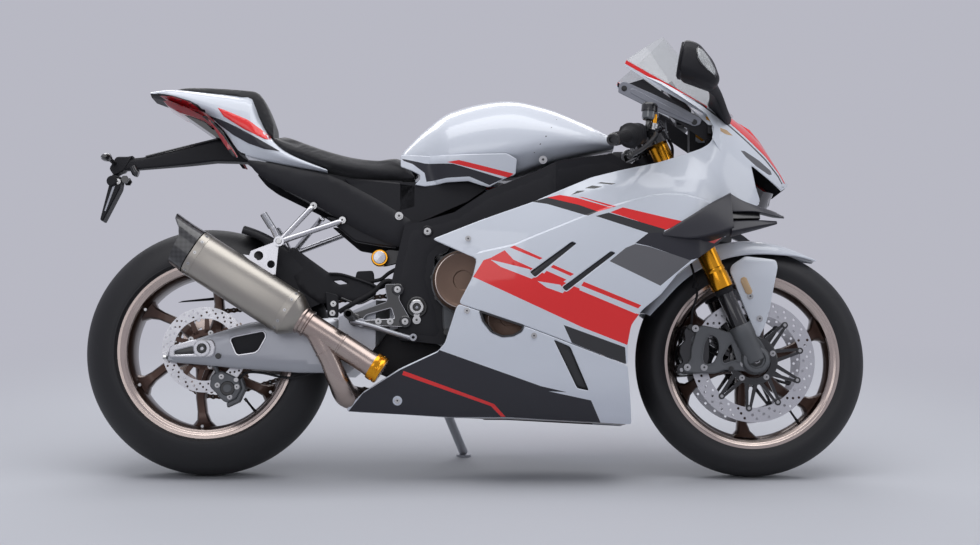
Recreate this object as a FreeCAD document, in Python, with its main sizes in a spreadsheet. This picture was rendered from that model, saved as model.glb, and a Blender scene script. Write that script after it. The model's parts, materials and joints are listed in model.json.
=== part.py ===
"""A sport bike at full size, parked on its side stand.

The model is drawn upright, in millimetres: X forward from the rear axle, Y to the rider's left,
Z up from the ground. At the end every piece leans onto the side stand, and the origin moves to
the ground below the middle of the whole bike.
"""
import FreeCAD
import Part
import Sketcher
import math
import os

# ---------------------------------------------------------------- driving sizes
SIZES = {
    # stance
    "wheelbase": 1416, "lean_angle": 11.3, "rake": 24, "fork_offset": 30,
    # tyres and rims
    "rear_tyre_radius": 322, "rear_tyre_width": 190, "rear_crown": 97, "rear_rim_width": 166,
    "front_tyre_radius": 300, "front_tyre_width": 120, "front_crown": 63, "front_rim_width": 102,
    "seat_radius": 216, "lip_height": 12, "lip_wall": 6, "barrel_wall": 9, "spoke_count": 6,
    "rear_spoke_tip": 27, "front_spoke_tip": 25, "spoke_sweep": 13, "spoke_root_width": 38,
    "spoke_tip_width": 26, "spoke_depth": 34, "rear_hub_radius": 50, "front_hub_radius": 46,
    "rear_hub_width": 150, "front_hub_width": 124, "wheel_axle_radius": 13, "wheel_axle_bore": 8,
    # brakes and final drive
    "front_disc_radius": 160, "front_disc_band": 38, "disc_thickness": 5, "front_disc_y": 68,
    "front_carrier_arms": 10, "rear_disc_radius": 110, "rear_disc_band": 30, "rear_disc_y": 98,
    "rear_carrier_arms": 5, "sprocket_radius": 106, "sprocket_y": 107.5, "sprocket_thickness": 6,
    "engine_sprocket_radius": 40, "chain_width": 14, "chain_height": 13,
    # fork and steering
    "fork_spacing": 210, "fork_outer_radius": 27, "fork_slider_radius": 21, "fork_foot": 92,
    "fork_slider_top": 202, "fork_above_bar": 15, "stem_radius": 15, "head_radius": 36,
    "head_low": 452, "head_high": 606, "clamp_height": 26, "bar_radius": 11, "grip_radius": 17,
    "bar_sweep": 25, "bar_droop": 14, "bar_length": 276, "grip_length": 118, "bar_height": 653,
    # frame, swingarm and engine
    "frame_half_width": 135, "spar_wall": 50, "pivot_x": 545, "pivot_z": 430, "pivot_radius": 12,
    "engine_half_width": 140, "gearbox_half_width": 84.7, "arm_inner": 118, "arm_outer": 146,
    "paddock_bore": 4, "paddock_depth": 24,
    # exhaust
    "silencer_radius": 57, "silencer_y": 206, "pipe_radius": 29, "header_radius": 18,
    # bodywork
    "skin": 4, "screen_wall": 3, "fit": 0.3,
    # side stand
    "stand_radius": 12, "stand_foot_radius": 20, "stand_foot_height": 6, "stand_bolt": 7,
    # number plate holder
    "plate_width": 60, "plate_wall": 4, "plate_hole": 3.5,
}


class Size(float):
    """A number that remembers its sheet expression, so what is worked out from it stays bound."""

    def __new__(cls, value, text):
        number = float.__new__(cls, value)
        number.text = text
        return number

    def joined(self, other, value, sign, swapped=False):
        other_text = other.text if isinstance(other, Size) else repr(float(other))
        pair = (other_text, self.text) if swapped else (self.text, other_text)
        return Size(value, "(%s %s %s)" % (pair[0], sign, pair[1]))

    def __add__(self, other):
        return self.joined(other, float(self) + float(other), "+")

    def __radd__(self, other):
        return self.joined(other, float(other) + float(self), "+", True)

    def __sub__(self, other):
        return self.joined(other, float(self) - float(other), "-")

    def __rsub__(self, other):
        return self.joined(other, float(other) - float(self), "-", True)

    def __mul__(self, other):
        return self.joined(other, float(self) * float(other), "*")

    def __rmul__(self, other):
        return self.joined(other, float(other) * float(self), "*", True)

    def __truediv__(self, other):
        return self.joined(other, float(self) / float(other), "/")

    def __neg__(self):
        return Size(-float(self), "(0 - %s)" % self.text)


class Sheet:
    """The driving sizes by name, each bound to its cell in the spreadsheet."""

    def __init__(self, document, sizes):
        cells = document.addObject("Spreadsheet::Sheet", "Sizes")
        for row, (name, value) in enumerate(sizes.items(), 1):
            cells.set("A%d" % row, name)
            cells.set("B%d" % row, str(value))
            cells.setAlias("B%d" % row, name)
            setattr(self, name, Size(value, "Sizes." + name))


doc = FreeCAD.newDocument("SportBike")
S = Sheet(doc, SIZES)
doc.recompute()

V = FreeCAD.Vector
X_AXIS, Y_AXIS, Z_AXIS = V(1, 0, 0), V(0, 1, 0), V(0, 0, 1)
SIDES = {"right": -1, "left": 1}
NODES = []

# ---------------------------------------------------------------- places worked out from the sizes
rake = math.radians(S.rake)
FORK_DIR = V(-math.sin(rake), 0, math.cos(rake))
FORK_NORMAL = V(math.cos(rake), 0, math.sin(rake))
REAR_AXLE = V(0, 0, S.rear_tyre_radius)
FRONT_AXLE = V(S.wheelbase, 0, S.front_tyre_radius)
STEER_BASE = FRONT_AXLE - FORK_NORMAL * float(S.fork_offset)


def front(distance):
    """A station along the bike, given as it is on a 1416 mm wheelbase.

    From 1059 mm on it goes with the front axle, up to 600 mm it stays with the rear one,
    and between them it stretches with the wheelbase.
    """
    moved = float(S.wheelbase) - 1416
    return distance + moved * min(max((distance - 600) / 459, 0), 1)


def along(points):
    """An outline in the side view whose stations go with the wheelbase."""
    return [(front(x), z) for x, z in points]


# ---------------------------------------------------------------- helpers
def node(obj, label):
    obj.Label = label
    NODES.append(obj)
    return obj


def bind(obj, prop, value):
    """Set a property, bound to the sheet where the value comes from it."""
    setattr(obj, prop, float(value))
    if isinstance(value, Size):
        obj.setExpression(prop, value.text)


def turned(direction):
    return FreeCAD.Rotation(Z_AXIS, direction)


def cylinder(start, direction, radius, length):
    obj = doc.addObject("Part::Cylinder", "Cylinder")
    bind(obj, "Radius", radius)
    bind(obj, "Height", length)
    obj.Placement = FreeCAD.Placement(start, turned(direction))
    return obj


def cone(start, direction, radius_start, radius_end, length):
    obj = doc.addObject("Part::Cone", "Cone")
    bind(obj, "Radius1", radius_start)
    bind(obj, "Radius2", radius_end)
    bind(obj, "Height", length)
    obj.Placement = FreeCAD.Placement(start, turned(direction))
    return obj


def box(corner, length, width, height, rotation=None):
    obj = doc.addObject("Part::Box", "Box")
    bind(obj, "Length", length)
    bind(obj, "Width", width)
    bind(obj, "Height", height)
    obj.Placement = FreeCAD.Placement(corner, rotation or FreeCAD.Rotation())
    return obj


def fused(parts):
    obj = doc.addObject("Part::MultiFuse", "Fuse")
    obj.Shapes = parts
    obj.Refine = True
    return obj


def cut(base, tool):
    obj = doc.addObject("Part::Cut", "Cut")
    obj.Base = base
    obj.Tool = tool
    return obj


def group(parts):
    """Like pieces that don't touch, kept in one node."""
    obj = doc.addObject("Part::Compound", "Group")
    obj.Links = parts
    return obj


def feature(shape):
    obj = doc.addObject("Part::Feature", "Shape")
    obj.Shape = shape
    return obj


def solid_of(shape):
    """The one solid of a boolean result, so that a node is a plain solid."""
    return shape.Solids[0] if len(shape.Solids) == 1 else Part.makeCompound(shape.Solids)


def start_body(name):
    return doc.addObject("PartDesign::Body", name)


def sketch_on(body, plane):
    sketch = body.newObject("Sketcher::SketchObject", "Sketch")
    for origin_part in body.Origin.OriginFeatures:
        if origin_part.Role == plane:
            sketch.AttachmentSupport = (origin_part, [""])
    sketch.MapMode = "FlatFace"
    return sketch


def constraint(*terms):
    return Sketcher.Constraint(*terms)


def hold(sketch, index, value):
    """Bind a sketch's constraint to the sheet where its value comes from it."""
    if isinstance(value, Size):
        sketch.setExpression("Constraints[%d]" % index, value.text)


def pin_vertex(sketch, edge, end, across, up):
    """Hold one vertex of a sketch at its two distances from the origin."""
    for kind, value in (("DistanceX", across), ("DistanceY", up)):
        if abs(float(value)) < 1e-9:
            axis = -2 if kind == "DistanceX" else -1
            sketch.addConstraint(constraint("PointOnObject", edge, end, axis))
            continue
        if float(value) > 0:
            ends = (-1, 1, edge, end)
        else:
            ends = (edge, end, -1, 1)
        index = sketch.addConstraint(constraint(kind, *ends, abs(float(value))))
        hold(sketch, index, value if float(value) > 0 else -value)


def draw_outline(sketch, points):
    """A closed outline of straight sides, every corner held at its place."""
    first = sketch.GeometryCount
    count = len(points)
    for index in range(count):
        here = points[index]
        there = points[(index + 1) % count]
        sketch.addGeometry(Part.LineSegment(V(here[0], here[1], 0), V(there[0], there[1], 0)))
    for index in range(count):
        following = first + (index + 1) % count
        sketch.addConstraint(constraint("Coincident", first + index, 2, following, 1))
    for index in range(count):
        pin_vertex(sketch, first + index, 1, points[index][0], points[index][1])


def revolve(body, sketch):
    turn = body.newObject("PartDesign::Revolution", "Revolution")
    turn.Profile = sketch
    turn.ReferenceAxis = (sketch, ["V_Axis"])
    turn.Angle = 360
    return turn


def pad(body, sketch, length, centred=True):
    block = body.newObject("PartDesign::Pad", "Pad")
    block.Profile = sketch
    bind(block, "Length", length)
    if centred:
        block.SideType = "Symmetric"
    return block


def pattern(body, seed, count):
    ring = body.newObject("PartDesign::PolarPattern", "Ring")
    ring.Originals = [seed]
    for origin_part in body.Origin.OriginFeatures:
        if origin_part.Role == "Z_Axis":
            ring.Axis = (origin_part, [""])
    ring.Angle = 360
    ring.Occurrences = int(count)
    if isinstance(count, Size):
        ring.setExpression("Occurrences", count.text)
    body.Tip = ring
    return ring


def face_of(points):
    return Part.Face(Part.makePolygon(points + [points[0]]))


def side_prism(outline, y_low, y_high):
    """A solid from an outline in the side view, between two places across the bike."""
    low, high = sorted((float(y_low), float(y_high)))
    wire = [V(x, low, z) for x, z in outline]
    return face_of(wire).extrude(V(0, high - low, 0))


def plan_prism(outline, z_low, z_high):
    """A solid from an outline seen from above, between two heights."""
    wire = [V(x, y, z_low) for x, y in outline]
    return face_of(wire).extrude(V(0, 0, z_high - z_low))


def tube_path(points, bend):
    """Straight runs joined by tangent arcs of one bend radius, shorter where a run is short."""
    edges = []
    here = points[0]
    for index in range(1, len(points) - 1):
        corner = points[index]
        back = (points[index - 1] - corner).normalize()
        ahead = (points[index + 1] - corner).normalize()
        half = back.getAngle(ahead) / 2
        run = min((points[index - 1] - corner).Length, (points[index + 1] - corner).Length)
        setback = min(bend / math.tan(half), 0.45 * run)
        radius = setback * math.tan(half)
        enter = corner + back * setback
        leave = corner + ahead * setback
        inward = (back + ahead).normalize()
        middle = corner + inward * (radius / math.sin(half) - radius)
        edges.append(Part.LineSegment(here, enter).toShape())
        edges.append(Part.Arc(enter, middle, leave).toShape())
        here = leave
    edges.append(Part.LineSegment(here, points[-1]).toShape())
    return Part.Wire(edges)


def tube(points, radius, bend, bore=0.0):
    """A round bar or tube along a bent route."""
    path = tube_path(points, bend)
    start = points[0]
    direction = (points[1] - points[0]).normalize()
    ring = Part.Wire(Part.makeCircle(float(radius), start, direction))
    solid = Part.Wire(path).makePipeShell([ring], True, False)
    if bore > 0:
        inner_ring = Part.Wire(Part.makeCircle(float(bore), start, direction))
        solid = solid.cut(path.makePipeShell([inner_ring], True, False))
    return solid


def mirrored(shape):
    return shape.mirror(V(0, 0, 0), Y_AXIS)


def on_side(shape, side):
    """The shape, drawn on the left, or its mirror image on the right."""
    return shape if side > 0 else mirrored(shape)


def loft(rings):
    """A solid through closed rings of straight sides."""
    wires = [Part.makePolygon(ring + [ring[0]]) for ring in rings]
    solid = Part.makeLoft(wires, True, True)
    if solid.Volume < 0:
        solid.reverse()
    return solid


def in_wheel(place, shape_or_obj):
    """Lay a piece whose axle is Z across the bike at an axle."""
    turn = FreeCAD.Placement(place, FreeCAD.Rotation(X_AXIS, -90))
    shape_or_obj.Placement = turn
    return shape_or_obj


# ---------------------------------------------------------------- wheels
def make_tyre(label, place, radius, width, crown, rim_width):
    """A tyre: a round crown over short walls, closed on the rim's seat."""
    body = start_body(label)
    sketch = sketch_on(body, "XZ_Plane")
    centre = radius - crown
    half_bead = rim_width / 2 - S.lip_wall - S.fit
    inner = S.seat_radius + S.fit
    wall = S.seat_radius + S.lip_height + 1
    reach = math.asin(width / 2 / crown)
    circle = Part.Circle(V(centre, 0, 0), Z_AXIS, float(crown))
    sketch.addGeometry(Part.ArcOfCircle(circle, -reach, reach))
    ends = (sketch.Geometry[0].EndPoint, sketch.Geometry[0].StartPoint)
    corners = [(wall, half_bead), (inner, half_bead), (inner, -half_bead), (wall, -half_bead)]
    route = [ends[0]] + [V(across, up, 0) for across, up in corners] + [ends[1]]
    for here, there in zip(route, route[1:]):
        sketch.addGeometry(Part.LineSegment(here, there))
    sketch.addConstraint(constraint("Coincident", 0, 2, 1, 1))
    for edge in range(1, 5):
        sketch.addConstraint(constraint("Coincident", edge, 2, edge + 1, 1))
    sketch.addConstraint(constraint("Coincident", 5, 2, 0, 1))
    pin_vertex(sketch, 0, 3, centre, 0)
    hold(sketch, sketch.addConstraint(constraint("Radius", 0, float(crown))), crown)
    hold(sketch, sketch.addConstraint(constraint("DistanceY", -1, 1, 0, 2, width / 2)), width / 2)
    hold(sketch, sketch.addConstraint(constraint("DistanceY", 0, 1, -1, 1, width / 2)), width / 2)
    for edge, (across, up) in enumerate(corners, 2):
        pin_vertex(sketch, edge, 1, across, up)
    revolve(body, sketch)
    return node(in_wheel(place, body), label)


def make_rim(label, place, rim_width, hub_radius, hub_width, tip_angle):
    """A cast rim: bored hub, swept spokes and a barrel with two lips."""
    body = start_body(label)
    hub = sketch_on(body, "XZ_Plane")
    bore = S.wheel_axle_radius + S.fit
    draw_outline(hub, [(bore, -hub_width / 2), (hub_radius, -hub_width / 2),
                       (hub_radius, hub_width / 2), (bore, hub_width / 2)])
    revolve(body, hub)
    spoke = sketch_on(body, "XY_Plane")
    tip = -math.radians(tip_angle)
    root = tip + math.radians(S.spoke_sweep)
    sink = 4
    draw_outline(spoke, spoke_outline(hub_radius - sink, root, S.spoke_root_width,
                                      S.seat_radius - S.barrel_wall + sink, tip, S.spoke_tip_width))
    seed = pad(body, spoke, S.spoke_depth)
    pattern(body, seed, S.spoke_count)
    barrel = sketch_on(body, "XZ_Plane")
    half = rim_width / 2
    bead = half - S.lip_wall
    seat = S.seat_radius
    inside = seat - S.barrel_wall
    lip = seat + S.lip_height
    draw_outline(barrel, [(seat, -bead), (lip, -bead), (lip, -half), (seat - 2, -half),
                          (inside, -half + 18), (inside, half - 18), (seat - 2, half),
                          (lip, half), (lip, bead), (seat, bead)])
    body.Tip = revolve(body, barrel)
    return node(in_wheel(place, body), label)


def spoke_outline(root_radius, root_angle, root_width, tip_radius, tip_angle, tip_width):
    """Four corners of an arm that leans from its root angle to its tip angle."""
    root = V(root_radius * math.cos(root_angle), root_radius * math.sin(root_angle), 0)
    tip = V(tip_radius * math.cos(tip_angle), tip_radius * math.sin(tip_angle), 0)
    along = (tip - root).normalize()
    across = V(-along.y, along.x, 0)
    corners = [root - across * (root_width / 2), tip - across * (tip_width / 2),
               tip + across * (tip_width / 2), root + across * (root_width / 2)]
    return [(corner.x, corner.y) for corner in corners]


def make_disc(place, side, radius, band, away, hub_half, arms, arm_width):
    """A brake disc or sprocket on its arms, with a boss that sits on the hub's end."""
    body = start_body("Disc")
    half = S.disc_thickness / 2
    boss_bore, boss_radius, ring_radius = 22, 42, 56
    seat = hub_half + S.fit - away
    boss = sketch_on(body, "XZ_Plane")
    draw_outline(boss, [(boss_bore, seat), (boss_radius, seat), (boss_radius, -half),
                        (ring_radius, -half), (ring_radius, half), (boss_bore, half)])
    revolve(body, boss)
    arm = sketch_on(body, "XY_Plane")
    draw_outline(arm, spoke_outline(ring_radius - 4.0, 0.2, arm_width, radius - band + 3, 0.0, arm_width))
    seed = pad(body, arm, S.disc_thickness)
    pattern(body, seed, arms)
    rotor = sketch_on(body, "XZ_Plane")
    draw_outline(rotor, [(radius - band, -half), (radius, -half), (radius, half), (radius - band, half)])
    body.Tip = revolve(body, rotor)
    centre = place + V(0, side * float(away), 0)
    body.Placement = FreeCAD.Placement(centre, FreeCAD.Rotation(X_AXIS, -90 * side))
    return body


make_tyre("rear_tyre", REAR_AXLE, S.rear_tyre_radius, S.rear_tyre_width, S.rear_crown, S.rear_rim_width)
make_tyre("front_tyre", FRONT_AXLE, S.front_tyre_radius, S.front_tyre_width, S.front_crown,
          S.front_rim_width)
make_rim("rear_rim", REAR_AXLE, S.rear_rim_width, S.rear_hub_radius, S.rear_hub_width,
         S.rear_spoke_tip)
make_rim("front_rim", FRONT_AXLE, S.front_rim_width, S.front_hub_radius, S.front_hub_width,
         S.front_spoke_tip)
node(group([make_disc(FRONT_AXLE, side, S.front_disc_radius, S.front_disc_band, S.front_disc_y,
                      S.front_hub_width / 2, S.front_carrier_arms, 10.0)
            for side in SIDES.values()]), "front_brake_discs")
node(make_disc(REAR_AXLE, -1, S.rear_disc_radius, S.rear_disc_band, S.rear_disc_y,
               S.rear_hub_width / 2, S.rear_carrier_arms, 14.0), "rear_brake_disc")
node(make_disc(REAR_AXLE, 1, S.sprocket_radius, 22.0, S.sprocket_y,
               S.rear_hub_width / 2, S.rear_carrier_arms, 18.0), "rear_sprocket")


# ---------------------------------------------------------------- axles
def make_axle(label, place, half_length):
    """A hollow spindle across the bike."""
    start = place - V(0, float(half_length), 0)
    outer = cylinder(start, Y_AXIS, S.wheel_axle_radius, half_length * 2)
    bore = cylinder(start, Y_AXIS, S.wheel_axle_bore, half_length * 2)
    return node(cut(outer, bore), label)


CASTING_OUTER = S.fork_spacing / 2 + 19
REAR_AXLE_HALF = S.arm_outer + 6
make_axle("front_axle", FRONT_AXLE, CASTING_OUTER)
make_axle("rear_axle", REAR_AXLE, REAR_AXLE_HALF)


# ---------------------------------------------------------------- fork and steering
def fork_point(along, side=0, forward=0.0):
    """A point on a fork leg's line, or beside it, from the front axle up."""
    return FRONT_AXLE + FORK_DIR * float(along) + FORK_NORMAL * float(forward) + \
        V(0, side * float(S.fork_spacing) / 2, 0)


def stem_point(along):
    """A point on the steering axis."""
    return STEER_BASE + FORK_DIR * float(along)


def fork_leg(side, low, high, radius):
    return cylinder(fork_point(low, side), FORK_DIR, radius, high - low)


def leg_holes(low, high):
    """Where a clamp grips both legs."""
    return fused([fork_leg(side, low, high, S.fork_outer_radius + S.fit) for side in SIDES.values()])


node(group([fork_leg(side, S.fork_slider_top, S.bar_height + S.fork_above_bar, S.fork_outer_radius)
            for side in SIDES.values()]), "fork_outer_tubes")


def make_clamp(label, low, stem):
    """A clamp across both legs, on the steering stem."""
    front_edge, back_edge, half_bridge = 30.0, 44.0, 66.0
    turn = FreeCAD.Rotation(Y_AXIS, -float(S.rake))
    corner = fork_point(low) - FORK_NORMAL * back_edge - V(0, half_bridge, 0)
    bridge = box(corner, front_edge + back_edge, 2 * half_bridge, S.clamp_height, turn)
    arm_corner = fork_point(low) - FORK_NORMAL * 20.0 - V(0, float(S.fork_spacing) / 2, 0)
    arm = box(arm_corner, 40, S.fork_spacing, S.clamp_height, turn)
    eyes = [fork_leg(side, low, low + S.clamp_height, S.fork_outer_radius + 10) for side in SIDES.values()]
    plate = fused([bridge, arm] + eyes)
    holes = leg_holes(low - 5, low + S.clamp_height + 5)
    if not stem:
        hole = cylinder(stem_point(low - 5), FORK_DIR, S.stem_radius + S.fit, S.clamp_height + 10)
        return node(cut(plate, fused([holes, hole])), label)
    post = cylinder(stem_point(low), FORK_DIR, S.stem_radius, S.head_high - low + S.clamp_height + 9)
    return node(fused([cut(plate, holes), post]), label)


LOWER_CLAMP = S.head_low - S.clamp_height - 5.3
UPPER_CLAMP = S.head_high + 5.3
make_clamp("lower_clamp", LOWER_CLAMP, True)
make_clamp("upper_clamp", UPPER_CLAMP, False)


def bar_point(side, along):
    """A point on one handlebar, from the fork leg out to its end."""
    sweep, droop = math.radians(S.bar_sweep), math.radians(S.bar_droop)
    direction = V(-math.sin(sweep) * math.cos(droop), side * math.cos(sweep) * math.cos(droop),
                  -math.sin(droop))
    return fork_point(S.bar_height, side) + direction * float(along), direction


def make_bar(side):
    ring_half = 13
    ring = cylinder(fork_point(S.bar_height - ring_half, side), FORK_DIR, S.fork_outer_radius + 9,
                    2 * ring_half)
    start, direction = bar_point(side, 30)
    rod = cylinder(start, direction, S.bar_radius, S.bar_length - 30)
    weight_start, direction = bar_point(side, S.bar_length)
    weight = cylinder(weight_start, direction, S.grip_radius - 2, 22.0)
    switch_start, direction = bar_point(side, 112)
    switch = cylinder(switch_start, direction, S.grip_radius + 5, 40.0)
    leg = fork_leg(side, S.bar_height - 40, S.bar_height + 40, S.fork_outer_radius + S.fit)
    return cut(fused([ring, rod, weight, switch]), leg)


def make_grip(side):
    start, direction = bar_point(side, S.bar_length - S.grip_length)
    rubber = cylinder(start, direction, S.grip_radius, S.grip_length - S.fit)
    hole = cylinder(start, direction, S.bar_radius + S.fit, S.grip_length)
    return cut(rubber, hole)


def make_lever(side):
    """A hand lever on its perch, ahead of the grip."""
    start, direction = bar_point(side, 72)
    perch_length = 26
    perch = Part.makeCylinder(20, perch_length, start, direction)
    perch = perch.cut(Part.makeCylinder(float(S.bar_radius + S.fit), perch_length, start, direction))
    ahead = V(math.cos(math.radians(S.bar_sweep)), side * math.sin(math.radians(S.bar_sweep)), 0)
    root = start + direction * 13 + ahead * 17
    elbow = start + direction * 34 + ahead * 52
    knee = start + direction * 120 + ahead * 58
    tip = start + direction * 205 + ahead * 48
    blade = tube([root, elbow, knee, tip], 6.5, 40)
    shape = perch.fuse(blade)
    if side < 0:
        foot = start + direction * 22 + V(12, 0, 14)
        shape = shape.fuse(Part.makeCylinder(7, 26, foot, V(1, 0, 1)))
        shape = shape.fuse(Part.makeCylinder(20, 42, foot + V(14, 0, 16), Z_AXIS))
    return feature(solid_of(shape))


node(group([make_bar(side) for side in SIDES.values()]), "handlebars")
node(group([make_grip(side) for side in SIDES.values()]), "grips")
node(make_lever(-1), "brake_lever")
node(make_lever(1), "clutch_lever")

# ---------------------------------------------------------------- front calipers, castings and fender
def sector(radii, angles, place):
    """Corners of a ring's sector in the side view, angles from forward towards up."""
    inner, outer = radii
    steps = 3
    spread = [math.radians(angles[0] + (angles[1] - angles[0]) * i / steps) for i in range(steps + 1)]
    corners = [(outer, angle) for angle in spread] + [(inner, angle) for angle in reversed(spread)]
    return [(place.x + r * math.cos(a), place.z + r * math.sin(a)) for r, a in corners]


def make_casting(side):
    """The foot of a fork leg: axle eye, socket for the slider and arm for the caliper."""
    inner = float(S.fork_spacing) / 2 - 19
    outer = float(CASTING_OUTER)
    eye = Part.makeCylinder(34, outer - inner, FRONT_AXLE + V(0, inner, 0), Y_AXIS)
    leg = Part.makeCylinder(float(S.fork_slider_radius) + 6, float(S.fork_foot) - 6,
                            fork_point(6, 1), FORK_DIR)
    arm_outline = [(0, -30), (-98, -32), (-190, -26), (-192, 84), (-140, 90), (-62, 84), (0, 34)]
    window = [(-88, -8), (-132, -10), (-140, 52), (-96, 66)]
    window_front = [(-40, 8), (-76, -6), (-84, 52), (-58, 58)]
    corners = [(FRONT_AXLE.x + x, FRONT_AXLE.z + z) for x, z in arm_outline]
    arm = side_prism(corners, inner + 6, inner + 24)
    for gap in (window, window_front):
        arm = arm.cut(side_prism([(FRONT_AXLE.x + x, FRONT_AXLE.z + z) for x, z in gap], 0, 200))
    above = Part.makeCylinder(float(S.fork_slider_radius) + 8, 100, fork_point(S.fork_foot, 1), FORK_DIR)
    slider = Part.makeCylinder(float(S.fork_slider_radius), float(S.fork_slider_top - S.fit) - 20,
                               fork_point(20, 1), FORK_DIR)
    bore = Part.makeCylinder(float(S.wheel_axle_radius + S.fit), 300, FRONT_AXLE, Y_AXIS)
    casting = eye.fuse(leg).fuse(arm).cut(above).fuse(slider).cut(bore)
    return feature(on_side(solid_of(casting), side))


def make_front_caliper(side):
    """A block over the disc's rim, with a slot for the disc."""
    face = float(S.fork_spacing) / 2 - 19 + 6 - float(S.fit)
    disc_face = float(S.front_disc_y + S.disc_thickness / 2)
    back = float(S.front_disc_y) - 24
    block = side_prism(sector((122, 192), (152, 190), FRONT_AXLE), back, face)
    gap = 4.0
    slot = side_prism(sector((60, float(S.front_disc_radius) + 9), (140, 200), FRONT_AXLE),
                      float(S.front_disc_y - S.disc_thickness / 2) - gap, disc_face + gap)
    return feature(on_side(solid_of(block.cut(slot)), side))


node(group([make_casting(side) for side in SIDES.values()]), "fork_lowers")
node(group([make_front_caliper(side) for side in SIDES.values()]), "front_calipers")


def make_front_fender():
    """A thin U over the tyre, on two plates that reach the fork sliders."""
    gap, wall = 12, float(S.skin)
    crown = float(S.front_tyre_radius) + gap
    plate_y = float(S.fork_spacing) / 2 - float(S.fork_slider_radius + S.fit)
    skirt = float(S.fork_spacing) / 2 - float(S.fork_outer_radius) - 0.6
    profile = [(crown + wall, 40), (crown - 8, 70), (crown - 40, skirt),
               (crown - 40, skirt - wall), (crown - 10, 64), (crown, 38)]
    ring = profile + [(r, -y) for r, y in reversed(profile)]
    start_angle, end_angle = 58, 156
    face = face_of([V(FRONT_AXLE.x + r, y, FRONT_AXLE.z) for r, y in ring])
    face.rotate(FRONT_AXLE, Y_AXIS, -start_angle)
    arch = face.revolve(FRONT_AXLE, Y_AXIS, -(end_angle - start_angle))
    # corners of a plate: behind the slider, and the edge that runs up to the arch
    plate = [(9, 65), (38, 131), (74, 252), (62, 292), (-60, 292), (-48, 200)]
    corners = [(FRONT_AXLE.x + x, FRONT_AXLE.z + z) for x, z in plate]
    shape = arch
    for side in SIDES.values():
        sheet_metal = side_prism(corners, side * (skirt - 0.4), side * plate_y)
        shape = shape.fuse(sheet_metal)
    cap = Part.makeCylinder(crown + wall / 2, 400, FRONT_AXLE - V(0, 200, 0), Y_AXIS)
    return feature(solid_of(shape.common(cap.fuse(arch))))


node(make_front_fender(), "front_fender")


# ---------------------------------------------------------------- frame
def make_head_tube():
    outer = cylinder(stem_point(S.head_low), FORK_DIR, S.head_radius, S.head_high - S.head_low)
    bore = cylinder(stem_point(S.head_low), FORK_DIR, S.stem_radius + S.fit, S.head_high - S.head_low)
    return cut(outer, bore)


PIVOT = V(S.pivot_x, 0, S.pivot_z)
# side view of a spar: from the head, back along the tank, down the pivot plate and forward again
SPAR_OUTLINE = [
    (front(1172), 812), (front(1090), 816), (front(1050), 838), (912, 812), (848, 782), (726, 733), (640, 676),
    (551, 650), (513, 645), (495, 565), (478, 487), (489, 423), (502, 346), (617, 334),
    (622, 372), (604, 449), (584, 501), (590, 560), (640, 590), (720, 618), (860, 640),
    (985, 672), (front(1096), 690), (front(1172), 742),
]


def make_spar(side):
    """One side of the twin-spar frame: a deep plate that closes in towards the head tube."""
    outer = float(S.frame_half_width)
    inner = outer - float(S.spar_wall)
    slab = side_prism(SPAR_OUTLINE, 0, 200)
    plan = plan_prism([(450, inner), (880, inner + 5), (front(1165), 20), (front(1185), 46),
                       (front(1080), 84), (900, outer + 12), (700, outer), (450, outer)], 300, 900)
    head = Part.makeCylinder(float(S.head_radius + S.fit), 400, stem_point(S.head_low - 100), FORK_DIR)
    pivot = Part.makeCylinder(float(S.pivot_radius + S.fit), 400, PIVOT - V(0, 200, 0), Y_AXIS)
    sweep = stem_point(LOWER_CLAMP - 12)
    clamp_room = Part.makeCylinder(96, float(S.head_low - LOWER_CLAMP) + 6.5, sweep, FORK_DIR)
    shape = slab.common(plan).cut(head).cut(pivot).cut(clamp_room)
    if side > 0:
        way = float(S.chain_width) / 2 + 3
        shape = shape.cut(Part.makeBox(230, way + 60, 212, V(430, float(S.sprocket_y) - 60, 338)))
    return feature(on_side(solid_of(shape), side))


node(make_head_tube(), "head_tube")
for name, side in SIDES.items():
    node(make_spar(side), "frame_spar_" + name)

# ---------------------------------------------------------------- engine
# its top runs up into the spars, which carry it
CRANKCASE = [(650, 300), (700, 236), (960, 236), (985, 300), (985, 520), (front(1056), 566),
             (front(1040), 690), (880, 652), (720, 626), (650, 600)]
GEARBOX = [(580, 360), (660, 300), (760, 300), (760, 560), (660, 560), (612, 520), (580, 470)]


ENGINE_SPROCKET = V(648, 0, 452)


def make_engine():
    """The engine as one plain block: gearbox end between the pivot plates, output and generator."""
    sprocket_room = Part.makeCylinder(float(S.engine_sprocket_radius + S.chain_height) + 8, 80,
                                      ENGINE_SPROCKET + V(0, float(S.gearbox_half_width), 0), Y_AXIS)
    chain_run = Part.makeBox(120, 80, 2 * float(S.engine_sprocket_radius + S.chain_height) + 16,
                             ENGINE_SPROCKET + V(-120, float(S.gearbox_half_width),
                                                 -float(S.engine_sprocket_radius + S.chain_height) - 8))
    sprocket_room = sprocket_room.fuse(chain_run)
    case = side_prism(CRANKCASE, -S.engine_half_width, S.engine_half_width)
    gearbox = side_prism(GEARBOX, -S.gearbox_half_width, S.gearbox_half_width)
    spars = side_prism(SPAR_OUTLINE, -200, 200)
    nose = Part.makeCylinder(float(S.engine_sprocket_radius), float(S.sprocket_y) + 3 - 60,
                             ENGINE_SPROCKET + V(0, 60, 0), Y_AXIS)
    start = float(S.engine_half_width)
    generator = Part.makeCylinder(84, 32, V(740, start, 400), Y_AXIS)
    generator = generator.fuse(Part.makeCone(84, 72, 12, V(740, start + 32, 400), Y_AXIS))
    return feature(solid_of(case.cut(spars).cut(sprocket_room).fuse(gearbox).fuse(nose).fuse(generator)))


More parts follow.
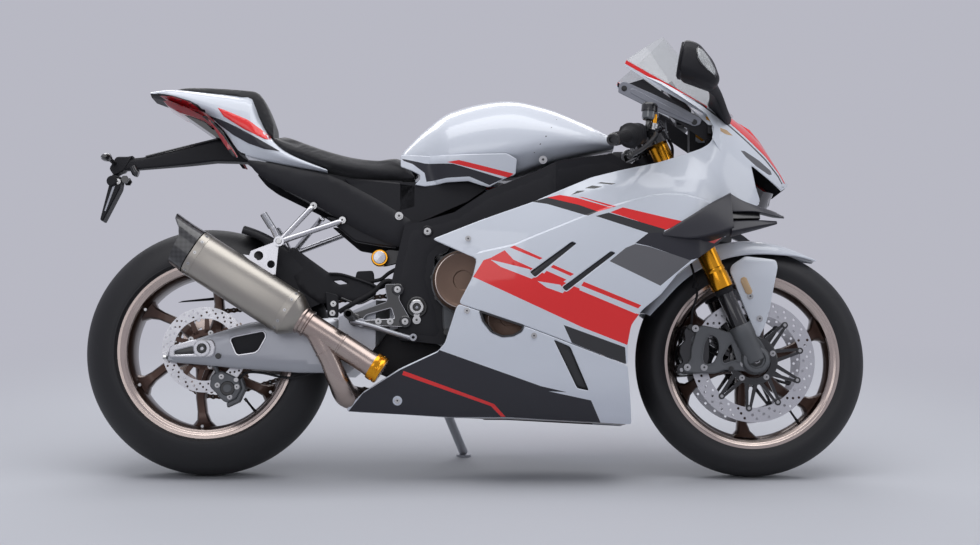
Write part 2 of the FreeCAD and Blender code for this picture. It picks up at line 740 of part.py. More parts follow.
def round_cover(x, z, radius, depth, side):
    """A round engine cover with a bevelled edge."""
    start = V(x, side * float(S.engine_half_width + S.fit), z)
    body = cylinder(start, V(0, side, 0), radius, depth - 12)
    cap = cone(start + V(0, side * (depth - 12), 0), V(0, side, 0), radius, radius - 12, 12)
    return fused([body, cap])


engine = node(make_engine(), "engine_block")
node(group([round_cover(664, 495, 78.0, 50.0, -1), round_cover(776, 398, 56.0, 44.0, -1)]),
     "engine_covers_right")

RADIATOR = [(front(1062), 384), (front(1088), 379), (front(1144), 659), (front(1118), 664)]


def make_radiator():
    """The core and tanks as one slab, on two lugs that reach the engine."""
    shape = side_prism(RADIATOR, -168, 168)
    lug = [(front(1030), 602), (front(1112), 602), (front(1112), 620), (front(1030), 620)]
    for side in SIDES.values():
        shape = shape.fuse(side_prism(lug, side * 84, side * 100))
    case = side_prism(CRANKCASE, -S.engine_half_width, S.engine_half_width)
    case.translate(V(S.fit, 0, 0))
    return feature(solid_of(shape.cut(case)))


node(make_radiator(), "radiator")

# ---------------------------------------------------------------- exhaust
EXHAUST_Y = -float(S.silencer_y)
SILENCER_REAR = V(-8, EXHAUST_Y, 555)
SILENCER_FRONT = V(236, EXHAUST_Y, 398)
SILENCER_DIR = (SILENCER_FRONT - SILENCER_REAR).normalize()


def make_header(y):
    """A pipe from one cylinder, down in front of the engine and back below it."""
    start_x = 985 + float(S.fit)
    return tube([V(start_x, y, 490), V(start_x + 26, y, 470), V(start_x + 26, y, 300),
                 V(start_x - 20, y * 0.8, 215), V(870, y * 0.42, 192)], S.header_radius, 34)


def make_link_pipe():
    """The collector under the engine, up behind the belly to the silencer."""
    radius = float(S.pipe_radius)
    rise = tube([V(868, 0, 190), V(640, -40, 190), V(500, -62, 198), V(384, -128, 198),
                 V(350, EXHAUST_Y + 6, 246), V(300, EXHAUST_Y, 352)], 27, 60)
    box_shape = Part.makeBox(120, 150, 44, V(840, -75, 166))
    straight = Part.makeCylinder(radius, 200, SILENCER_FRONT + SILENCER_DIR * 60, SILENCER_DIR)
    collar = Part.makeCylinder(radius + 6, 26, SILENCER_FRONT + SILENCER_DIR * 222, SILENCER_DIR)
    straight = straight.fuse(collar)
    neck = Part.makeCone(float(S.silencer_radius) - 8, radius, 46,
                         SILENCER_FRONT + SILENCER_DIR * 18, SILENCER_DIR)
    return solid_of(rise.fuse(box_shape).fuse(straight).fuse(neck))


headers = [make_header(y) for y in (-112, -38, 38, 112)]
link_pipe = make_link_pipe()
for header in headers:
    link_pipe = link_pipe.fuse(header)
node(feature(solid_of(link_pipe.cut(engine.Shape))), "exhaust_pipes")

def make_silencer():
    """A barrel with a tapered front, closed at the outlet pipe."""
    length = (SILENCER_FRONT - SILENCER_REAR).Length
    barrel = cylinder(SILENCER_REAR, SILENCER_DIR, S.silencer_radius, length)
    taper = cone(SILENCER_FRONT, SILENCER_DIR, S.silencer_radius, S.silencer_radius - 8, 18 - S.fit)
    return fused([barrel, taper])


def make_end_cap():
    """The dark outlet end, longer at the top, bored for the outlet."""
    up = V(-SILENCER_DIR.z, 0, SILENCER_DIR.x)
    radius = float(S.silencer_radius)
    base = SILENCER_REAR - SILENCER_DIR * float(S.fit)
    barrel = Part.makeCylinder(radius, 120, base, -SILENCER_DIR)
    edge = [base - up * 70 + SILENCER_DIR * 4, base + up * 70 + SILENCER_DIR * 4,
            base + up * 70 - SILENCER_DIR * 86, base + up * 24 - SILENCER_DIR * 46,
            base - up * 70 - SILENCER_DIR * 38]
    keep = face_of([V(p.x, EXHAUST_Y - 80, p.z) for p in edge]).extrude(V(0, 160, 0))
    bore = Part.makeCylinder(radius - 9, 110, base - SILENCER_DIR * 12, -SILENCER_DIR)
    return feature(solid_of(barrel.common(keep).cut(bore)))


node(make_silencer(), "silencer")
node(make_end_cap(), "silencer_end_cap")

# ---------------------------------------------------------------- swingarm, chain and rear brake
ARM_OUTLINE = [(-92, 290), (-92, 306), (-62, 334), (116, 389), (167, 397), (250, 396),
               (344.7, 404), (344.7, 262), (246, 262), (93, 273), (-61, 287)]
BRIDGE_OUTLINE = [(345, 262), (345, 404), (440, 448), (573, 458), (573, 402), (470, 372),
                  (420, 300), (372, 262)]
PADDOCK_BOSS = V(41, 0, 303)


def make_arm(side):
    inner, outer = float(S.arm_inner), float(S.arm_outer)
    slab = side_prism(ARM_OUTLINE, inner, outer)
    spindle = Part.makeCylinder(float(S.wheel_axle_radius + S.fit), 400, REAR_AXLE, Y_AXIS)
    depth = float(S.paddock_depth)
    boss = Part.makeCylinder(float(S.paddock_bore), depth, PADDOCK_BOSS + V(0, outer - depth, 0), Y_AXIS)
    return feature(on_side(solid_of(slab.cut(spindle).cut(boss)), side))


def make_bridge():
    """The swingarm's front end: wide behind the frame, narrow between the pivot plates."""
    wide, narrow = float(S.frame_half_width) - 1, float(S.gearbox_half_width)
    corners = [(345, wide), (440, wide), (474, narrow), (573, narrow)]
    plan = plan_prism(corners + [(x, -y) for x, y in reversed(corners)], 200, 500)
    chain_way = Part.makeBox(260, 30, 190, V(330, float(S.sprocket_y) - 15, 300))
    pivot_half = float(S.frame_half_width) + 4
    pivot = Part.makeCylinder(float(S.pivot_radius), 2 * pivot_half, PIVOT - V(0, pivot_half, 0), Y_AXIS)
    shape = side_prism(BRIDGE_OUTLINE, -wide, wide).common(plan).cut(chain_way).fuse(pivot)
    return feature(solid_of(shape))


for name, side in SIDES.items():
    node(make_arm(side), "swingarm_" + name)
node(make_bridge(), "swingarm_bridge")

# the chain's clearance round the turning sprocket
CHAIN_CLEAR = 1.5


def belt_outline(grow):
    """The closed side outline of the chain, round the sprocket and the engine's own."""
    big = float(S.sprocket_radius) + CHAIN_CLEAR + grow
    small = float(S.engine_sprocket_radius + S.fit) + grow
    span = ENGINE_SPROCKET - REAR_AXLE
    lean = math.atan2(span.z, span.x)
    open_angle = math.acos((big - small) / span.Length)
    points = []
    for centre, radius, first, last in ((REAR_AXLE, big, open_angle, 2 * math.pi - open_angle),
                                        (ENGINE_SPROCKET, small, -open_angle, open_angle)):
        a = V(centre.x + radius * math.cos(lean + first), 0, centre.z + radius * math.sin(lean + first))
        b = V(centre.x + radius * math.cos(lean + last), 0, centre.z + radius * math.sin(lean + last))
        middle_angle = lean + (first + last) / 2
        m = V(centre.x + radius * math.cos(middle_angle), 0, centre.z + radius * math.sin(middle_angle))
        points.append((a, m, b))
    (a1, m1, b1), (a2, m2, b2) = points
    return Part.Wire([Part.Arc(a1, m1, b1).toShape(), Part.LineSegment(b1, a2).toShape(),
                      Part.Arc(a2, m2, b2).toShape(), Part.LineSegment(b2, a1).toShape()])


def make_chain():
    start = float(S.sprocket_y - S.chain_width / 2)
    solids = []
    for grow in (float(S.chain_height), 0):
        face = Part.Face(belt_outline(grow))
        face.translate(V(0, start, 0))
        solids.append(face.extrude(V(0, float(S.chain_width), 0)))
    return feature(solid_of(solids[0].cut(solids[1])))


node(make_chain(), "drive_chain")

def make_rear_caliper():
    """The rear caliper below the swingarm, with its carrier round the spindle."""
    gap = 4.0
    face = float(S.rear_disc_y)
    inner, outer = face - 22, face + 18
    block = side_prism(sector((66, 128), (-62, -28), REAR_AXLE), inner, outer)
    slot = side_prism(sector((30, float(S.rear_disc_radius) + 10), (-90, 0), REAR_AXLE),
                      face - float(S.disc_thickness) / 2 - gap, face + float(S.disc_thickness) / 2 + gap)
    block = block.cut(slot)
    carrier_low = face + float(S.disc_thickness) / 2 + gap
    carrier_high = float(S.arm_inner - S.fit)
    eye = Part.makeCylinder(30, carrier_high - carrier_low, REAR_AXLE + V(0, carrier_low, 0), Y_AXIS)
    web = side_prism([(10, 300), (26, 322), (90, 262), (66, 232)], carrier_low, outer)
    spindle = Part.makeCylinder(float(S.wheel_axle_radius + S.fit), 400, REAR_AXLE, Y_AXIS)
    return feature(mirrored(solid_of(block.fuse(eye).fuse(web).cut(spindle))))


node(make_rear_caliper(), "rear_caliper")


def ring_band(place, inner, outer, start_angle, end_angle, half_low, half_high):
    """A solid band round an axle, angles from forward towards up."""
    profile = [V(place.x + r, y, place.z) for r, y in ((inner, half_low), (outer, half_low),
                                                      (outer, half_high), (inner, half_high))]
    face = face_of(profile)
    face.rotate(place, Y_AXIS, -start_angle)
    return face.revolve(place, Y_AXIS, -(end_angle - start_angle))


GUARD = [(-110, 462), (-96, 466), (60, 484), (230, 494), (230, 486), (80, 476)]


# the guard's forward flap on the right, above the swingarm
HUGGER_FLAP = [(239, 479), (296, 440), (348, 452), (394, 438), (435, 455), (443, 480), (431, 491),
               (355, 517), (317, 521), (264, 559)]
FLAP_WINDOW = [(329, 500), (348, 502), (365, 493), (344, 491)]


def make_hugger():
    """The rear tyre's own fender, on the swingarm's bridge and arms."""
    gap, wall = 14, float(S.skin)
    radius = float(S.rear_tyre_radius) + gap
    crown = ring_band(REAR_AXLE, radius, radius + wall, 22, 74, -104, 104)
    skirts = [ring_band(REAR_AXLE, radius - 60, radius + 1, start, 60, side * 100, side * 104)
              for side, start in ((-1, 22), (1, 44))]
    foot = side_prism([(318, 404.3), (343, 404.3), (343, 462), (308, 472)], 104, 118)
    shape = crown
    guard_inner = float(S.sprocket_y + S.chain_width / 2 + 2)
    guard = side_prism(GUARD, 100, guard_inner + 5)
    guard_leg = side_prism([(150, 397.3), (190, 397.3), (186, 484), (158, 482)], guard_inner, guard_inner + 5)
    flap = side_prism(HUGGER_FLAP, -104, -100).cut(side_prism(FLAP_WINDOW, -104, -100))
    for piece in skirts + [mirrored(foot), guard, guard_leg, flap]:
        shape = shape.fuse(piece)
    tyre_room = Part.makeCylinder(radius - 0.5, 196, REAR_AXLE - V(0, 98, 0), Y_AXIS)
    chain_room = Part.makeBox(160, 60, 80, V(200, float(S.sprocket_y - S.chain_width / 2) - 3, 402))
    return feature(solid_of(shape.cut(tyre_room).cut(chain_room)))


node(make_hugger(), "rear_hugger")


def make_shock():
    """The spring unit from the bridge to a cross tube in the frame, its adjuster out to the right."""
    between_spars = float(S.frame_half_width - S.spar_wall - S.fit)
    spring = Part.makeCylinder(28, 176, V(526, 0, 448), V(0.04, 0, 1))
    tube_across = Part.makeCylinder(12, 2 * between_spars, V(534, -between_spars, 622), Y_AXIS)
    knob = Part.makeCylinder(20, 30, V(448, -126, 559), Y_AXIS)
    stem = Part.makeCylinder(7, 116, V(448, -104, 559), V(78, 90, 0))
    trim = side_prism(BRIDGE_OUTLINE, -200, 200)
    return feature(solid_of(spring.fuse(tube_across).fuse(knob).fuse(stem).cut(trim)))


node(make_shock(), "rear_shock")

# ---------------------------------------------------------------- tank, seats and tail
def full_ring(x, half):
    """A closed ring across the bike from the left half, listed from the top down."""
    left = [V(x, y, z) for y, z in half]
    right = [V(x, -y, z) for y, z in reversed(half) if y > 0]
    return left + right


def lofted(stations):
    """A solid through stations: x, then (y, z) from the top centre to the bottom centre."""
    return loft([full_ring(x, half) for x, half in stations])


# x: top, shoulder, side, lower side, bottom
TANK = [
    (497, [(0, 852), (34, 846), (64, 824), (66, 800), (50, 792), (0, 792)]),
    (560, [(0, 914), (52, 904), (96, 862), (104, 806), (80, 786), (0, 786)]),
    (625, [(0, 963), (72, 944), (134, 890), (142, 812), (96, 786), (0, 786)]),
    (770, [(0, 995), (92, 972), (152, 910), (158, 830), (104, 778), (0, 778)]),
    (880, [(0, 976), (92, 954), (148, 898), (152, 850), (104, 812), (0, 812)]),
    (front(990), [(0, 930), (66, 918), (112, 884), (118, 862), (84, 844), (0, 844)]),
    (front(1058), [(0, 895), (40, 890), (66, 876), (66, 864), (44, 858), (0, 858)]),
]
TANK_FOOT = [(752, 812), (752, 740), (796, 756), (796, 812)]


def make_tank():
    """The tank's shell as a solid, on a foot over each spar."""
    shape = lofted(TANK)
    spar = side_prism(SPAR_OUTLINE, -200, 200)
    spar.translate(V(0, 0, S.fit))
    for side in SIDES.values():
        foot = side_prism(TANK_FOOT, side * 92, side * 100)
        shape = shape.fuse(foot.cut(spar))
    return feature(solid_of(shape))


node(make_tank(), "fuel_tank")

# x: top centre, shoulder, side, lower side, bottom centre
TAIL = [
    (-163, [(0, 1010), (30, 1009), (52, 1004), (60, 998), (40, 992), (0, 992)]),
    (-109, [(0, 1011), (58, 1010), (84, 1002), (92, 986), (60, 974), (0, 974)]),
    (0, [(0, 1001), (66, 999), (98, 984), (108, 950), (72, 925), (0, 925)]),
    (41, [(0, 997), (66, 995), (100, 978), (112, 930), (90, 886), (0, 886)]),
    (77, [(0, 992), (66, 990), (102, 970), (115, 912), (98, 836), (0, 836)]),
    (107, [(0, 986), (66, 984), (102, 960), (116, 895), (100, 824), (0, 824)]),
    (125, [(0, 940), (70, 936), (104, 915), (118, 866), (102, 818), (0, 818)]),
    (150, [(0, 890), (84, 888), (112, 878), (120, 844), (104, 812), (0, 812)]),
    (200, [(0, 840), (90, 840), (116, 835), (122, 820), (104, 802), (0, 802)]),
    (310, [(0, 789), (100, 789), (120, 788), (123, 785), (104, 782), (0, 782)]),
]
tail_solid = lofted(TAIL)
node(feature(tail_solid), "tail_cowl")

# the rider's pad lies on the tail's tongue and runs under the tank
SEAT = [
    (166, [(0, 893), (60, 892), (94, 886), (103, 880), (92, 862), (0, 862)]),
    (200, [(0, 884), (72, 881), (106, 868), (117, 848), (106, 832), (0, 832)]),
    (240, [(0, 868), (84, 865), (118, 846), (127, 826), (108, 812), (0, 812)]),
    (300, [(0, 846), (92, 843), (128, 822), (134, 800), (110, 786), (0, 786)]),
    (370, [(0, 826), (98, 824), (132, 804), (134, 782), (108, 770), (0, 770)]),
    (440, [(0, 819), (92, 817), (120, 800), (124, 776), (100, 765), (0, 765)]),
    (484, [(0, 829), (76, 826), (108, 808), (116, 776), (96, 764), (0, 764)]),
    (505, [(0, 820), (76, 817), (108, 804), (115, 776), (96, 763), (0, 763)]),
    (540, [(0, 784), (76, 784), (106, 782), (112, 774), (96, 762), (0, 762)]),
]
tail_room = tail_solid.copy()
tail_room.translate(V(0, 0, S.fit))
tank_room = lofted(TANK)
tank_room.translate(V(0, 0, -S.fit))
tank_room = tank_room.fuse(lofted(TANK))
node(feature(solid_of(lofted(SEAT).cut(tail_room).cut(tank_room))), "rider_seat")

# the passenger's pad: a wedge over the tail's top and down its front slope
PAD = [
    (-100, [(0, 1018), (30, 1018), (46, 1013), (50, 1000), (0, 1000)]),
    (-57, [(0, 1019), (44, 1018), (60, 1010), (64, 994), (0, 994)]),
    (5, [(0, 1017), (54, 1015), (67, 1006), (72, 985), (0, 985)]),
    (88, [(0, 1011), (56, 1009), (72, 998), (76, 970), (0, 970)]),
    (114, [(0, 1007), (56, 1005), (73, 990), (77, 930), (0, 930)]),
    (128, [(0, 995), (56, 993), (72, 978), (76, 900), (0, 900)]),
    (146, [(0, 962), (56, 960), (72, 945), (76, 886), (0, 886)]),
    (162, [(0, 920), (56, 918), (70, 908), (74, 872), (0, 872)]),
]
node(feature(solid_of(lofted(PAD).cut(tail_solid))), "passenger_seat")
LAMP_OUTLINE = [(-133, 988), (-60, 975), (9, 920), (4, 907), (-16, 924), (-85, 946), (-119, 968)]
lamp_solid = side_prism(LAMP_OUTLINE, -66, 66)
node(feature(solid_of(lamp_solid.cut(tail_solid))), "tail_light")

# black plates below the seat, from the tail to the frame's pivot plates
PANEL_OUTLINE = [(98, 814), (126, 780), (159, 756), (278, 698), (396, 628), (473, 594), (515, 584),
                 (530, 642), (528, 658), (440, 712), (344, 764), (306, 779), (239, 790), (185, 801),
                 (130, 812)]
SUBFRAME_Y = (104, 117)
# its top lies a fit's clearance below the tail's and the seat's undersides
UNDERTRAY = [(134, 796), (150, 812 - S.fit), (200, 802 - S.fit), (310, 782 - S.fit), (370, 770 - S.fit),
             (440, 765 - S.fit), (505, 763 - S.fit), (470, 660), (430, 652), (300, 700), (180, 764)]


def make_subframe():
    """The seat's carrier: a black plate on each side of the tray under the seat."""
    shape = side_prism(UNDERTRAY, -SUBFRAME_Y[0], SUBFRAME_Y[0])
    for side in SIDES.values():
        shape = shape.fuse(side_prism(PANEL_OUTLINE, side * SUBFRAME_Y[0], side * SUBFRAME_Y[1]))
    return feature(solid_of(shape.cut(side_prism(SPAR_OUTLINE, -200, 200))))


subframe = node(make_subframe(), "subframe")

# the long arm under the tail that carries the plate and the rear indicators
PLATE_ARM = [(-82, 943), (-36, 902), (-10, 884), (-120, 855), (-188, 838), (-256, 838),
             (-282, 824), (-268, 776), (-298, 668), (-286, 665), (-238, 758), (-228, 800),
             (-176, 806), (18, 826), (88, 832), (88, 880), (34, 935), (12, 905), (2, 905), (-17, 922.5)]


def make_plate_holder():
    """An arm with the tongue for the number plate and an indicator out to each side."""
    arm = side_prism(PLATE_ARM, -24, 24)
    half = float(S.plate_width) / 2
    top, low = V(-260, 0, 788), V(-297, 0, 660)
    down = (low - top).normalize()
    back = V(down.z, 0, -down.x) * float(S.plate_wall) * 2
    corners = [top, low, low + back, top + back]
    tongue = face_of([V(p.x, -half, p.z) for p in corners]).extrude(V(0, 2 * half, 0))
    shape = arm.cut(tail_solid).fuse(tongue)
    for side in SIDES.values():
        hole = top + down * 80 + V(0, side * (half - 10), 0) - V(20, 0, 0)
        shape = shape.cut(Part.makeCylinder(float(S.plate_hole), 60, hole, X_AXIS))
        stalk = Part.makeCylinder(6, 66, V(-262, side * 20, 820), V(0, side, 0))
        lamp = Part.makeCone(8, 13, 40, V(-262, side * 84, 820), V(0, side, 0))
        shape = shape.fuse(stalk).fuse(lamp)
    return feature(solid_of(shape))


node(make_plate_holder(), "plate_holder")

# ---------------------------------------------------------------- pegs, pedals and their brackets
REARSET = [(463, 488), (507, 489), (500, 450), (533, 392), (513, 378), (380, 384), (368, 408), (470, 444)]
REARSET_WINDOW = [(408, 396), (488, 400), (480, 426), (418, 408)]


def make_rearset(side):
    """The rider's footrest bracket with its peg and its pedal."""
    inner = float(S.frame_half_width) + 4.6
    plate = side_prism(REARSET, inner, inner + 12).cut(side_prism(REARSET_WINDOW, 0, 200))
    spacers = [Part.makeCylinder(9, inner + 1 - float(S.frame_half_width + S.fit),
                                 V(x, float(S.frame_half_width + S.fit), z), Y_AXIS)
               for x, z in ((496, 474), (516, 392))]
    peg = tube([V(388, inner + 6, 396), V(384, inner + 40, 396), V(384, inner + 112, 400)], 11, 30)
    heel = Part.makeCylinder(30, 4, V(440, inner + 12, 448), Y_AXIS)
    pedal = tube([V(405, inner + 18, 388), V(470, inner + 22, 352), V(536, inner + 22, 350)], 7, 30)
    toe = Part.makeCylinder(9, 34, V(538, inner + 14, 350), Y_AXIS)
    stem = Part.makeCylinder(9, 14, V(405, inner + 10, 388), Y_AXIS)
    shape = plate
    for piece in spacers + [peg, heel, pedal, toe, stem]:
        shape = shape.fuse(piece)
    return feature(on_side(solid_of(shape), side))


def make_peg_bracket(side):
    """The tubular bracket for the passenger's peg; the right one also holds the silencer."""
    y = float(SUBFRAME_Y[1] + S.fit)
    joint = V(192, y + 30, 596)
    upper = tube([V(276, y, 694), V(268, y + 8, 684), joint], 7.5, 12)
    lower = tube([V(352, y, 656), V(340, y + 8, 650), joint], 7.5, 12)
    peg = tube([joint, V(176, y + 34, 630), V(150, y + 36, 668)], 8, 20)
    knuckle = Part.makeCylinder(13, 24, joint - V(0, 10, 0), Y_AXIS)
    shape = upper.fuse(lower).fuse(peg).fuse(knuckle)
    if side < 0:
        ear = side_prism([(192, 600), (120, 572), (112, 548), (170, 510), (184, 512)], y + 26, y + 32)
        for x, z, radius in ((140, 560, 12), (172, 538, 10)):
            ear = ear.cut(Part.makeCylinder(radius, 400, V(x, 0, z), Y_AXIS))
        strap = side_prism([(104, 560), (128, 556), (184, 510), (172, 500)], y + 20, y + 60)
        barrel = Part.makeCylinder(float(S.silencer_radius + S.fit), 700,
                                   V(SILENCER_REAR.x, -EXHAUST_Y, SILENCER_REAR.z) - SILENCER_DIR * 200,
                                   SILENCER_DIR)
        shape = shape.fuse(ear).fuse(strap).cut(barrel)
    return feature(on_side(solid_of(shape.cut(subframe.Shape)), side))


for name, side in SIDES.items():
    node(make_rearset(side), "rearset_" + name)
for name, side in SIDES.items():
    node(make_peg_bracket(side), "peg_bracket_" + name)

# ---------------------------------------------------------------- fairings
# half width of the bike's skin at each height, one row for each station along it
SKIN_Z = (960, 850, 760, 680, 600, 500, 400, 300, 200, 120)
SKIN_ROWS = [
    # station, half width at each height
    (340, (150, 165, 185, 200, 210, 214, 212, 205, 172, 112)),
    (600, (155, 175, 195, 212, 222, 226, 222, 212, 186, 126)),
    (front(830), (160, 185, 208, 226, 238, 240, 232, 218, 195, 132)),
    (front(1080), (150, 180, 208, 228, 238, 238, 228, 212, 185, 128)),
    (front(1300), (120, 165, 195, 212, 222, 220, 205, 180, 150, 100)),
    (front(1420), (100, 130, 150, 165, 175, 170, 150, 130, 100, 60)),
]
FAIRING_OUTLINE = along([
    (585, 596), (706, 644), (840, 692), (883, 711), (988, 758), (1059, 777), (1164, 801),
    (1283, 842), (1301, 866), (1338, 800), (1350, 720), (1364, 634), (1307, 586), (1208, 515),
    (1160, 456), (1114, 418), (1086, 380), (1077, 332), (1078, 280.5), (832, 372.5),
    (653, 432.5), (688, 500), (698, 545),
])
BELLY_OUTLINE = along([
    (653, 431), (832, 371), (1078, 279), (1093, 133), (781, 149), (632, 149),
    (373, 163), (370, 170), (415, 213), (506, 270), (602, 314), (619, 334), (646, 420),
])
SLOTS = [
    along([(831, 511), (937, 589), (949, 584), (844, 498)]),
    along([(912, 473), (1035, 565), (1047, 560), (922, 463)]),
]
MOON_WINDOW = along([(704, 416), (818, 378), (812, 362), (790, 350), (762, 348), (734, 360),
                     (712, 388)])
BELLY_VENT = along([(891, 343), (933, 325), (981, 216), (951, 222)])


def skin_ring(station, row, inset, spill):
    """The skin's section at one station as a closed ring, inset by a wall, open past its ends."""
    points = []
    for index, (z, width) in enumerate(zip(SKIN_Z, row)):
        end = spill if index == 0 else -spill if index == len(row) - 1 else 0
        points.append(V(station, width - inset, z + end))
    foot = V(station, -spill, SKIN_Z[-1] - spill)
    top = V(station, -spill, SKIN_Z[0] + spill)
    return [top] + points + [foot]


def skin_solid(inset, spill):
    return loft([skin_ring(station, row, inset, spill) for station, row in SKIN_ROWS])


SKIN_OUTER = skin_solid(0, 0)
SKIN_SHELL = SKIN_OUTER.cut(skin_solid(float(S.skin), 5))


BOSS_RADIUS = 8
# spacers between the panels and what carries them: the spars' face, and the engine's
FAIRING_BOSS = (front(894), 694)
BELLY_BOSS = (front(850), 272)


def skin_boss(place, start):
    """A round spacer from a carrier's face out to the skin."""
    return Part.makeCylinder(BOSS_RADIUS, 300, V(place[0], start + float(S.fit), place[1]), Y_AXIS).common(
        SKIN_OUTER)


def make_panel(outline, windows, side):
    """A piece of the skin inside an outline in the side view, with its windows cut."""
    panel = SKIN_SHELL.common(side_prism(outline, 20, 300))
    for window in windows:
        panel = panel.cut(side_prism(window, 0, 300))
    panel = panel.fuse(skin_boss(FAIRING_BOSS, float(S.frame_half_width) + 12))
    return feature(on_side(solid_of(panel), side))


for name, side in SIDES.items():
    node(make_panel(FAIRING_OUTLINE, SLOTS, side), "side_fairing_" + name)
BELLY_FLOOR = along([(392, 164), (632, 150.5), (781, 150.5), (1085, 134.5)])
# the left half stops short of the side stand's swing
STAND_NOTCH = [(300, 60), (722, 60), (706, 262), (560, 300), (300, 300)]


def make_belly(side):
    """One half of the belly pan: its side with the windows, and its half of the floor."""
    wall = SKIN_SHELL.common(side_prism(BELLY_OUTLINE, 20, 300))
    for window in (MOON_WINDOW, BELLY_VENT):
        wall = wall.cut(side_prism(window, 0, 300))
    upper = [(x, z + float(S.skin)) for x, z in reversed(BELLY_FLOOR)]
    floor = side_prism(BELLY_FLOOR + upper, float(S.fit) / 2, 300).common(SKIN_OUTER)
    shape = wall.fuse(floor).fuse(skin_boss(BELLY_BOSS, float(S.engine_half_width)))
    if side > 0:
        shape = shape.cut(side_prism(STAND_NOTCH, -5, 300))
    return feature(on_side(solid_of(shape), side))


for name, side in SIDES.items():
    node(make_belly(side), "belly_pan_" + name)

# ---------------------------------------------------------------- nose, screen, lamps and mirrors
NOSE = [
    (front(1080), [(0, 1150), (80, 1120), (120, 1085), (133, 1060), (137, 1030), (140, 980)]),
    (front(1200), [(0, 1085), (70, 1065), (115, 1030), (135, 1000), (145, 960), (150, 900)]),
    (front(1300), [(0, 1000), (70, 985), (115, 955), (140, 925), (160, 880), (178, 800)]),
    (front(1376), [(0, 952), (60, 935), (105, 895), (128, 850), (145, 800), (160, 690)]),
    (front(1445), [(0, 893), (50, 872), (85, 830), (105, 790), (112, 750), (110, 680)]),
    (front(1500), [(0, 812), (35, 800), (58, 778), (68, 755), (66, 735), (60, 690)]),
    (front(1521), [(0, 776), (12, 774), (20, 770), (24, 764), (22, 756), (18, 700)]),
]
NOSE_OUTLINE = [
    (front(1083), 1074), (front(1291), 958), (front(1344), 967), (front(1376), 949),
    (front(1400), 960), (front(1560), 960), (front(1560), 766), (front(1521), 764),
    (front(1494), 744), (front(1408), 805), (front(1420), 740), (front(1428), 702),
    (front(1404), 682), (front(1367), 642), (front(1352), 720), (front(1341), 800),
    (front(1303), 869), (front(1310), 898), (front(1292), 936), (front(1227), 981),
    (front(1175), 1015), (front(1123), 1041), (front(1083), 1063),
]


def shrunk(stations, wall):
    """The same stations, smaller by a wall and open past the bottom and the back."""
    inner = []
    for index, (x, half) in enumerate(stations):
        points = [(max(y - wall, 0), z - wall) for y, z in half[:-1]]
        points.append((half[-1][0] - wall, half[-1][1] - 30))
        points.append((0, half[-1][1] - 30))
        inner.append((x - (wall if index else 30), points))
    return inner


def closed(stations):
    return [(x, half + [(0, half[-1][1])]) for x, half in stations]


def make_nose():
    shell = lofted(closed(NOSE)).cut(lofted(shrunk(NOSE, float(S.skin))))
    piece = shell.common(side_prism(NOSE_OUTLINE, -250, 250))
    return feature(solid_of(piece))


node(make_nose(), "nose_cowl")

# screen: centre line and side line from its base to its top
SCREEN = [
    # centre x, centre z, side x, half width, side z
    (front(1382), 953, front(1298), 113, 962),
    (front(1330), 1014, front(1232), 122, 998.5),
    (front(1268), 1088, front(1160), 128, 1038),
    (front(1199), 1169, front(1086), 132, 1079.5),
]


def screen_line(centre_x, centre_z, side_x, half, side_z, inset):
    """Points of the screen across the bike at one row, three chords each side."""
    points = []
    for step in range(-3, 4):
        across = step / 3
        drop = across * across
        points.append(V(centre_x + (side_x - centre_x) * drop - inset * 0.7,
                        (half - inset) * across,
                        centre_z + (side_z - centre_z) * drop - inset * 0.7))
    return points


def solid_between(outer, inner):
    """A closed solid of flat triangles between two grids of points."""
    rows, columns = len(outer), len(outer[0])
    faces = []

    def add_quad(a, b, c, d):
        for corners in ((a, b, c), (a, c, d)):
            faces.append(face_of(list(corners)))

    for i in range(rows - 1):
        for j in range(columns - 1):
            for grid in (outer, inner):
                add_quad(grid[i][j], grid[i][j + 1], grid[i + 1][j + 1], grid[i + 1][j])
    for i in range(rows - 1):
        for j in (0, columns - 1):
            add_quad(outer[i][j], outer[i + 1][j], inner[i + 1][j], inner[i][j])
    for j in range(columns - 1):
        for i in (0, rows - 1):
            add_quad(outer[i][j], outer[i][j + 1], inner[i][j + 1], inner[i][j])
    shell = Part.Shell(faces)
    solid = Part.Solid(shell)
    if solid.Volume < 0:
        solid.reverse()
    return solid


def make_screen():
    """A clear curved shell that rises over the centre line."""
    outer = [screen_line(*row, 0) for row in SCREEN]
    inner = [screen_line(*row, float(S.screen_wall)) for row in SCREEN]
    nose = lofted(closed(NOSE)).common(side_prism(NOSE_OUTLINE, -250, 250))
    return feature(solid_of(solid_between(outer, inner).cut(nose)))


screen = node(make_screen(), "windscreen")

lamp_side = side_prism([(front(1414), 796), (front(1484), 744), (front(1466), 704), (front(1434), 706)],
                       -100, 100)
lamp_plan = plan_prism([(front(1400), -88), (front(1490), -44), (front(1490), 44), (front(1400), 88)],
                       600, 900)
node(feature(solid_of(lamp_side.common(lamp_plan))), "headlight")


COWL_PLATE = along([(1087, 1016), (1130, 1030), (1305, 906), (1308, 866), (1290, 868), (1105, 996)])
COWL_PLATE_SHORT = along([(1215, 970), (1305, 906), (1308, 866), (1290, 868), (1222, 914)])


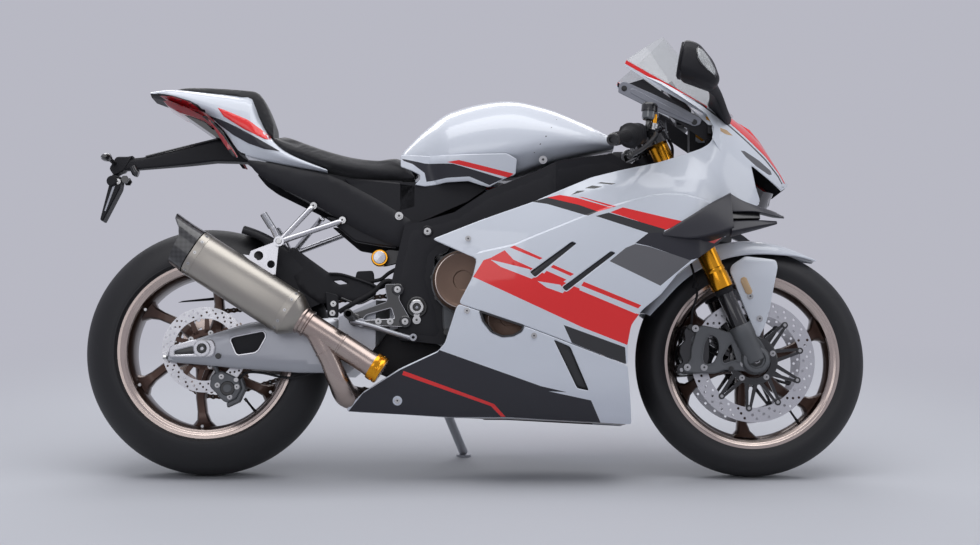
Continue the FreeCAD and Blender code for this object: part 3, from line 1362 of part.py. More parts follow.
def make_cowl_stay():
    """The bracket from the head tube to the lamp, the instruments and the nose."""
    reach = side_prism([(front(1200), 800), (front(1300), 800), (front(1424), 770), (front(1430), 730),
                        (front(1300), 760), (front(1200), 740)], -22, 22)
    head = Part.makeCylinder(float(S.head_radius + S.fit), 400, stem_point(S.head_low - 100), FORK_DIR)
    lamp = lamp_side.common(lamp_plan)
    nose_inside = lofted(shrunk(NOSE, float(S.skin + S.fit)))
    arms = tube([V(front(1300), -124, 874), V(front(1300), -60, 782), V(front(1300), 60, 782),
                 V(front(1300), 124, 874)], 8, 30)
    post = Part.makeBox(16, 44, 150, V(front(1262), -22, 790))
    shape = reach.fuse(arms).fuse(post)
    for side, outline in ((-1, COWL_PLATE), (1, COWL_PLATE_SHORT)):
        shape = shape.fuse(side_prism(outline, side * 121, side * 124))
        lug = Part.makeBox(46, 60, 24, V(front(1294), 118 if side > 0 else -178, 882))
        shape = shape.fuse(lug.common(nose_inside))
    dash = Part.makeBox(22, 160, 92)
    dash.Placement = FreeCAD.Placement(V(front(1240), -80, 945), FreeCAD.Rotation(Y_AXIS, -32))
    dash_post = Part.makeBox(40, 30, 60, V(front(1228), -15, 930))
    shape = shape.fuse(dash).fuse(dash_post)
    room = lofted(closed(NOSE)).cut(nose_inside)
    return feature(solid_of(shape.cut(head).cut(lamp).cut(room)))


node(make_cowl_stay(), "cowl_stay")

def make_mirror(side):
    """A mirror: a blade-like stalk from the nose and a hooded head, its glass facing the rider."""
    stalk = loft([[V(front(x), y, z) for x, z in ring] for y, ring in (
        (104, [(1318, 1000), (1300, 968), (1352, 903), (1362, 930)]),
        (140, [(1316, 1004), (1298, 976), (1340, 918), (1350, 940)]),
        (205, [(1306, 1010), (1286, 988), (1312, 956), (1322, 974)]),
        (250, [(1290, 1012), (1262, 990), (1284, 968), (1298, 984)]))])
    head = loft([
        [V(front(1262), 246, 1070), V(front(1200), 246, 1072), V(front(1192), 246, 1000),
         V(front(1282), 246, 972), V(front(1298), 246, 990), V(front(1290), 246, 1030)],
        [V(front(1248), 330, 1076), V(front(1208), 330, 1082), V(front(1194), 330, 994),
         V(front(1286), 330, 964), V(front(1302), 330, 984), V(front(1286), 330, 1030)],
        [V(front(1230), 372, 1056), V(front(1206), 372, 1062), V(front(1196), 372, 1004),
         V(front(1250), 372, 984), V(front(1266), 372, 998), V(front(1256), 372, 1032)],
    ])
    shape = stalk.fuse(head).cut(lofted(closed(NOSE)))
    for glass in (screen.Shape, mirrored(screen.Shape)):
        shape = shape.cut(glass)
    return feature(on_side(solid_of(shape), side))


def make_winglet(side):
    """A dark blade that leans out and forward from the fairing's front edge."""
    blade = loft([
        [V(front(1180), 190, 636), V(front(1180), 238, 636), V(front(1180), 241, 552),
         V(front(1180), 190, 552)],
        [V(front(1262), 190, 672), V(front(1262), 232, 670), V(front(1262), 250, 588),
         V(front(1262), 190, 570)],
        [V(front(1330), 190, 698), V(front(1330), 228, 692), V(front(1330), 270, 610),
         V(front(1330), 238, 596)],
        [V(front(1400), 208, 676), V(front(1400), 240, 672), V(front(1400), 282, 624),
         V(front(1400), 262, 614)],
        [V(front(1463), 252, 652), V(front(1463), 262, 651), V(front(1463), 288, 640),
         V(front(1463), 280, 635)],
    ])
    nose_room = lofted(closed(NOSE))
    shape = blade.cut(skin_room()).cut(nose_room)
    return feature(on_side(solid_of(shape), side))


def skin_room():
    """Everything inside the skin's outer face, with a hair of clearance."""
    return skin_solid(-float(S.fit), 5)


for name, side in SIDES.items():
    node(make_mirror(side), "mirror_" + name)
for name, side in SIDES.items():
    node(make_winglet(side), "winglet_" + name)

# ---------------------------------------------------------------- side stand
LEAN = math.radians(S.lean_angle)
WORLD_UP = V(0, -math.sin(LEAN), math.cos(LEAN))
LIFT = float(S.rear_crown) * (1 - math.cos(LEAN))
STAND_PIVOT = V(604, 150, 205)
STAND_FOOT_X, STAND_FOOT_Y = 664, 268
# the height in the bike's frame at which the foot meets the leaning bike's ground
FOOT_Z = (STAND_FOOT_Y * math.sin(LEAN) - LIFT) / math.cos(LEAN)
STAND_FOOT = V(STAND_FOOT_X, STAND_FOOT_Y, FOOT_Z)
STAND_OUT = (STAND_FOOT - STAND_PIVOT).normalize()
STAND_FOLDED = V(-0.96, 0.20, 0.19).normalize()
STAND_AXIS = STAND_OUT.cross(STAND_FOLDED).normalize()


def make_stand():
    """The stand's leg: an eye on the pivot bolt, a bar and a flat foot on the ground."""
    eye = Part.makeCylinder(17, 16, STAND_PIVOT - STAND_AXIS * 8, STAND_AXIS)
    foot_top = STAND_FOOT + WORLD_UP * float(S.stand_foot_height)
    neck = Part.makeCylinder(7.5, 30, STAND_PIVOT + STAND_OUT * 6, STAND_OUT)
    bar_start = STAND_PIVOT + STAND_OUT * 27
    bar_end = foot_top + WORLD_UP * 4
    bar = Part.makeCylinder(float(S.stand_radius), (bar_end - bar_start).Length, bar_start,
                            bar_end - bar_start)
    foot = Part.makeCylinder(float(S.stand_foot_radius), float(S.stand_foot_height), STAND_FOOT, WORLD_UP)
    below = Part.makeCylinder(80, 60, STAND_FOOT - WORLD_UP * 60, WORLD_UP)
    bolt = Part.makeCylinder(float(S.stand_bolt + S.fit), 80, STAND_PIVOT - STAND_AXIS * 40, STAND_AXIS)
    return feature(solid_of(eye.fuse(neck).fuse(bar).fuse(foot).cut(below).cut(bolt)))


def make_stand_bracket():
    """The clevis plate bolted below the engine's left edge, with the pivot bolt."""
    bolt = Part.makeCylinder(float(S.stand_bolt), 40, STAND_PIVOT - STAND_AXIS * 20, STAND_AXIS)
    ears = [Part.makeCylinder(18, 6, STAND_PIVOT + STAND_AXIS * start, STAND_AXIS) for start in (8.6, -14.6)]
    mount = side_prism([(660, 300), (720, 300), (712, 255), (668, 262)],
                       S.engine_half_width + S.fit, S.engine_half_width + 14)
    shape = bolt
    for ear in ears:
        shape = shape.fuse(ear)
        centre = ear.CenterOfMass
        shape = shape.fuse(Part.makeCylinder(8, (V(684, 148, 276) - centre).Length, centre,
                                             V(684, 148, 276) - centre))
    shape = shape.fuse(mount)
    case = side_prism(CRANKCASE, -S.engine_half_width - S.fit, S.engine_half_width + S.fit)
    room = Part.makeCylinder(20, 16.6, STAND_PIVOT - STAND_AXIS * 8.3, STAND_AXIS)
    room = room.cut(Part.makeCylinder(float(S.stand_bolt), 40, STAND_PIVOT - STAND_AXIS * 20, STAND_AXIS))
    return feature(solid_of(shape.cut(case).cut(room)))


node(make_stand(), "side_stand_leg")
node(make_stand_bracket(), "side_stand_bracket")


# ---------------------------------------------------------------- lean onto the stand and export
def leaning():
    """The turn from upright to parked, with the rear tyre's crown still on the ground."""
    return FreeCAD.Placement(V(0, 0, LIFT), FreeCAD.Rotation(X_AXIS, -float(S.lean_angle)))


def place_all(placement):
    for piece in NODES:
        piece.Placement = placement.multiply(piece.Placement)


def overall_box():
    box_all = FreeCAD.BoundBox()
    for piece in NODES:
        box_all.add(piece.Shape.optimalBoundingBox(False, False))
    return box_all


def check():
    """Stop before anything is written if a piece failed."""
    for obj in doc.Objects:
        if "Invalid" in obj.State or "Error" in obj.State:
            raise RuntimeError("%s failed: %s" % (obj.Label, obj.State))
    for piece in NODES:
        if piece.Shape.isNull() or not piece.Shape.isValid() or piece.Shape.Volume <= 0:
            raise RuntimeError("%s has no valid shape" % piece.Label)


doc.recompute()
place_all(leaning())
bounds = overall_box()
ORIGIN = V(bounds.Center.x, bounds.Center.y, 0)
place_all(FreeCAD.Placement(-ORIGIN, FreeCAD.Rotation()))
check()
os.makedirs("parts", exist_ok=True)
for piece in NODES:
    piece.Shape.exportStep("parts/%s.step" % piece.Label)
print("pieces", len(NODES), "origin in the upright frame", ORIGIN, "box", bounds)
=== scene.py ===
"""Sport bike on its side stand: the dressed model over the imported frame."""
import json
import math
import bpy
import bmesh
from mathutils import Vector, Matrix
from mathutils.bvhtree import BVHTree
from mathutils.geometry import delaunay_2d_cdt


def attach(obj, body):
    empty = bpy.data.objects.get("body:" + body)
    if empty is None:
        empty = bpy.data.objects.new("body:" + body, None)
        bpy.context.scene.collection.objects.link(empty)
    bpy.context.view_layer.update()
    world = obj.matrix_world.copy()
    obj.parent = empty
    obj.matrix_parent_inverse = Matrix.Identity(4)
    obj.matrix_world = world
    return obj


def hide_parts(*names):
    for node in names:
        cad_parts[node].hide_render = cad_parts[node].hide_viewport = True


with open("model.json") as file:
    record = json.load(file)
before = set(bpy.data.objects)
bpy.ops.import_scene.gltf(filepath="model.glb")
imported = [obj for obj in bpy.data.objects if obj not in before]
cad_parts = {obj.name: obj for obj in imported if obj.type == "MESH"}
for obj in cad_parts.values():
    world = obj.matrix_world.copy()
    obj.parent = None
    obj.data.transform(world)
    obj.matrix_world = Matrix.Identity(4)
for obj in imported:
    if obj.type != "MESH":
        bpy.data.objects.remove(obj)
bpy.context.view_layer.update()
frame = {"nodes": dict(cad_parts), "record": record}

# ------------------------------------------------------------ the bike's own frame, in millimetres
JOINT = {j["name"]: j for j in frame["record"]["behaviour"]["joints"]}
REAR = Vector(JOINT["rear_wheel_roll"]["pos_m"])
FRONT = Vector(JOINT["front_wheel_roll"]["pos_m"])
LEFT = Vector(JOINT["rear_wheel_roll"]["axis"]).normalized()
AHEAD = Vector((1, 0, 0))
UP = AHEAD.cross(LEFT)
MM = 1000  # millimetres in a metre
RZ = 322.0  # height of the rear axle, which is the rear tyre's radius
FX = (FRONT - REAR).dot(AHEAD) * MM  # the front axle's place, ahead of the rear one
FZ = RZ + (FRONT - REAR).dot(UP) * MM
RAKE = math.radians(24)
STEER = Vector((-math.sin(RAKE), 0, math.cos(RAKE)))
FORWARD = Vector((math.cos(RAKE), 0, math.sin(RAKE)))
FORK = Vector((FX, 0, FZ))
Y = Vector((0, 1, 0))
BOTH = (-1, 1)
SIDES = ((-1, "right"), (1, "left"))
WELD = 1e-5  # points closer than this, in metres, are one


def place(p):
    """A point of the bike's frame in the scene, in metres."""
    return REAR + (AHEAD * p[0] + LEFT * p[1] + UP * (p[2] - RZ)) / MM


def fork(along, ahead=0.0, side=0.0):
    """A point on the fork: up along its leg from the axle, ahead of it and to the left."""
    return FORK + STEER * along + FORWARD * ahead + Y * side


RIGHT_LEG = fork(0, 0, -105)


# ------------------------------------------------------------ finishes
def shade(tree, kind, given=None, **values):
    """A node with its settings. A given socket is linked to its input, anything else is the input's value."""
    made = tree.nodes.new(kind)
    for key, value in values.items():
        setattr(made, key, value)
    for label, value in (given or {}).items():
        if isinstance(value, bpy.types.NodeSocket):
            tree.links.new(value, made.inputs[label])
        else:
            made.inputs[label].default_value = value
    return made


def math_node(tree, operation, a, b=None, clamp=False):
    """One sum on sockets or plain numbers."""
    given = {index: value for index, value in enumerate((a, b)) if value is not None}
    return shade(tree, "ShaderNodeMath", given, operation=operation, use_clamp=clamp).outputs[0]


def new_tree(name, inputs, outputs, kind="ShaderNodeTree"):
    """A node group, what it is given and what it hands out."""
    tree = bpy.data.node_groups.new(name, kind)
    for label, socket_type, value in inputs:
        socket = tree.interface.new_socket(label, in_out="INPUT", socket_type="NodeSocket" + socket_type)
        if value is not None:
            socket.default_value = value
    for label, socket_type in outputs:
        tree.interface.new_socket(label, in_out="OUTPUT", socket_type="NodeSocket" + socket_type)
    return tree, shade(tree, "NodeGroupInput").outputs, shade(tree, "NodeGroupOutput").inputs


def grain_group():
    """Two sizes of speckle: a colour, a roughness and a height that change over the surface."""
    tree, given, out = new_tree("surface grain", [("Colour", "Color", (0.5, 0.5, 0.5, 1)),
                                                  ("Second", "Color", (0.4, 0.4, 0.4, 1)),
                                                  ("Scale", "Float", 400.0), ("Broad", "Float", 6.0),
                                                  ("Rough", "Float", 0.4), ("Spread", "Float", 0.1)],
                                [("Colour", "Color"), ("Rough", "Float"), ("Height", "Float")])
    where = shade(tree, "ShaderNodeTexCoord").outputs["Object"]
    fine, broad = [shade(tree, "ShaderNodeTexNoise", {"Vector": where, "Scale": given[name],
                                                      "Detail": detail}) .outputs["Fac"]
                   for name, detail in (("Scale", 2), ("Broad", 3))]
    mix = shade(tree, "ShaderNodeMix", {0: broad, 6: given["Colour"], 7: given["Second"]}, data_type="RGBA")
    rough = math_node(tree, "MULTIPLY", math_node(tree, "SUBTRACT", broad, 0.5), given["Spread"])
    rough = math_node(tree, "ADD", rough, given["Rough"], True)
    for label, value in (("Colour", mix.outputs[2]), ("Rough", rough), ("Height", fine)):
        tree.links.new(value, out[label])
    return tree


def tread_group():
    """Slanted cuts across a road tyre's shoulder and fine rings on its wall, from the tyre's own map."""
    tree, given, out = new_tree("tyre cuts", [("Count", "Float", 18.0), ("Slant", "Float", 2.4)],
                                [("Cut", "Float"), ("Rings", "Float")])
    uv = shade(tree, "ShaderNodeUVMap", uv_map="round")
    round_at, over_at, _ = shade(tree, "ShaderNodeSeparateXYZ", {0: uv.outputs[0]}).outputs

    def calc(operation, a, b=None):
        return math_node(tree, operation, a, b)

    across = calc("ABSOLUTE", calc("SUBTRACT", over_at, 0.5))
    slant = calc("MULTIPLY", calc("POWER", across, 1.4), given["Slant"])
    turn = calc("ADD", calc("MULTIPLY", round_at, given["Count"]), slant)
    line = calc("ABSOLUTE", calc("SUBTRACT", calc("FRACT", turn), 0.5))
    shoulder = calc("MULTIPLY", calc("GREATER_THAN", across, 0.06), calc("LESS_THAN", across, 0.29))
    tree.links.new(calc("MULTIPLY", calc("LESS_THAN", line, 0.022), shoulder), out["Cut"])
    rings = calc("SINE", calc("MULTIPLY", across, 420.0))
    tree.links.new(calc("MULTIPLY", rings, calc("GREATER_THAN", across, 0.40)), out["Rings"])
    return tree


def weave_group():
    """A twill of woven tows."""
    tree, given, out = new_tree("twill weave", [("Scale", "Float", 260.0)], [("Shade", "Float")])
    where = shade(tree, "ShaderNodeTexCoord").outputs["Object"]
    ahead, _, up = shade(tree, "ShaderNodeSeparateXYZ", {0: where}).outputs
    waves = [math_node(tree, "SINE", math_node(tree, "MULTIPLY", math_node(tree, way, ahead, up),
                                               given["Scale"])) for way in ("ADD", "SUBTRACT")]
    half = math_node(tree, "MULTIPLY", math_node(tree, "MULTIPLY", *waves), 0.5)
    tree.links.new(math_node(tree, "ADD", half, 0.5), out["Shade"])
    return tree


GRAIN, TREAD, WEAVE = grain_group(), tread_group(), weave_group()


def relief(made, height, strength, depth):
    """Lets a height bend the light on a finish."""
    tree = made.node_tree
    bump = shade(tree, "ShaderNodeBump", {"Strength": strength, "Distance": depth, "Height": height})
    tree.links.new(bump.outputs[0], tree.nodes["Principled BSDF"].inputs["Normal"])


def finish(name, colour, second=None, rough=0.4, spread=0.1, metal=0.0, coat=0.0, coat_rough=0.05,
           bump=0.0, scale=400.0, broad=6.0, glass=0.0, alpha=1.0, ior=1.5, sheen=0.0):
    """A paint, plastic or metal with grain in its colour, roughness and height."""
    made = bpy.data.materials.new(name)
    made.use_nodes = True
    tree = made.node_tree
    shader = tree.nodes["Principled BSDF"].inputs
    second = second or [c * 0.86 for c in colour]
    grain = shade(tree, "ShaderNodeGroup", {
        "Colour": (*colour, 1), "Second": (*second, 1), "Scale": scale, "Broad": broad, "Rough": rough,
        "Spread": spread}, node_tree=GRAIN).outputs
    tree.links.new(grain["Colour"], shader["Base Color"])
    tree.links.new(grain["Rough"], shader["Roughness"])
    for label, value in (("Metallic", metal), ("Coat Weight", coat), ("Coat Roughness", coat_rough),
                         ("Alpha", alpha), ("Transmission Weight", glass), ("IOR", ior),
                         ("Sheen Weight", sheen)):
        shader[label].default_value = value
    if bump:
        relief(made, grain["Height"], bump, 0.0006)
    return made


WHITE = finish("white paint", (0.68, 0.715, 0.80), (0.65, 0.685, 0.77), rough=0.32, coat=0.9,
               coat_rough=0.04, broad=1.5)
RED = finish("red paint", (0.86, 0.002, 0.002), (0.78, 0.001, 0.002), rough=0.35, coat=0.8, broad=2)
DARK = finish("anthracite paint", (0.024, 0.024, 0.032), (0.020, 0.020, 0.028), rough=0.42,
              coat=0.35, coat_rough=0.2)
# black stripes, seams and parts, and also painted shade: floors behind openings, screw sockets and the
# winglet's slot
BLACK_AND_SHADE = finish("black stripe paint and painted shade", (0.012, 0.012, 0.014), (0.016, 0.016, 0.018), rough=0.4, coat=0.5)
SLATE = finish("slate grey paint", (0.105, 0.105, 0.118), (0.12, 0.12, 0.13), rough=0.4, coat=0.5)
FRAME = finish("matt black frame", (0.009, 0.009, 0.012), (0.013, 0.013, 0.017), rough=0.46, spread=0.2,
               bump=0.12, scale=900)
PLASTIC = finish("moulded black plastic", (0.009, 0.009, 0.012), (0.013, 0.013, 0.016), rough=0.52,
                 spread=0.2, bump=0.3, scale=1400)
GLOSS = finish("gloss black", (0.010, 0.010, 0.012), (0.014, 0.014, 0.016), rough=0.22, coat=0.6)
BRONZE = finish("bronze wheel paint", (0.085, 0.045, 0.032), (0.060, 0.034, 0.026), rough=0.34, metal=0.75,
                coat=0.3, bump=0.05)
LIP = finish("machined rim lip", (0.62, 0.52, 0.47), (0.50, 0.42, 0.38), rough=0.24, metal=1.0, broad=20)
DISC = finish("ground disc steel", (0.66, 0.66, 0.68), (0.54, 0.54, 0.56), rough=0.30, spread=0.25, metal=1.0,
              bump=0.15, scale=1600, broad=25)
ALLOY = finish("satin silver alloy", (0.42, 0.43, 0.46), (0.36, 0.37, 0.40), rough=0.38, spread=0.12,
               metal=0.75, bump=0.12, scale=1200)
CAST = finish("grey casting", (0.14, 0.145, 0.155), (0.11, 0.115, 0.12), rough=0.5, metal=0.6, bump=0.4,
              scale=900, broad=12)
STEEL = finish("bright steel", (0.55, 0.55, 0.55), (0.42, 0.42, 0.42), rough=0.28, metal=1.0, broad=14)
BLACKSTEEL = finish("blackened steel", (0.05, 0.05, 0.05), (0.08, 0.08, 0.08), rough=0.35,
                    metal=0.9, broad=18)
TITAN = finish("champagne titanium", (0.40, 0.375, 0.33), (0.36, 0.34, 0.31), rough=0.36, spread=0.15,
               metal=1.0, bump=0.08, scale=1500, broad=3)
PIPE = finish("heated stainless pipe", (0.50, 0.44, 0.40), (0.36, 0.27, 0.24), rough=0.26, spread=0.2,
              metal=1.0, broad=9)
GOLD = finish("gold anodised", (0.86, 0.40, 0.03), (0.72, 0.31, 0.02), rough=0.22, metal=1.0, broad=5)
COVER = finish("bronze cover paint", (0.20, 0.13, 0.095), (0.16, 0.105, 0.08), rough=0.4, metal=0.6,
               bump=0.25, scale=1100)
RUBBER = finish("soft rubber", (0.010, 0.010, 0.012), (0.015, 0.015, 0.017), rough=0.68, spread=0.2,
                bump=0.4, scale=900)
VINYL = finish("pad vinyl", (0.010, 0.010, 0.012), (0.014, 0.014, 0.017), rough=0.55, spread=0.15, bump=0.55,
               scale=1100, sheen=0.2)
LENS = finish("clear lens", (0.80, 0.82, 0.84), (0.7, 0.72, 0.74), rough=0.12, glass=0.55, ior=1.45, coat=0.5)
SMOKE = finish("smoked lens", (0.10, 0.11, 0.12), (0.14, 0.15, 0.16), rough=0.15, coat=0.9, metal=0.2)
REDLENS = finish("red lens", (0.34, 0.012, 0.018), (0.42, 0.02, 0.03), rough=0.14, coat=1.0)
AMBER = finish("amber marker", (0.62, 0.26, 0.02), (0.70, 0.34, 0.04), rough=0.2, coat=0.8)
BEIGE = finish("beige reflector", (0.58, 0.40, 0.22), (0.52, 0.34, 0.18), rough=0.25, coat=0.8)
SCREEN = finish("smoky screen", (0.62, 0.64, 0.66), (0.58, 0.60, 0.62), rough=0.03, spread=0.01,
                alpha=0.30, coat=0.6)
MIRROR = finish("mirror glass", (0.75, 0.77, 0.79), (0.7, 0.72, 0.74), rough=0.03, spread=0.01, metal=1.0)
PANELGREY = finish("grey bracket metal", (0.30, 0.31, 0.34), (0.25, 0.26, 0.29), rough=0.34, metal=0.85,
                   bump=0.1, scale=1200)
SILVER = finish("polished bracket", (0.66, 0.66, 0.68), (0.50, 0.50, 0.53), rough=0.26, metal=0.9, broad=12)

for dull in (FRAME, PLASTIC, RUBBER, VINYL, DARK):
    dull.node_tree.nodes["Principled BSDF"].inputs["Specular IOR Level"].default_value = 0.28


def tyre_finish():
    """Rubber with a road tyre's cuts and rings."""
    made = finish("road tyre rubber", (0.008, 0.008, 0.010), (0.012, 0.012, 0.014), rough=0.58,
                  spread=0.15, scale=900)
    tree = made.node_tree
    cuts = shade(tree, "ShaderNodeGroup", node_tree=TREAD).outputs
    depth = math_node(tree, "SUBTRACT", math_node(tree, "MULTIPLY", cuts["Rings"], 0.06), cuts["Cut"])
    relief(made, depth, 0.9, 0.003)
    return made


def weave_finish():
    """Woven carbon under a clear coat."""
    made = finish("carbon weave", (0.012, 0.012, 0.013), rough=0.3, coat=0.7)
    tree = made.node_tree
    weave = shade(tree, "ShaderNodeGroup", node_tree=WEAVE).outputs[0]
    mix = shade(tree, "ShaderNodeMix", {0: weave, 6: (0.010, 0.010, 0.011, 1), 7: (0.045, 0.045, 0.048, 1)},
                data_type="RGBA")
    tree.links.new(mix.outputs[2], tree.nodes["Principled BSDF"].inputs["Base Color"])
    return made


TYRE, CARBON = tyre_finish(), weave_finish()


# ------------------------------------------------------------ building shapes
def weld(mesh, turn=True):
    """Joins points that coincide, and turns the faces outwards."""
    bm = bmesh.new()
    bm.from_mesh(mesh)
    bmesh.ops.remove_doubles(bm, verts=bm.verts, dist=WELD)
    if turn:
        bmesh.ops.recalc_face_normals(bm, faces=bm.faces)
    bm.to_mesh(mesh)
    bm.free()


def baked(made):
    """The plain mesh of an object, its modifiers applied."""
    graph = bpy.context.evaluated_depsgraph_get()
    return bpy.data.meshes.new_from_object(made.evaluated_get(graph))


def dress(name, mesh, body, nodes, angle):
    """The mesh as a piece that rides on its body, smooth but for its sharp edges."""
    mesh.shade_smooth()
    mesh.set_sharp_from_angle(angle=math.radians(angle))
    made = bpy.data.objects.new(name, mesh)
    bpy.context.collection.objects.link(made)
    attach(made, body)
    if nodes:
        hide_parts(*nodes)
    return made


def smooth_step(t):
    """Eases from 0 at 0 to 1 at 1."""
    t = max(0.0, min(1.0, t))
    return t * t * (3 - 2 * t)


class Shape:
    """Points, faces and finishes of one piece, gathered in the bike's frame."""

    def __init__(self):
        self.points, self.faces, self.finishes, self.used = [], [], [], []

    def add(self, made, finish_used):
        """Adds points and faces that share one finish."""
        points, faces = made
        if finish_used not in self.used:
            self.used.append(finish_used)
        start, index = len(self.points), self.used.index(finish_used)
        self.points += [tuple(p) for p in points]
        self.faces += [tuple(i + start for i in face) for face in faces]
        self.finishes += [index] * len(faces)
        return self

    def both(self):
        """The same again, mirrored across the bike."""
        start, count = len(self.points), len(self.faces)
        self.points += [(x, -y, z) for x, y, z in self.points]
        self.faces += [tuple(i + start for i in reversed(face)) for face in self.faces[:count]]
        self.finishes += self.finishes[:count]
        return self

    def mirrored(self):
        """Another shape, this one's mirror image across the bike."""
        other = Shape()
        other.used, other.finishes = list(self.used), list(self.finishes)
        other.points = [(x, -y, z) for x, y, z in self.points]
        other.faces = [tuple(reversed(face)) for face in self.faces]
        return other

    def piece(self, name, body, slot, *nodes, angle=32, bevel=0.0, turn=True, uv=None):
        """The gathered faces as one piece, with a map round it where uv is given."""
        mesh = bpy.data.meshes.new(name)
        mesh.from_pydata([place(p) for p in self.points], [], self.faces)
        for used in self.used:
            mesh.materials.append(used)
        mesh.polygons.foreach_set("material_index", self.finishes)
        if uv:
            layer = mesh.uv_layers.new(name="round")
            for face in mesh.polygons:
                turns = [uv[mesh.loops[i].vertex_index] for i in face.loop_indices]
                wraps = max(t[0] for t in turns) > 0.9 and min(t[0] for t in turns) < 0.1
                for i, (u, v) in zip(face.loop_indices, turns):
                    layer.data[i].uv = (u + 1 if wraps and u < 0.1 else u, v)
        weld(mesh, turn)
        made = dress(name, mesh, body, nodes, angle)
        if bevel:
            rounding = made.modifiers.new("edges", "BEVEL")
            rounding.width = bevel / MM
            rounding.segments = 2
            rounding.limit_method = "ANGLE"
            rounding.angle_limit = math.radians(38)
            rounding.harden_normals = True
        return made


def basis(axis):
    """The axis, made one long, and two directions square to it."""
    axis = Vector(axis).normalized()
    side = axis.cross(Vector((0, 0, 1)) if abs(axis.z) < 0.9 else Vector((1, 0, 0))).normalized()
    return axis, side, axis.cross(side)


def lathe(profile, centre, axis=Y, steps=48, closed=True):
    """A turned shape from (radius, distance along the axis) points."""
    axis, side, across = basis(axis)
    centre = Vector(centre)
    points, faces = [], []
    for k in range(steps):
        a = 2 * math.pi * k / steps
        ray = side * math.cos(a) + across * math.sin(a)
        points += [centre + ray * r + axis * along for r, along in profile]
    count = len(profile)
    for k in range(steps):
        n = (k + 1) % steps
        for j in range(count if closed else count - 1):
            m = (j + 1) % count
            faces.append((k * count + j, n * count + j, n * count + m, k * count + m))
    return points, faces


def disc_solid(centre, axis, radius, length, steps=24, edge=0.8):
    """A short bar with softened rims."""
    return lathe([(0.001, 0), (radius - edge, 0), (radius, edge), (radius, length - edge),
                  (radius - edge, length), (0.001, length)], centre, axis, steps)


def loft(rings, cap=True):
    """A skin through rings of points, closed at both ends."""
    count = len(rings[0])
    points = [p for ring in rings for p in ring]
    faces = []
    for start in range(0, (len(rings) - 1) * count, count):
        for j in range(count):
            k = (j + 1) % count
            faces.append((start + j, start + k, start + count + k, start + count + j))
    if cap:
        last = (len(rings) - 1) * count
        faces += [tuple(reversed(range(count))), tuple(range(last, last + count))]
    return points, faces


def smooth_path(points, steps=6):
    """A Catmull-Rom line through the points."""
    points = [Vector(p) for p in points]
    if len(points) < 3:
        return points
    ends = [points[0] * 2 - points[1]] + points + [points[-1] * 2 - points[-2]]
    line = []
    for a, b, c, d in zip(ends, ends[1:], ends[2:], ends[3:]):
        for k in range(steps):
            t = k / steps
            line.append((b * 2 + (c - a) * t + (a * 2 - b * 5 + c * 4 - d) * t * t
                         + (b * 3 - a - c * 3 + d) * t * t * t) / 2)
    return line + [points[-1]]


def tube(points, radius, sides=14, steps=6, flat=1.0):
    """A round bar along a smooth line; radius may be a list, one for each given point."""
    line = smooth_path(points, steps) if steps else [Vector(p) for p in points]
    sizes = radius if isinstance(radius, (list, tuple)) else [radius] * len(points)
    rings = []
    side = None
    for i, p in enumerate(line):
        ahead = (line[min(i + 1, len(line) - 1)] - line[max(i - 1, 0)]).normalized()
        if side is None:
            side = basis(ahead)[1]
        side = (side - ahead * side.dot(ahead)).normalized()
        across = ahead.cross(side)
        t = i / (len(line) - 1) * (len(sizes) - 1)
        low = min(int(t), len(sizes) - 2) if len(sizes) > 1 else 0
        r = sizes[low] + (sizes[min(low + 1, len(sizes) - 1)] - sizes[low]) * (t - low)
        rings.append([p + side * math.cos(2 * math.pi * k / sides) * r
                      + across * math.sin(2 * math.pi * k / sides) * r * flat for k in range(sides)])
    return loft(rings)


def inside(x, z, outline):
    """Whether a place in the side view lies within an outline."""
    hit = False
    for (x0, z0), (x1, z1) in zip(outline, outline[1:] + outline[:1]):
        if (z0 > z) != (z1 > z) and x < (x1 - x0) * (z - z0) / (z1 - z0) + x0:
            hit = not hit
    return hit


def edge_distance(x, z, outline):
    """How far a place in the side view is from an outline's edge."""
    best = 1e9
    for (x0, z0), (x1, z1) in zip(outline, outline[1:] + outline[:1]):
        dx, dz = x1 - x0, z1 - z0
        t = max(0, min(1, ((x - x0) * dx + (z - z0) * dz) / (dx * dx + dz * dz + 1e-9)))
        best = min(best, math.hypot(x - x0 - dx * t, z - z0 - dz * t))
    return best


def rounded(outline, radius, steps=4, share=0.45):
    """The outline with rounded corners, by one radius or one for each. A bend takes up a share of an edge."""
    count = len(outline)
    sizes = radius if isinstance(radius, list) else [radius] * count
    made = []
    for i in range(count):
        before, here, after = (Vector(outline[(i + k) % count]) for k in (-1, 0, 1))
        a, b = before - here, after - here
        reach = min(sizes[i], a.length * share, b.length * share)
        start, end = here + a.normalized() * reach, here + b.normalized() * reach
        for k in range(steps + 1):
            t = k / steps
            p = start * (1 - t) ** 2 + here * 2 * t * (1 - t) + end * t * t
            made.append((p.x, p.y))
    return made


def shrink(outline, amount):
    """The outline moved inwards."""
    area = sum(a[0] * b[1] - b[0] * a[1] for a, b in zip(outline, outline[1:] + outline[:1]))
    sign = 1 if area > 0 else -1
    made = []
    count = len(outline)
    for i in range(count):
        before, here, after = (Vector(outline[(i + k) % count]) for k in (-1, 0, 1))
        a, b = (here - before).normalized(), (after - here).normalized()
        n = Vector((-(a + b).y, (a + b).x))
        n = n.normalized() if n.length > 1e-6 else Vector((-a.y, a.x))
        stretch = max(0.5, abs(n.dot(Vector((-a.y, a.x)))))
        made.append(tuple(here + n * (amount * sign / stretch)))
    return made


def surface(height):
    """How far across the bike a surface lies, at each place of the side view: a function, or one number."""
    return height if callable(height) else lambda x, z: height


def flat_plate(outline, low, high, holes=(), chamfer=1.2):
    """A plate in the side view, between two distances across the bike, with chamfered faces."""
    return sheet(outline, high, abs(high - low), holes=holes, edge=chamfer, drop=chamfer, step=0,
                 sign=1 if high > low else -1, cham_back=True)


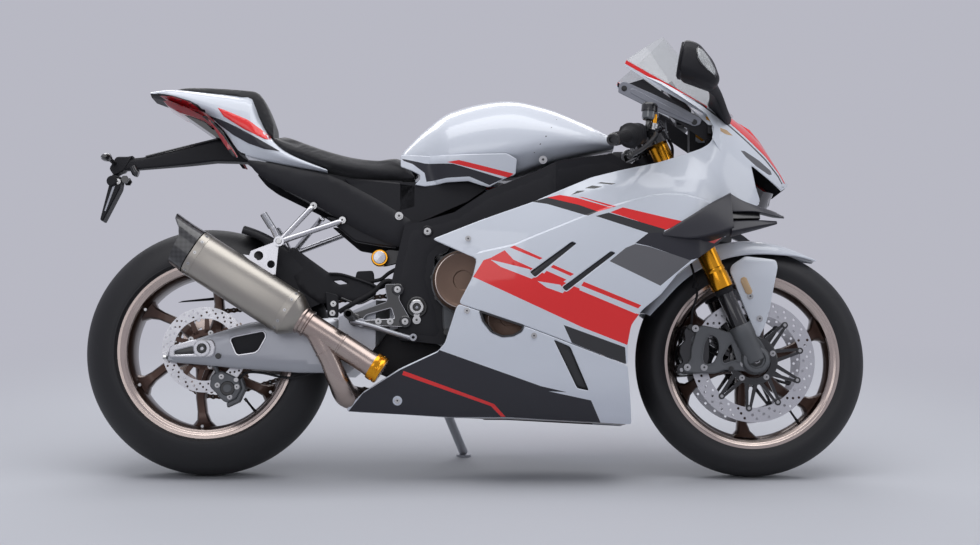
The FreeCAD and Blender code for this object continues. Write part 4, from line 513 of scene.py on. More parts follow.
def sheet(outline, height, thick, holes=(), paints=(), lines=(), edge=2.5, drop=2.0, step=18.0, sign=1,
          cham_back=False):
    """A panel that follows a height: a skin with rounded edges, holes and painted fields.

    With paints the result is (points, faces, fields); a field is the index of the last paint hit, or -1."""
    height = surface(height)
    chains, loose = [list(outline)] + [list(h) for h in holes], []
    inset = [shrink(outline, edge)] + [shrink(h, -edge) for h in holes]
    loops = chains + inset + [list(p) for p in paints]
    verts, edges = [], []

    def add_chain(chain, closed):
        """Adds a closed line of points and its edges."""
        start = len(verts)
        pairs = list(zip(chain, chain[1:] + chain[:1])) if closed else list(zip(chain, chain[1:]))
        for (x0, z0), (x1, z1) in pairs:
            count = max(1, int(math.hypot(x1 - x0, z1 - z0) / step)) if step else 1
            for k in range(count):
                verts.append(Vector((x0 + (x1 - x0) * k / count, z0 + (z1 - z0) * k / count)))
        if not closed:
            verts.append(Vector(chain[-1]))
        last = len(verts)
        edges.extend((i, i + 1) for i in range(start, last - 1))
        if closed:
            edges.append((last - 1, start))

    for loop in loops:
        add_chain(loop, True)
    for line in lines:
        add_chain(list(line), False)
    if step:
        xs, zs = [p[0] for p in outline], [p[1] for p in outline]
        row, z = 0, min(zs) + step / 2
        while z < max(zs):
            x = min(xs) + (step / 2 if row % 2 else 0)
            while x < max(xs):
                near = min(edge_distance(x, z, c) for c in chains + inset[:1]) if inside(x, z, outline) else 0
                if near > step * 0.35:
                    loose.append(Vector((x, z)))
                x += step
            z += step * 0.87
            row += 1
    flat, _, tris, *_ = delaunay_2d_cdt(verts + loose, edges, [], 0, 0.02)
    keep, fields = [], []
    for tri in tris:
        x = sum(flat[i][0] for i in tri) / len(tri)
        z = sum(flat[i][1] for i in tri) / len(tri)
        if inside(x, z, chains[0]) and not any(inside(x, z, h) for h in chains[1:]):
            keep.append(tri)
            field = -1
            for index, paint in enumerate(paints):
                if inside(x, z, paint):
                    field = index
            fields.append(field)
    used = sorted({i for tri in keep for i in tri})
    number = {old: new for new, old in enumerate(used)}
    outer, inner = [], []
    for i in used:
        x, z = flat[i][0], flat[i][1]
        d = min(edge_distance(x, z, c) for c in chains)
        fall = drop * (1 - min(1, d / edge)) ** 1.3 if edge else 0
        y = height(x, z)
        outer.append((x, y - fall * sign, z))
        back = y - thick * sign
        inner.append((x, back + (fall * sign if cham_back else 0), z))
    count = len(used)
    faces = [tuple(number[i] for i in tri) for tri in keep]
    sides = dict.fromkeys((a, b) for face in faces for a, b in zip(face, face[1:] + face[:1]))
    rim = [(a, b) for a, b in sides if (b, a) not in sides]
    all_faces = faces + [tuple(i + count for i in reversed(face)) for face in faces]
    all_faces += [(b, a, a + count, b + count) for a, b in rim]
    if paints:
        return outer + inner, all_faces, fields + fields + [-1] * len(rim)
    return outer + inner, all_faces


def painted(shape, made, base, colours):
    """Adds a painted sheet: one finish for the base and one for each field."""
    points, faces, fields = made
    start = len(shape.points)
    shape.points += [tuple(p) for p in points]
    for face, field in zip(faces, fields):
        used = base if field < 0 else colours[field]
        if used not in shape.used:
            shape.used.append(used)
        shape.faces.append(tuple(i + start for i in face))
        shape.finishes.append(shape.used.index(used))
    return shape


def spline(knots, t):
    """A smooth value at t through (place, value) knots."""
    if t <= knots[0][0]:
        return knots[0][1]
    for i in range(len(knots) - 1):
        (a, va), (b, vb) = knots[i], knots[i + 1]
        if t <= b:
            before = (vb - knots[i - 1][1]) / (b - knots[i - 1][0]) if i else (vb - va) / (b - a)
            after = (knots[i + 2][1] - va) / (knots[i + 2][0]
                                              - a) if i + 2 < len(knots) else (vb - va) / (b - a)
            u, w = (t - a) / (b - a), b - a
            return (va * (1 + 2 * u) * (1 - u) ** 2 + before * w * u * (1 - u) ** 2
                    + vb * u * u * (3 - 2 * u) + after * w * u * u * (u - 1))
    return knots[-1][1]


def line_at(knots, t):
    """A straight-line value at t through (place, value) knots, held past the ends."""
    if t <= knots[0][0]:
        return knots[0][1]
    for (a, va), (b, vb) in zip(knots, knots[1:]):
        if t <= b:
            return va + (vb - va) * (t - a) / (b - a)
    return knots[-1][1]


def decal(shape, outline, target, colour, side=-1, lift=0.5, step=12.0):
    """A painted field laid on a made surface, seen from the side."""
    far, near, reach = 600, 120, 1.4

    def height(x, z):
        hit = target.ray_cast(place((x, side * far, z)), LEFT * -side, reach)
        if hit[0] is None:
            hit = target.find_nearest(place((x, side * near, z)))
        return (hit[0] - REAR).dot(LEFT) * MM + side * lift

    shape.add(sheet(outline, height, 0.4, edge=0.6, drop=0.3, step=step, sign=side), colour)


def tree_of(made):
    """A search tree over a made piece's surface, modifiers included."""
    graph = bpy.context.evaluated_depsgraph_get()
    return BVHTree.FromObject(made, graph)


def keep_cad(used, *nodes):
    """A CAD node whose shape is right, in its finish."""
    for node in nodes:
        shown = frame["nodes"][node]
        shown.data.materials.clear()
        shown.data.materials.append(used)


# ------------------------------------------------------------ geometry-node makers of repeated things
def maker_tree(name, inputs):
    """A geometry-node group that is given points and hands out a mesh."""
    shape = [("Geometry", "Geometry")]
    return new_tree(name, [(*shape[0], None)] + inputs, shape, "GeometryNodeTree")


def attribute(tree, name):
    """A vector that each point carries."""
    return shade(tree, "GeometryNodeInputNamedAttribute", {"Name": name},
                 data_type="FLOAT_VECTOR").outputs["Attribute"]


def aligned(tree, up, ahead=None):
    """A turn that stands an instance along one vector, and points it along another."""
    turn = shade(tree, "FunctionNodeAlignRotationToVector", {"Vector": up}, axis="Z")
    if ahead:
        turn = shade(tree, "FunctionNodeAlignRotationToVector", {"Rotation": turn.outputs[0],
                                                                 "Vector": ahead}, axis="X", pivot_axis="Z")
    return turn.outputs[0]


def on_points(tree, given, instance, turn):
    """The instance on each given point, made real."""
    points = shade(tree, "GeometryNodeMeshToPoints", {"Mesh": given["Geometry"]})
    spread = shade(tree, "GeometryNodeInstanceOnPoints", {
        "Points": points.outputs[0], "Instance": instance, "Rotation": turn})
    return shade(tree, "GeometryNodeRealizeInstances", {0: spread.outputs[0]}).outputs[0]


def moved_part(tree, made, offset, material):
    """A mesh node moved by its offset and given its finish."""
    shift = shade(tree, "ShaderNodeCombineXYZ", offset)
    moved = shade(tree, "GeometryNodeTransform", {"Geometry": made.outputs[0],
                                                  "Translation": shift.outputs[0]})
    return shade(tree, "GeometryNodeSetMaterial", {"Geometry": moved.outputs[0],
                                                   "Material": material}).outputs[0]


def screw_tree():
    """A socket-cap screw on each point, its head along the point's own facing. Its socket is painted shade.
    """
    tree, given, out = maker_tree("screws on points", [
        ("Radius", "Float", 0.005), ("Height", "Float", 0.003), ("Finish", "Material", None),
        ("Dark", "Material", None)])
    parts = shade(tree, "GeometryNodeJoinGeometry")
    # shares of the screw's radius and height: radius, depth and lift of each disc, its finish and its corners
    for radius, depth, lift, material, corners in (
            (1.5, 0.35, 0.12, "Finish", 24), (1.0, 1.0, 0.55, "Finish", 24), (0.86, 0.3, 1.08, "Finish", 24),
            # the last disc, a dark hexagon, is the socket: painted shade in its recess
            (0.5, 0.12, 1.22, "Dark", 6)):
        made = shade(tree, "GeometryNodeMeshCylinder", {
            "Vertices": corners, "Radius": math_node(tree, "MULTIPLY", given["Radius"], radius),
            "Depth": math_node(tree, "MULTIPLY", given["Height"], depth)})
        offset = {2: math_node(tree, "MULTIPLY", given["Height"], lift)}
        tree.links.new(moved_part(tree, made, offset, given[material]), parts.inputs[0])
    tree.links.new(on_points(tree, given, parts.outputs[0], aligned(tree, attribute(tree, "facing"))), out[0])
    return tree


SCREWS = screw_tree()


def run_tree(name, body, tree, points, facings, values, extra=None):
    """Runs a geometry-node maker on points and keeps the plain mesh."""
    mesh = bpy.data.meshes.new(name)
    mesh.from_pydata([place(p) for p in points], [], [])
    for label, vectors in {"facing": facings, **(extra or {})}.items():
        layer = mesh.attributes.new(label, "FLOAT_VECTOR", "POINT")
        for index, v in enumerate(vectors):
            layer.data[index].vector = (AHEAD * v[0] + LEFT * v[1] + UP * v[2]).normalized()
    source = bpy.data.objects.new(name + ".source", mesh)
    bpy.context.collection.objects.link(source)
    maker = source.modifiers.new("maker", "NODES")
    maker.node_group = tree
    sockets = {s.name: s.identifier for s in tree.interface.items_tree
               if s.item_type == "SOCKET" and s.in_out == "INPUT"}
    for label, value in values.items():
        maker[sockets[label]] = value
    result = baked(source)
    bpy.data.objects.remove(source)
    result.name = name
    return dress(name, result, body, (), 35)


def screws(name, body, places, radius=5.0, height=3.0, used=STEEL):
    """Screw heads at (point, facing) places."""
    return run_tree(name, body, SCREWS, [p for p, _ in places], [f for _, f in places],
                    {"Radius": radius / MM, "Height": height / MM, "Finish": used, "Dark": BLACK_AND_SHADE})


# ------------------------------------------------------------ tyres and wheels
def make_tyre(name, centre, radius, half, crown, seat, lip_half, body):
    """A road tyre: a round crown, a bulged wall, a bead and a hollow inside."""
    profile = []
    reach = math.asin(min(0.985, (half - 1.5) / crown))
    for k in range(-14, 15):
        a = reach * k / 14
        profile.append((radius - crown + crown * math.cos(a), crown * math.sin(a)))
    shoulder = profile[-1][0]
    wall = [(shoulder - 8, half - 0.4), (shoulder - 16, half - 1.6),
            (seat + 12, lip_half + 3), (seat + 6, lip_half + 0.4), (seat + 1.5, lip_half - 1)]
    inner = [(seat + 1, lip_half - 10), (seat + 14, lip_half - 8), (shoulder - 6, half - 12),
             (radius - 14, half * 0.5), (radius - 12, 0)]
    outer = [(r, -y) for r, y in reversed(wall)] + profile + wall
    ring = outer + inner + [(r, -y) for r, y in reversed(inner[:-1])]
    steps = 160
    shape = Shape().add(lathe(ring, centre, Y, steps), TYRE)
    lengths = [0.0]
    for a, b in zip(ring, ring[1:]):
        lengths.append(lengths[-1] + math.hypot(a[0] - b[0], a[1] - b[1]))
    whole = lengths[len(outer) - 1]
    uv = [(k / steps, min(1.5, length / whole)) for k in range(steps) for length in lengths]
    return shape.piece("road_" + name, body, "tyre", name, angle=50, uv=uv)


REAR_C, FRONT_C = (0, 0, RZ), (FX, 0, FZ)
# the tyre's radius, half width and crown, the rim's seat and half width
make_tyre("rear_tyre", REAR_C, RZ, 95, 97, 216, 79, "rear_wheel")
make_tyre("front_tyre", FRONT_C, 300, 60, 63, 216, 48, "front_wheel")


def polar(centre, radius, angle, y):
    """A place so far from a wheel's centre at an angle."""
    return Vector((centre[0] + radius * math.cos(angle), y, centre[2] + radius * math.sin(angle)))


def make_rim(name, centre, half, hub, hub_half, tip, body, node):
    """A cast wheel: barrel, bright lips, six swept spokes that flare at the rim, and a hub."""
    shape = Shape()
    shape.add(lathe([(216, -half + 6), (216, half - 6), (204, half - 22), (197, half - 40), (195, 0),
                     (197, -half + 40), (204, -half + 22)], centre, Y, 128), BRONZE)
    for s in BOTH:
        shape.add(lathe([(228, s * half), (229.5, s * (half - 1.6)), (229, s * (half - 5)),
                         (217, s * (half - 7)), (210, s * (half - 16)), (204, s * (half - 17)),
                         (206, s * (half - 9)), (212, s * (half - 5)), (214.5, s * (half - 3)),
                         (219, s * (half - 2.4)), (221, s * (half - 0.4))], centre, Y, 128), LIP)
    shape.add(lathe([(22, -hub_half), (hub - 8, -hub_half), (hub - 4, -hub_half + 4), (hub, -hub_half + 20),
                     (hub - 3, -24), (hub - 3, 24), (hub, hub_half - 20), (hub - 4, hub_half - 4),
                     (hub - 8, hub_half), (22, hub_half)], centre, Y, 64), BRONZE)
    for k in range(6):
        end = math.radians(tip + 60 * k)
        rings = []
        # the radius, the spoke's half width and half depth there, and how many degrees it is swept back
        for r, wide, deep, back in ((hub - 6, 25, 27, 14), (hub + 14, 18, 25, 13), (90, 14.5, 22, 10.5),
                                    (125, 12.5, 19, 7), (160, 12.5, 18, 3), (180, 17, 20, 1),
                                    (192, 28, 26, 0), (199, 44, 30, 0)):
            a = end - math.radians(back)
            turned = Vector((math.cos(a), 0, math.sin(a)))
            across = Vector((-turned.z, 0, turned.x))
            mid = Vector(centre) + turned * r
            flat = 0.68  # how much of each side is flat, between cut corners
            ring = [(-1, -flat), (-flat, -1), (flat, -1), (1, -flat), (1, flat), (flat, 1),
                    (-flat, 1), (-1, flat)]
            rings.append([mid + across * wide * u + Y * deep * v for u, v in ring])
        shape.add(loft(rings), BRONZE)
        shape.add(disc_solid(polar(centre, 196, end, -half + 30), Y, 4.5, 6, 12), STEEL)
    return shape.piece(name, body, "bronze_wheel", node, angle=38)


make_rim("wheel_rear", REAR_C, 83, 50, 74, 27, "rear_wheel", "rear_rim")
make_rim("wheel_front", FRONT_C, 51, 46, 62, 25, "front_wheel", "front_rim")
for name, centre, half, body in (("rear_valve", REAR_C, 83, "rear_wheel"),
                                 ("front_valve", FRONT_C, 51, "front_wheel")):
    base = polar(centre, 199, math.radians(-52), -18)
    inward = polar(centre, 165, math.radians(-52), -30)
    Shape().add(tube([base, (base + inward) / 2, inward], [4, 3, 3], 10), RUBBER).add(
        disc_solid(inward, (inward - base), 4, 10, 12), BLACKSTEEL).piece(name, body, "rubber_black")


def circle(radius, steps, x=0.0, z=0.0):
    """Points round a circle in the side view."""
    turns = [2 * math.pi * k / steps for k in range(steps)]
    return [(x + math.cos(a) * radius, z + math.sin(a) * radius) for a in turns]


def gear(teeth, root, tip, x, z):
    """A sprocket's outline in the side view."""
    made = []
    for k in range(teeth):
        for turn, r in ((-0.3, root), (-0.14, tip), (0.14, tip), (0.3, root)):
            a = 2 * math.pi * (k + turn) / teeth
            made.append((x + math.cos(a) * r, z + math.sin(a) * r))
    return made


def drilled_band(centre, inner, outer, low, high, rows, count, hole):
    """A flat ring with rows of drilled holes, as points and faces."""
    steps, corners, stagger = 96, 8, 0.37
    holes = []
    for k in range(count):
        for j, r in enumerate(rows):
            a = 2 * math.pi * (k + j * stagger) / count
            holes.append((math.cos(a) * r, math.sin(a) * r))
    loops = [circle(outer, steps), circle(inner, steps)] + [circle(hole, corners, x, z) for x, z in holes]
    verts, edges = [], []
    for loop in loops:
        start = len(verts)
        verts += [Vector(p) for p in loop]
        edges += [(start + i, start + (i + 1) % len(loop)) for i in range(len(loop))]
    flat, _, tris, *_ = delaunay_2d_cdt(verts, edges, [], 0, 0.001)
    faces = []
    for tri in tris:
        x, z = sum(flat[i][0] for i in tri) / 3, sum(flat[i][1] for i in tri) / 3
        drilled = any(math.hypot(x - a, z - b) < hole * 0.95 for a, b in holes)
        if inner < math.hypot(x, z) < outer and not drilled:
            faces.append(tuple(tri))
    points = [(centre[0] + p[0], y, centre[2] + p[1]) for y in (high, low) for p in flat]
    back = len(flat)
    sides = {(a, b) for f in faces for a, b in zip(f, f[1:] + f[:1])}
    walls = [(b, a, a + back, b + back) for a, b in sides if (b, a) not in sides]
    return points, faces + [tuple(i + back for i in reversed(f)) for f in faces] + walls


def spoke_bar(centre, r0, a0, r1, a1, half, low, high):
    """A straight flat arm between two polar places, broader at its first end."""
    p, q = polar(centre, r0, a0, 0), polar(centre, r1, a1, 0)
    across = (q - p).normalized().cross(Y) * half
    return loft([[end + across * u * wide + Y * y for u, y in ((1, low), (1, high), (-1, high), (-1, low))]
                 for end, wide in ((p, 1.25), (q, 0.8))])


def make_front_disc(side):
    """One drilled front disc on its carrier."""
    shape = Shape()
    y0, y1 = side * 65.5, side * 70.5
    shape.add(drilled_band(FRONT_C, 122, 160, y0, y1, (130, 140.5, 151), 30, 3.6), DISC)
    for k in range(10):
        a = math.radians(36 * k + 12)
        for turn in (-13, 13):
            shape.add(spoke_bar(FRONT_C, 56, a + math.radians(turn), 120, a + math.radians(turn * 0.16), 4.2,
                                side * 63, side * 70), GLOSS)
        shape.add(disc_solid(polar(FRONT_C, 124, a, side * 62), (0, side, 0), 8.5, 11, 16), GLOSS)
        shape.add(disc_solid(polar(FRONT_C, 124, a, side * 73), (0, side, 0), 4.6, 1.2, 12), STEEL)
    shape.add(lathe([(44, side * 60), (62, side * 60), (64, side * 62), (64, side * 69), (61, side * 71),
                     (46, side * 71)], FRONT_C, Y, 60), GLOSS)
    return shape


for side, word in SIDES:
    make_front_disc(side).piece("brake_disc_front_" + word, "front_wheel", "steel", "front_brake_discs",
                                angle=35)
screws("disc_screws_front", "front_wheel", [(polar(FRONT_C, 54, math.radians(72 * k + 20), s * 71), (0, s, 0))
                                            for k in range(5) for s in BOTH], 5, 4)

rear_disc = Shape().add(drilled_band(REAR_C, 80, 110, -95.5, -100.5, (88, 96, 103.5), 26, 3.0), DISC)
for k in range(5):
    a = math.radians(72 * k + 30)
    for turn in (-14, 14):
        rear_disc.add(spoke_bar(REAR_C, 44, a + math.radians(turn * 1.3), 82, a + math.radians(turn),
                                6, -94, -99), BRONZE)
rear_disc.add(lathe([(36, -93), (52, -93), (52, -99), (36, -99)], REAR_C, Y, 48), BRONZE)
rear_disc.piece("brake_disc_rear", "rear_wheel", "steel", "rear_brake_disc", angle=35)
screws("disc_screws_rear", "rear_wheel", [(polar(REAR_C, 45, math.radians(72 * k), -99), (0, -1, 0))
                                          for k in range(5)], 4.5, 4)


CHAIN_LINE = (104.5, 110.5)  # the sprockets' two faces, across the bike


def make_sprocket():
    """A toothed ring with five lightened arms."""
    holes = []
    for k in range(5):
        a0 = 2 * math.pi * k / 5
        holes.append([(math.cos(a0 + t) * r, RZ + math.sin(a0 + t) * r)
                      for t, r in ((-0.42, 84), (0, 87), (0.42, 84), (0.30, 58), (0, 55), (-0.30, 58))])
    holes.append(circle(34, 24, 0, RZ))
    return Shape().add(flat_plate(gear(41, 100.5, 106, 0, RZ), *CHAIN_LINE, holes=holes, chamfer=0.6), LIP)


make_sprocket().piece("chain_sprocket", "rear_wheel", "machined", "rear_sprocket")


# ------------------------------------------------------------ smooth bodies and cut shapes
def sections_at(sections, x):
    """The half section at a place along the bike, through the given ones."""
    return [(spline([(s, half[i][0]) for s, half in sections], x),
             spline([(s, half[i][1]) for s, half in sections], x)) for i in range(len(sections[0][1]))]


def body_loft(sections, slices, radii, steps=3, inset=0.0):
    """A smooth body, the same on both sides, with each long edge rounded by its own radius."""
    first, last = sections[0][0], sections[-1][0]
    marks = sorted({s for s, _ in sections} | {first + (last - first) * k / slices
                                               for k in range(slices + 1)})
    rings = []
    for x in marks:
        half = sections_at(sections, x)
        shared = len(half) - (1 if half[-1][0] < 0.001 else 0)
        ring = half + [(-y, z) for y, z in reversed(half[1:shared])]
        if inset:
            ring = shrink(ring, inset)
        sizes = list(radii) + list(reversed(radii[1:shared]))
        rings.append([(x, y, z) for y, z in rounded(ring, sizes, steps, 0.48)])
    return loft(rings)


def slice_loft(sections, slices, radius, put, steps=3):
    """A loft through sections with rounded corners; put turns a mark and a section's pair into a point."""
    first, last = sections[0][0], sections[-1][0]
    marks = [first + (last - first) * k / slices for k in range(slices + 1)]
    return loft([[put(mark, a, b) for a, b in rounded(sections_at(sections, mark), radius, steps)]
                 for mark in marks])


def prism(outline, low, high):
    """A side-view outline pulled across the bike."""
    return loft([[(x, y, z) for x, z in outline] for y in (low, high)])


def solid_object(made, used):
    """A loose closed mesh, to be cut or to cut with."""
    mesh = bpy.data.meshes.new("work")
    mesh.from_pydata([place(p) for p in made[0]], [], made[1])
    mesh.materials.append(used)
    weld(mesh)
    made = bpy.data.objects.new("work", mesh)
    bpy.context.collection.objects.link(made)
    return made


def carved(name, body, nodes, base, cuts, angle=30):
    """A solid cut by others: base and each cut are (made, finish), with INTERSECT, DIFFERENCE or UNION."""
    work = solid_object(*base)
    helpers = [solid_object(made, used) for _, made, used in cuts]
    for (operation, _, _), helper in zip(cuts, helpers):
        cut = work.modifiers.new("cut", "BOOLEAN")
        cut.operation, cut.object, cut.solver, cut.material_mode = operation, helper, "EXACT", "TRANSFER"
    mesh = baked(work)
    for helper in helpers + [work]:
        bpy.data.objects.remove(helper)
    mesh.name = name
    return dress(name, mesh, body, nodes, angle)


def decals(name, body, slot, target, fields, sides=BOTH, lift=0.5, step=14.0):
    """Painted fields on a surface, the same on each side."""
    shape = Shape()
    found = tree_of(target)
    for outline, used in fields:
        for side in sides:
            decal(shape, outline, found, used, side, lift, step)
    return shape.piece(name, body, slot, angle=50, turn=False)


# ------------------------------------------------------------ tank, seats and tail
TANK_HALF = [(497, [(0, 852), (34, 846), (64, 824), (66, 800), (50, 792), (0, 792)]),
             (560, [(0, 914), (52, 904), (96, 862), (104, 806), (80, 786), (0, 786)]),
             (625, [(0, 963), (72, 944), (134, 890), (142, 812), (96, 786), (0, 786)]),
             (770, [(0, 995), (92, 972), (152, 910), (158, 830), (104, 778), (0, 778)]),
             (880, [(0, 976), (92, 954), (148, 898), (152, 850), (104, 812), (0, 812)]),
             (990, [(0, 930), (66, 918), (112, 884), (118, 862), (84, 844), (0, 844)]),
             (1058, [(0, 895), (40, 890), (66, 876), (66, 864), (44, 858), (0, 858)])]
tank = Shape().add(body_loft(TANK_HALF, 44, (1, 60, 34, 22, 14, 1), 5), WHITE)
tank = tank.piece("fuel_tank_skin", "chassis", "white_panels", "fuel_tank", angle=60)


def tank_side(x, z):
    """Half width of the tank's skirt, which carries on its side below its widest line."""
    half = sections_at(TANK_HALF, x)
    (w0, z0), (w1, z1) = half[2], half[3]
    beside_seat = 118.0 - 0.1 * max(0.0, x - 540)
    if z > z1:
        return max(beside_seat, w1 + (w0 - w1) * min(1.0, (z - z1) / max(1.0, z0 - z1)) + 1.4)
    return max(beside_seat, w1 - 0.22 * (z1 - z) + 1.4)


SKIRT = [(500, 828), (560, 826), (640, 824), (775, 826), (800, 812), (797, 774), (764, 760), (728, 741),
         (702, 748), (676, 757), (620, 755), (563, 746), (537, 750), (551, 764), (551, 775),
         (530, 786), (500, 797)]
TANK_COVER = [(498, 757), (545, 757), (560, 785), (690, 785), (722, 752), (722, 740), (673, 706), (631, 688),
              (578, 664), (531, 645), (498, 640)]
for side, word in SIDES:
    skirt = Shape()
    made = sheet(rounded(SKIRT, 4, 2), lambda x, z, s=side: s * tank_side(x, z), 3, edge=1.5, drop=1, step=12,
                 sign=side, paints=[[(502, 818), (562, 806), (636, 801), (765, 762), (730, 746), (702, 758),
                                     (678, 768), (620, 766), (567, 758), (562, 781), (531, 804), (508, 812)],
                                    [(621, 806), (651, 810), (792, 775), (778, 765)]])
    painted(skirt, made, WHITE, [DARK, RED])
    skirt.add(sheet(TANK_COVER, side * 112, 3, edge=1, drop=1, step=0, sign=side), PLASTIC)
    skirt.piece("tank_skirt_" + word, "chassis", "white_panels", angle=30)
decals("tank_seams", "chassis", "dark_panels", tank, [
    ([(907, 924), (877, 872), (847, 830), (844, 831), (874, 873), (904, 925)], BLACK_AND_SHADE)], lift=0.3, step=20)

SEAT_HALF = [(166, [(0, 893), (60, 892), (94, 886), (103, 880), (92, 872), (0, 872)]),
             (200, [(0, 884), (72, 881), (106, 868), (117, 848), (106, 838), (0, 838)]),
             (240, [(0, 868), (84, 865), (118, 846), (127, 826), (108, 818), (0, 818)]),
             (300, [(0, 846), (92, 843), (128, 822), (134, 800), (110, 790), (0, 790)]),
             (370, [(0, 826), (98, 824), (132, 804), (134, 782), (108, 770), (0, 770)]),
             (440, [(0, 819), (92, 817), (120, 800), (124, 776), (100, 765), (0, 765)]),
             (484, [(0, 829), (76, 826), (108, 808), (116, 776), (96, 764), (0, 764)]),
             (505, [(0, 822), (76, 818), (108, 804), (115, 776), (96, 763), (0, 763)]),
             (540, [(0, 786), (76, 786), (106, 783), (112, 774), (96, 762), (0, 762)])]
PAD_HALF = [(-100, [(0, 1018), (30, 1018), (46, 1013), (50, 1008), (0, 1008)]),
            (-57, [(0, 1019), (44, 1018), (60, 1010), (64, 1000), (0, 1000)]),
            (5, [(0, 1017), (54, 1015), (67, 1006), (72, 992), (0, 992)]),
            (88, [(0, 1011), (56, 1009), (72, 998), (76, 980), (0, 980)]),
            (114, [(0, 1007), (56, 1005), (73, 990), (77, 945), (0, 945)]),
            (128, [(0, 995), (56, 993), (72, 978), (76, 920), (0, 920)]),
            (146, [(0, 962), (56, 960), (72, 945), (76, 890), (0, 890)]),
            (162, [(0, 920), (56, 918), (70, 908), (74, 876), (0, 876)])]


def inflate(made, most):
    """Fills a pad with air: a fine mesh, pressed outwards, where no point moves further than the most."""
    mesh = made.data
    remesh = made.modifiers.new("remesh", "REMESH")
    remesh.mode, remesh.voxel_size = "VOXEL", 0.005
    fine = baked(made)
    made.modifiers.remove(remesh)
    made.data = fine
    cloth = made.modifiers.new("cloth", "CLOTH")
    cloth.settings.use_pressure = True
    cloth.settings.uniform_pressure_force = 4.0
    cloth.settings.quality = 5
    cloth.settings.effector_weights.gravity = 0.0
    scene = bpy.context.scene
    for number in range(1, 21):
        scene.frame_set(number)
    swollen = baked(made)
    made.modifiers.remove(cloth)
    for vertex, pressed in zip(fine.vertices, swollen.vertices):
        step = pressed.co - vertex.co
        if step.length > most:
            step = step.normalized() * most
        vertex.co = vertex.co + step
    scene.frame_set(1)
    fine.materials.clear()
    fine.materials.append(VINYL)
    fine.shade_smooth()
    bpy.data.meshes.remove(swollen)
    bpy.data.meshes.remove(mesh)


def make_pad(name, node, sections, radii, swell):
    """A stuffed pad: swollen by pressure, capped, then smoothed."""
    made = Shape().add(body_loft(sections, 26, radii, 4, inset=swell * 0.6), VINYL).piece(
        name, "chassis", "seat_black", node, angle=70)
    inflate(made, swell / MM)
    smooth = made.modifiers.new("smooth", "SUBSURF")
    smooth.levels = smooth.render_levels = 1
    return made


make_pad("rider_pad", "rider_seat", SEAT_HALF, (1, 40, 20, 12, 10, 1), 6)
make_pad("passenger_pad", "passenger_seat", PAD_HALF, (1, 16, 6, 4, 1), 3)

TAIL_HALF = [(-163, [(0, 1010), (30, 1009), (52, 1004), (60, 998), (40, 992), (0, 992)]),
             (-109, [(0, 1011), (58, 1010), (84, 1002), (92, 986), (60, 974), (0, 974)]),
             (0, [(0, 1001), (66, 999), (98, 984), (108, 950), (72, 925), (0, 925)]),
             (41, [(0, 997), (66, 995), (100, 978), (112, 930), (90, 886), (0, 886)]),
             (77, [(0, 992), (66, 990), (102, 970), (115, 912), (98, 836), (0, 836)]),
             (107, [(0, 986), (66, 984), (102, 960), (116, 895), (100, 824), (0, 824)]),
             (125, [(0, 940), (70, 936), (104, 915), (118, 866), (102, 818), (0, 818)]),
             (150, [(0, 890), (84, 888), (112, 878), (120, 844), (104, 812), (0, 812)]),
             (200, [(0, 840), (90, 840), (116, 835), (122, 820), (104, 802), (0, 802)]),
             (310, [(0, 789), (100, 789), (120, 788), (123, 785), (104, 782), (0, 782)])]
TAIL_EDGE = [(-163, 999), (-140, 996), (-97, 984), (-53, 970), (-30, 958), (-8, 934), (10, 914), (39, 881),
             (67, 837), (80, 815)]
tail = Shape().add(body_loft(TAIL_HALF, 44, (1, 8, 8, 12, 5, 1), 3), WHITE)
tail.used.append(PLASTIC)
for k, face in enumerate(tail.faces):
    middle = sum((Vector(tail.points[i]) for i in face), Vector()) / len(face)
    under = sections_at(TAIL_HALF, middle.x)[5][1] + 5
    if middle.x < 90 and middle.z < max(under, line_at(TAIL_EDGE, middle.x)):
        tail.finishes[k] = 1
tail = tail.piece("tail_skin", "chassis", "white_panels", "tail_cowl", angle=38)
decals("tail_stripes", "chassis", "white_panels", tail,
       [([(-150, 1001), (-140, 997), (-97, 986), (-53, 972), (-30, 960), (-8, 936), (12, 914), (41, 881),
          (69, 837), (76, 824), (62, 826), (50, 842), (28, 876), (8, 909), (-19, 930), (-60, 960),
          (-120, 984)], BLACK_AND_SHADE), ([(-30, 949), (-1, 934), (29, 922), (74, 900), (129, 870), (187, 836),
                                (146, 842), (102, 859), (63, 881), (24, 911), (5, 928)], DARK),
        ([(22, 952), (40, 946), (101, 920), (159, 879), (161, 868), (148, 868), (90, 896), (38, 929)], RED)],
       lift=1.2, step=6)
decals("tail_lamp_glass", "chassis", "red_lens", tail,
       [([(-136, 990), (-97, 984), (-53, 969), (-31, 953), (-8, 931), (-19, 931), (-70, 958), (-112, 975)],
         REDLENS), ([(-7, 929), (9, 910), (38, 877), (58, 846), (50, 842), (28, 874), (6, 908)], REDLENS)],
       lift=1.8, step=6)


# ------------------------------------------------------------ side panels
SKIN_Z = (960, 850, 760, 680, 600, 500, 400, 300, 200, 120)
SKIN = [(340, (150, 165, 185, 200, 210, 214, 212, 205, 172, 112)),
        (600, (155, 175, 195, 212, 222, 226, 222, 212, 186, 126)),
        (830, (160, 185, 208, 226, 238, 240, 232, 218, 195, 132)),
        (1080, (150, 180, 208, 228, 238, 238, 228, 212, 185, 128)),
        (1300, (120, 165, 195, 212, 222, 220, 205, 180, 150, 100)),
        (1420, (100, 130, 150, 165, 175, 170, 150, 130, 100, 60))]
STEP_LINE = [(585, 548), (706, 559), (792, 578), (850, 603), (974, 654), (1039, 678), (1106, 699),
             (1142, 707), (1173, 711), (1224, 710), (1276, 697), (1330, 680)]
RIDGE_LINE = [(905, 702), (937, 710), (968, 725), (1020, 737), (1098, 746), (1155, 742),
              (1227, 728), (1314, 710)]


def skin(x, z):
    """Half width of the bodywork at a place in the side view."""
    rows = [(s, spline([(a, b) for a, b in zip(reversed(SKIN_Z), reversed(row))], z)) for s, row in SKIN]
    return spline(rows, x)


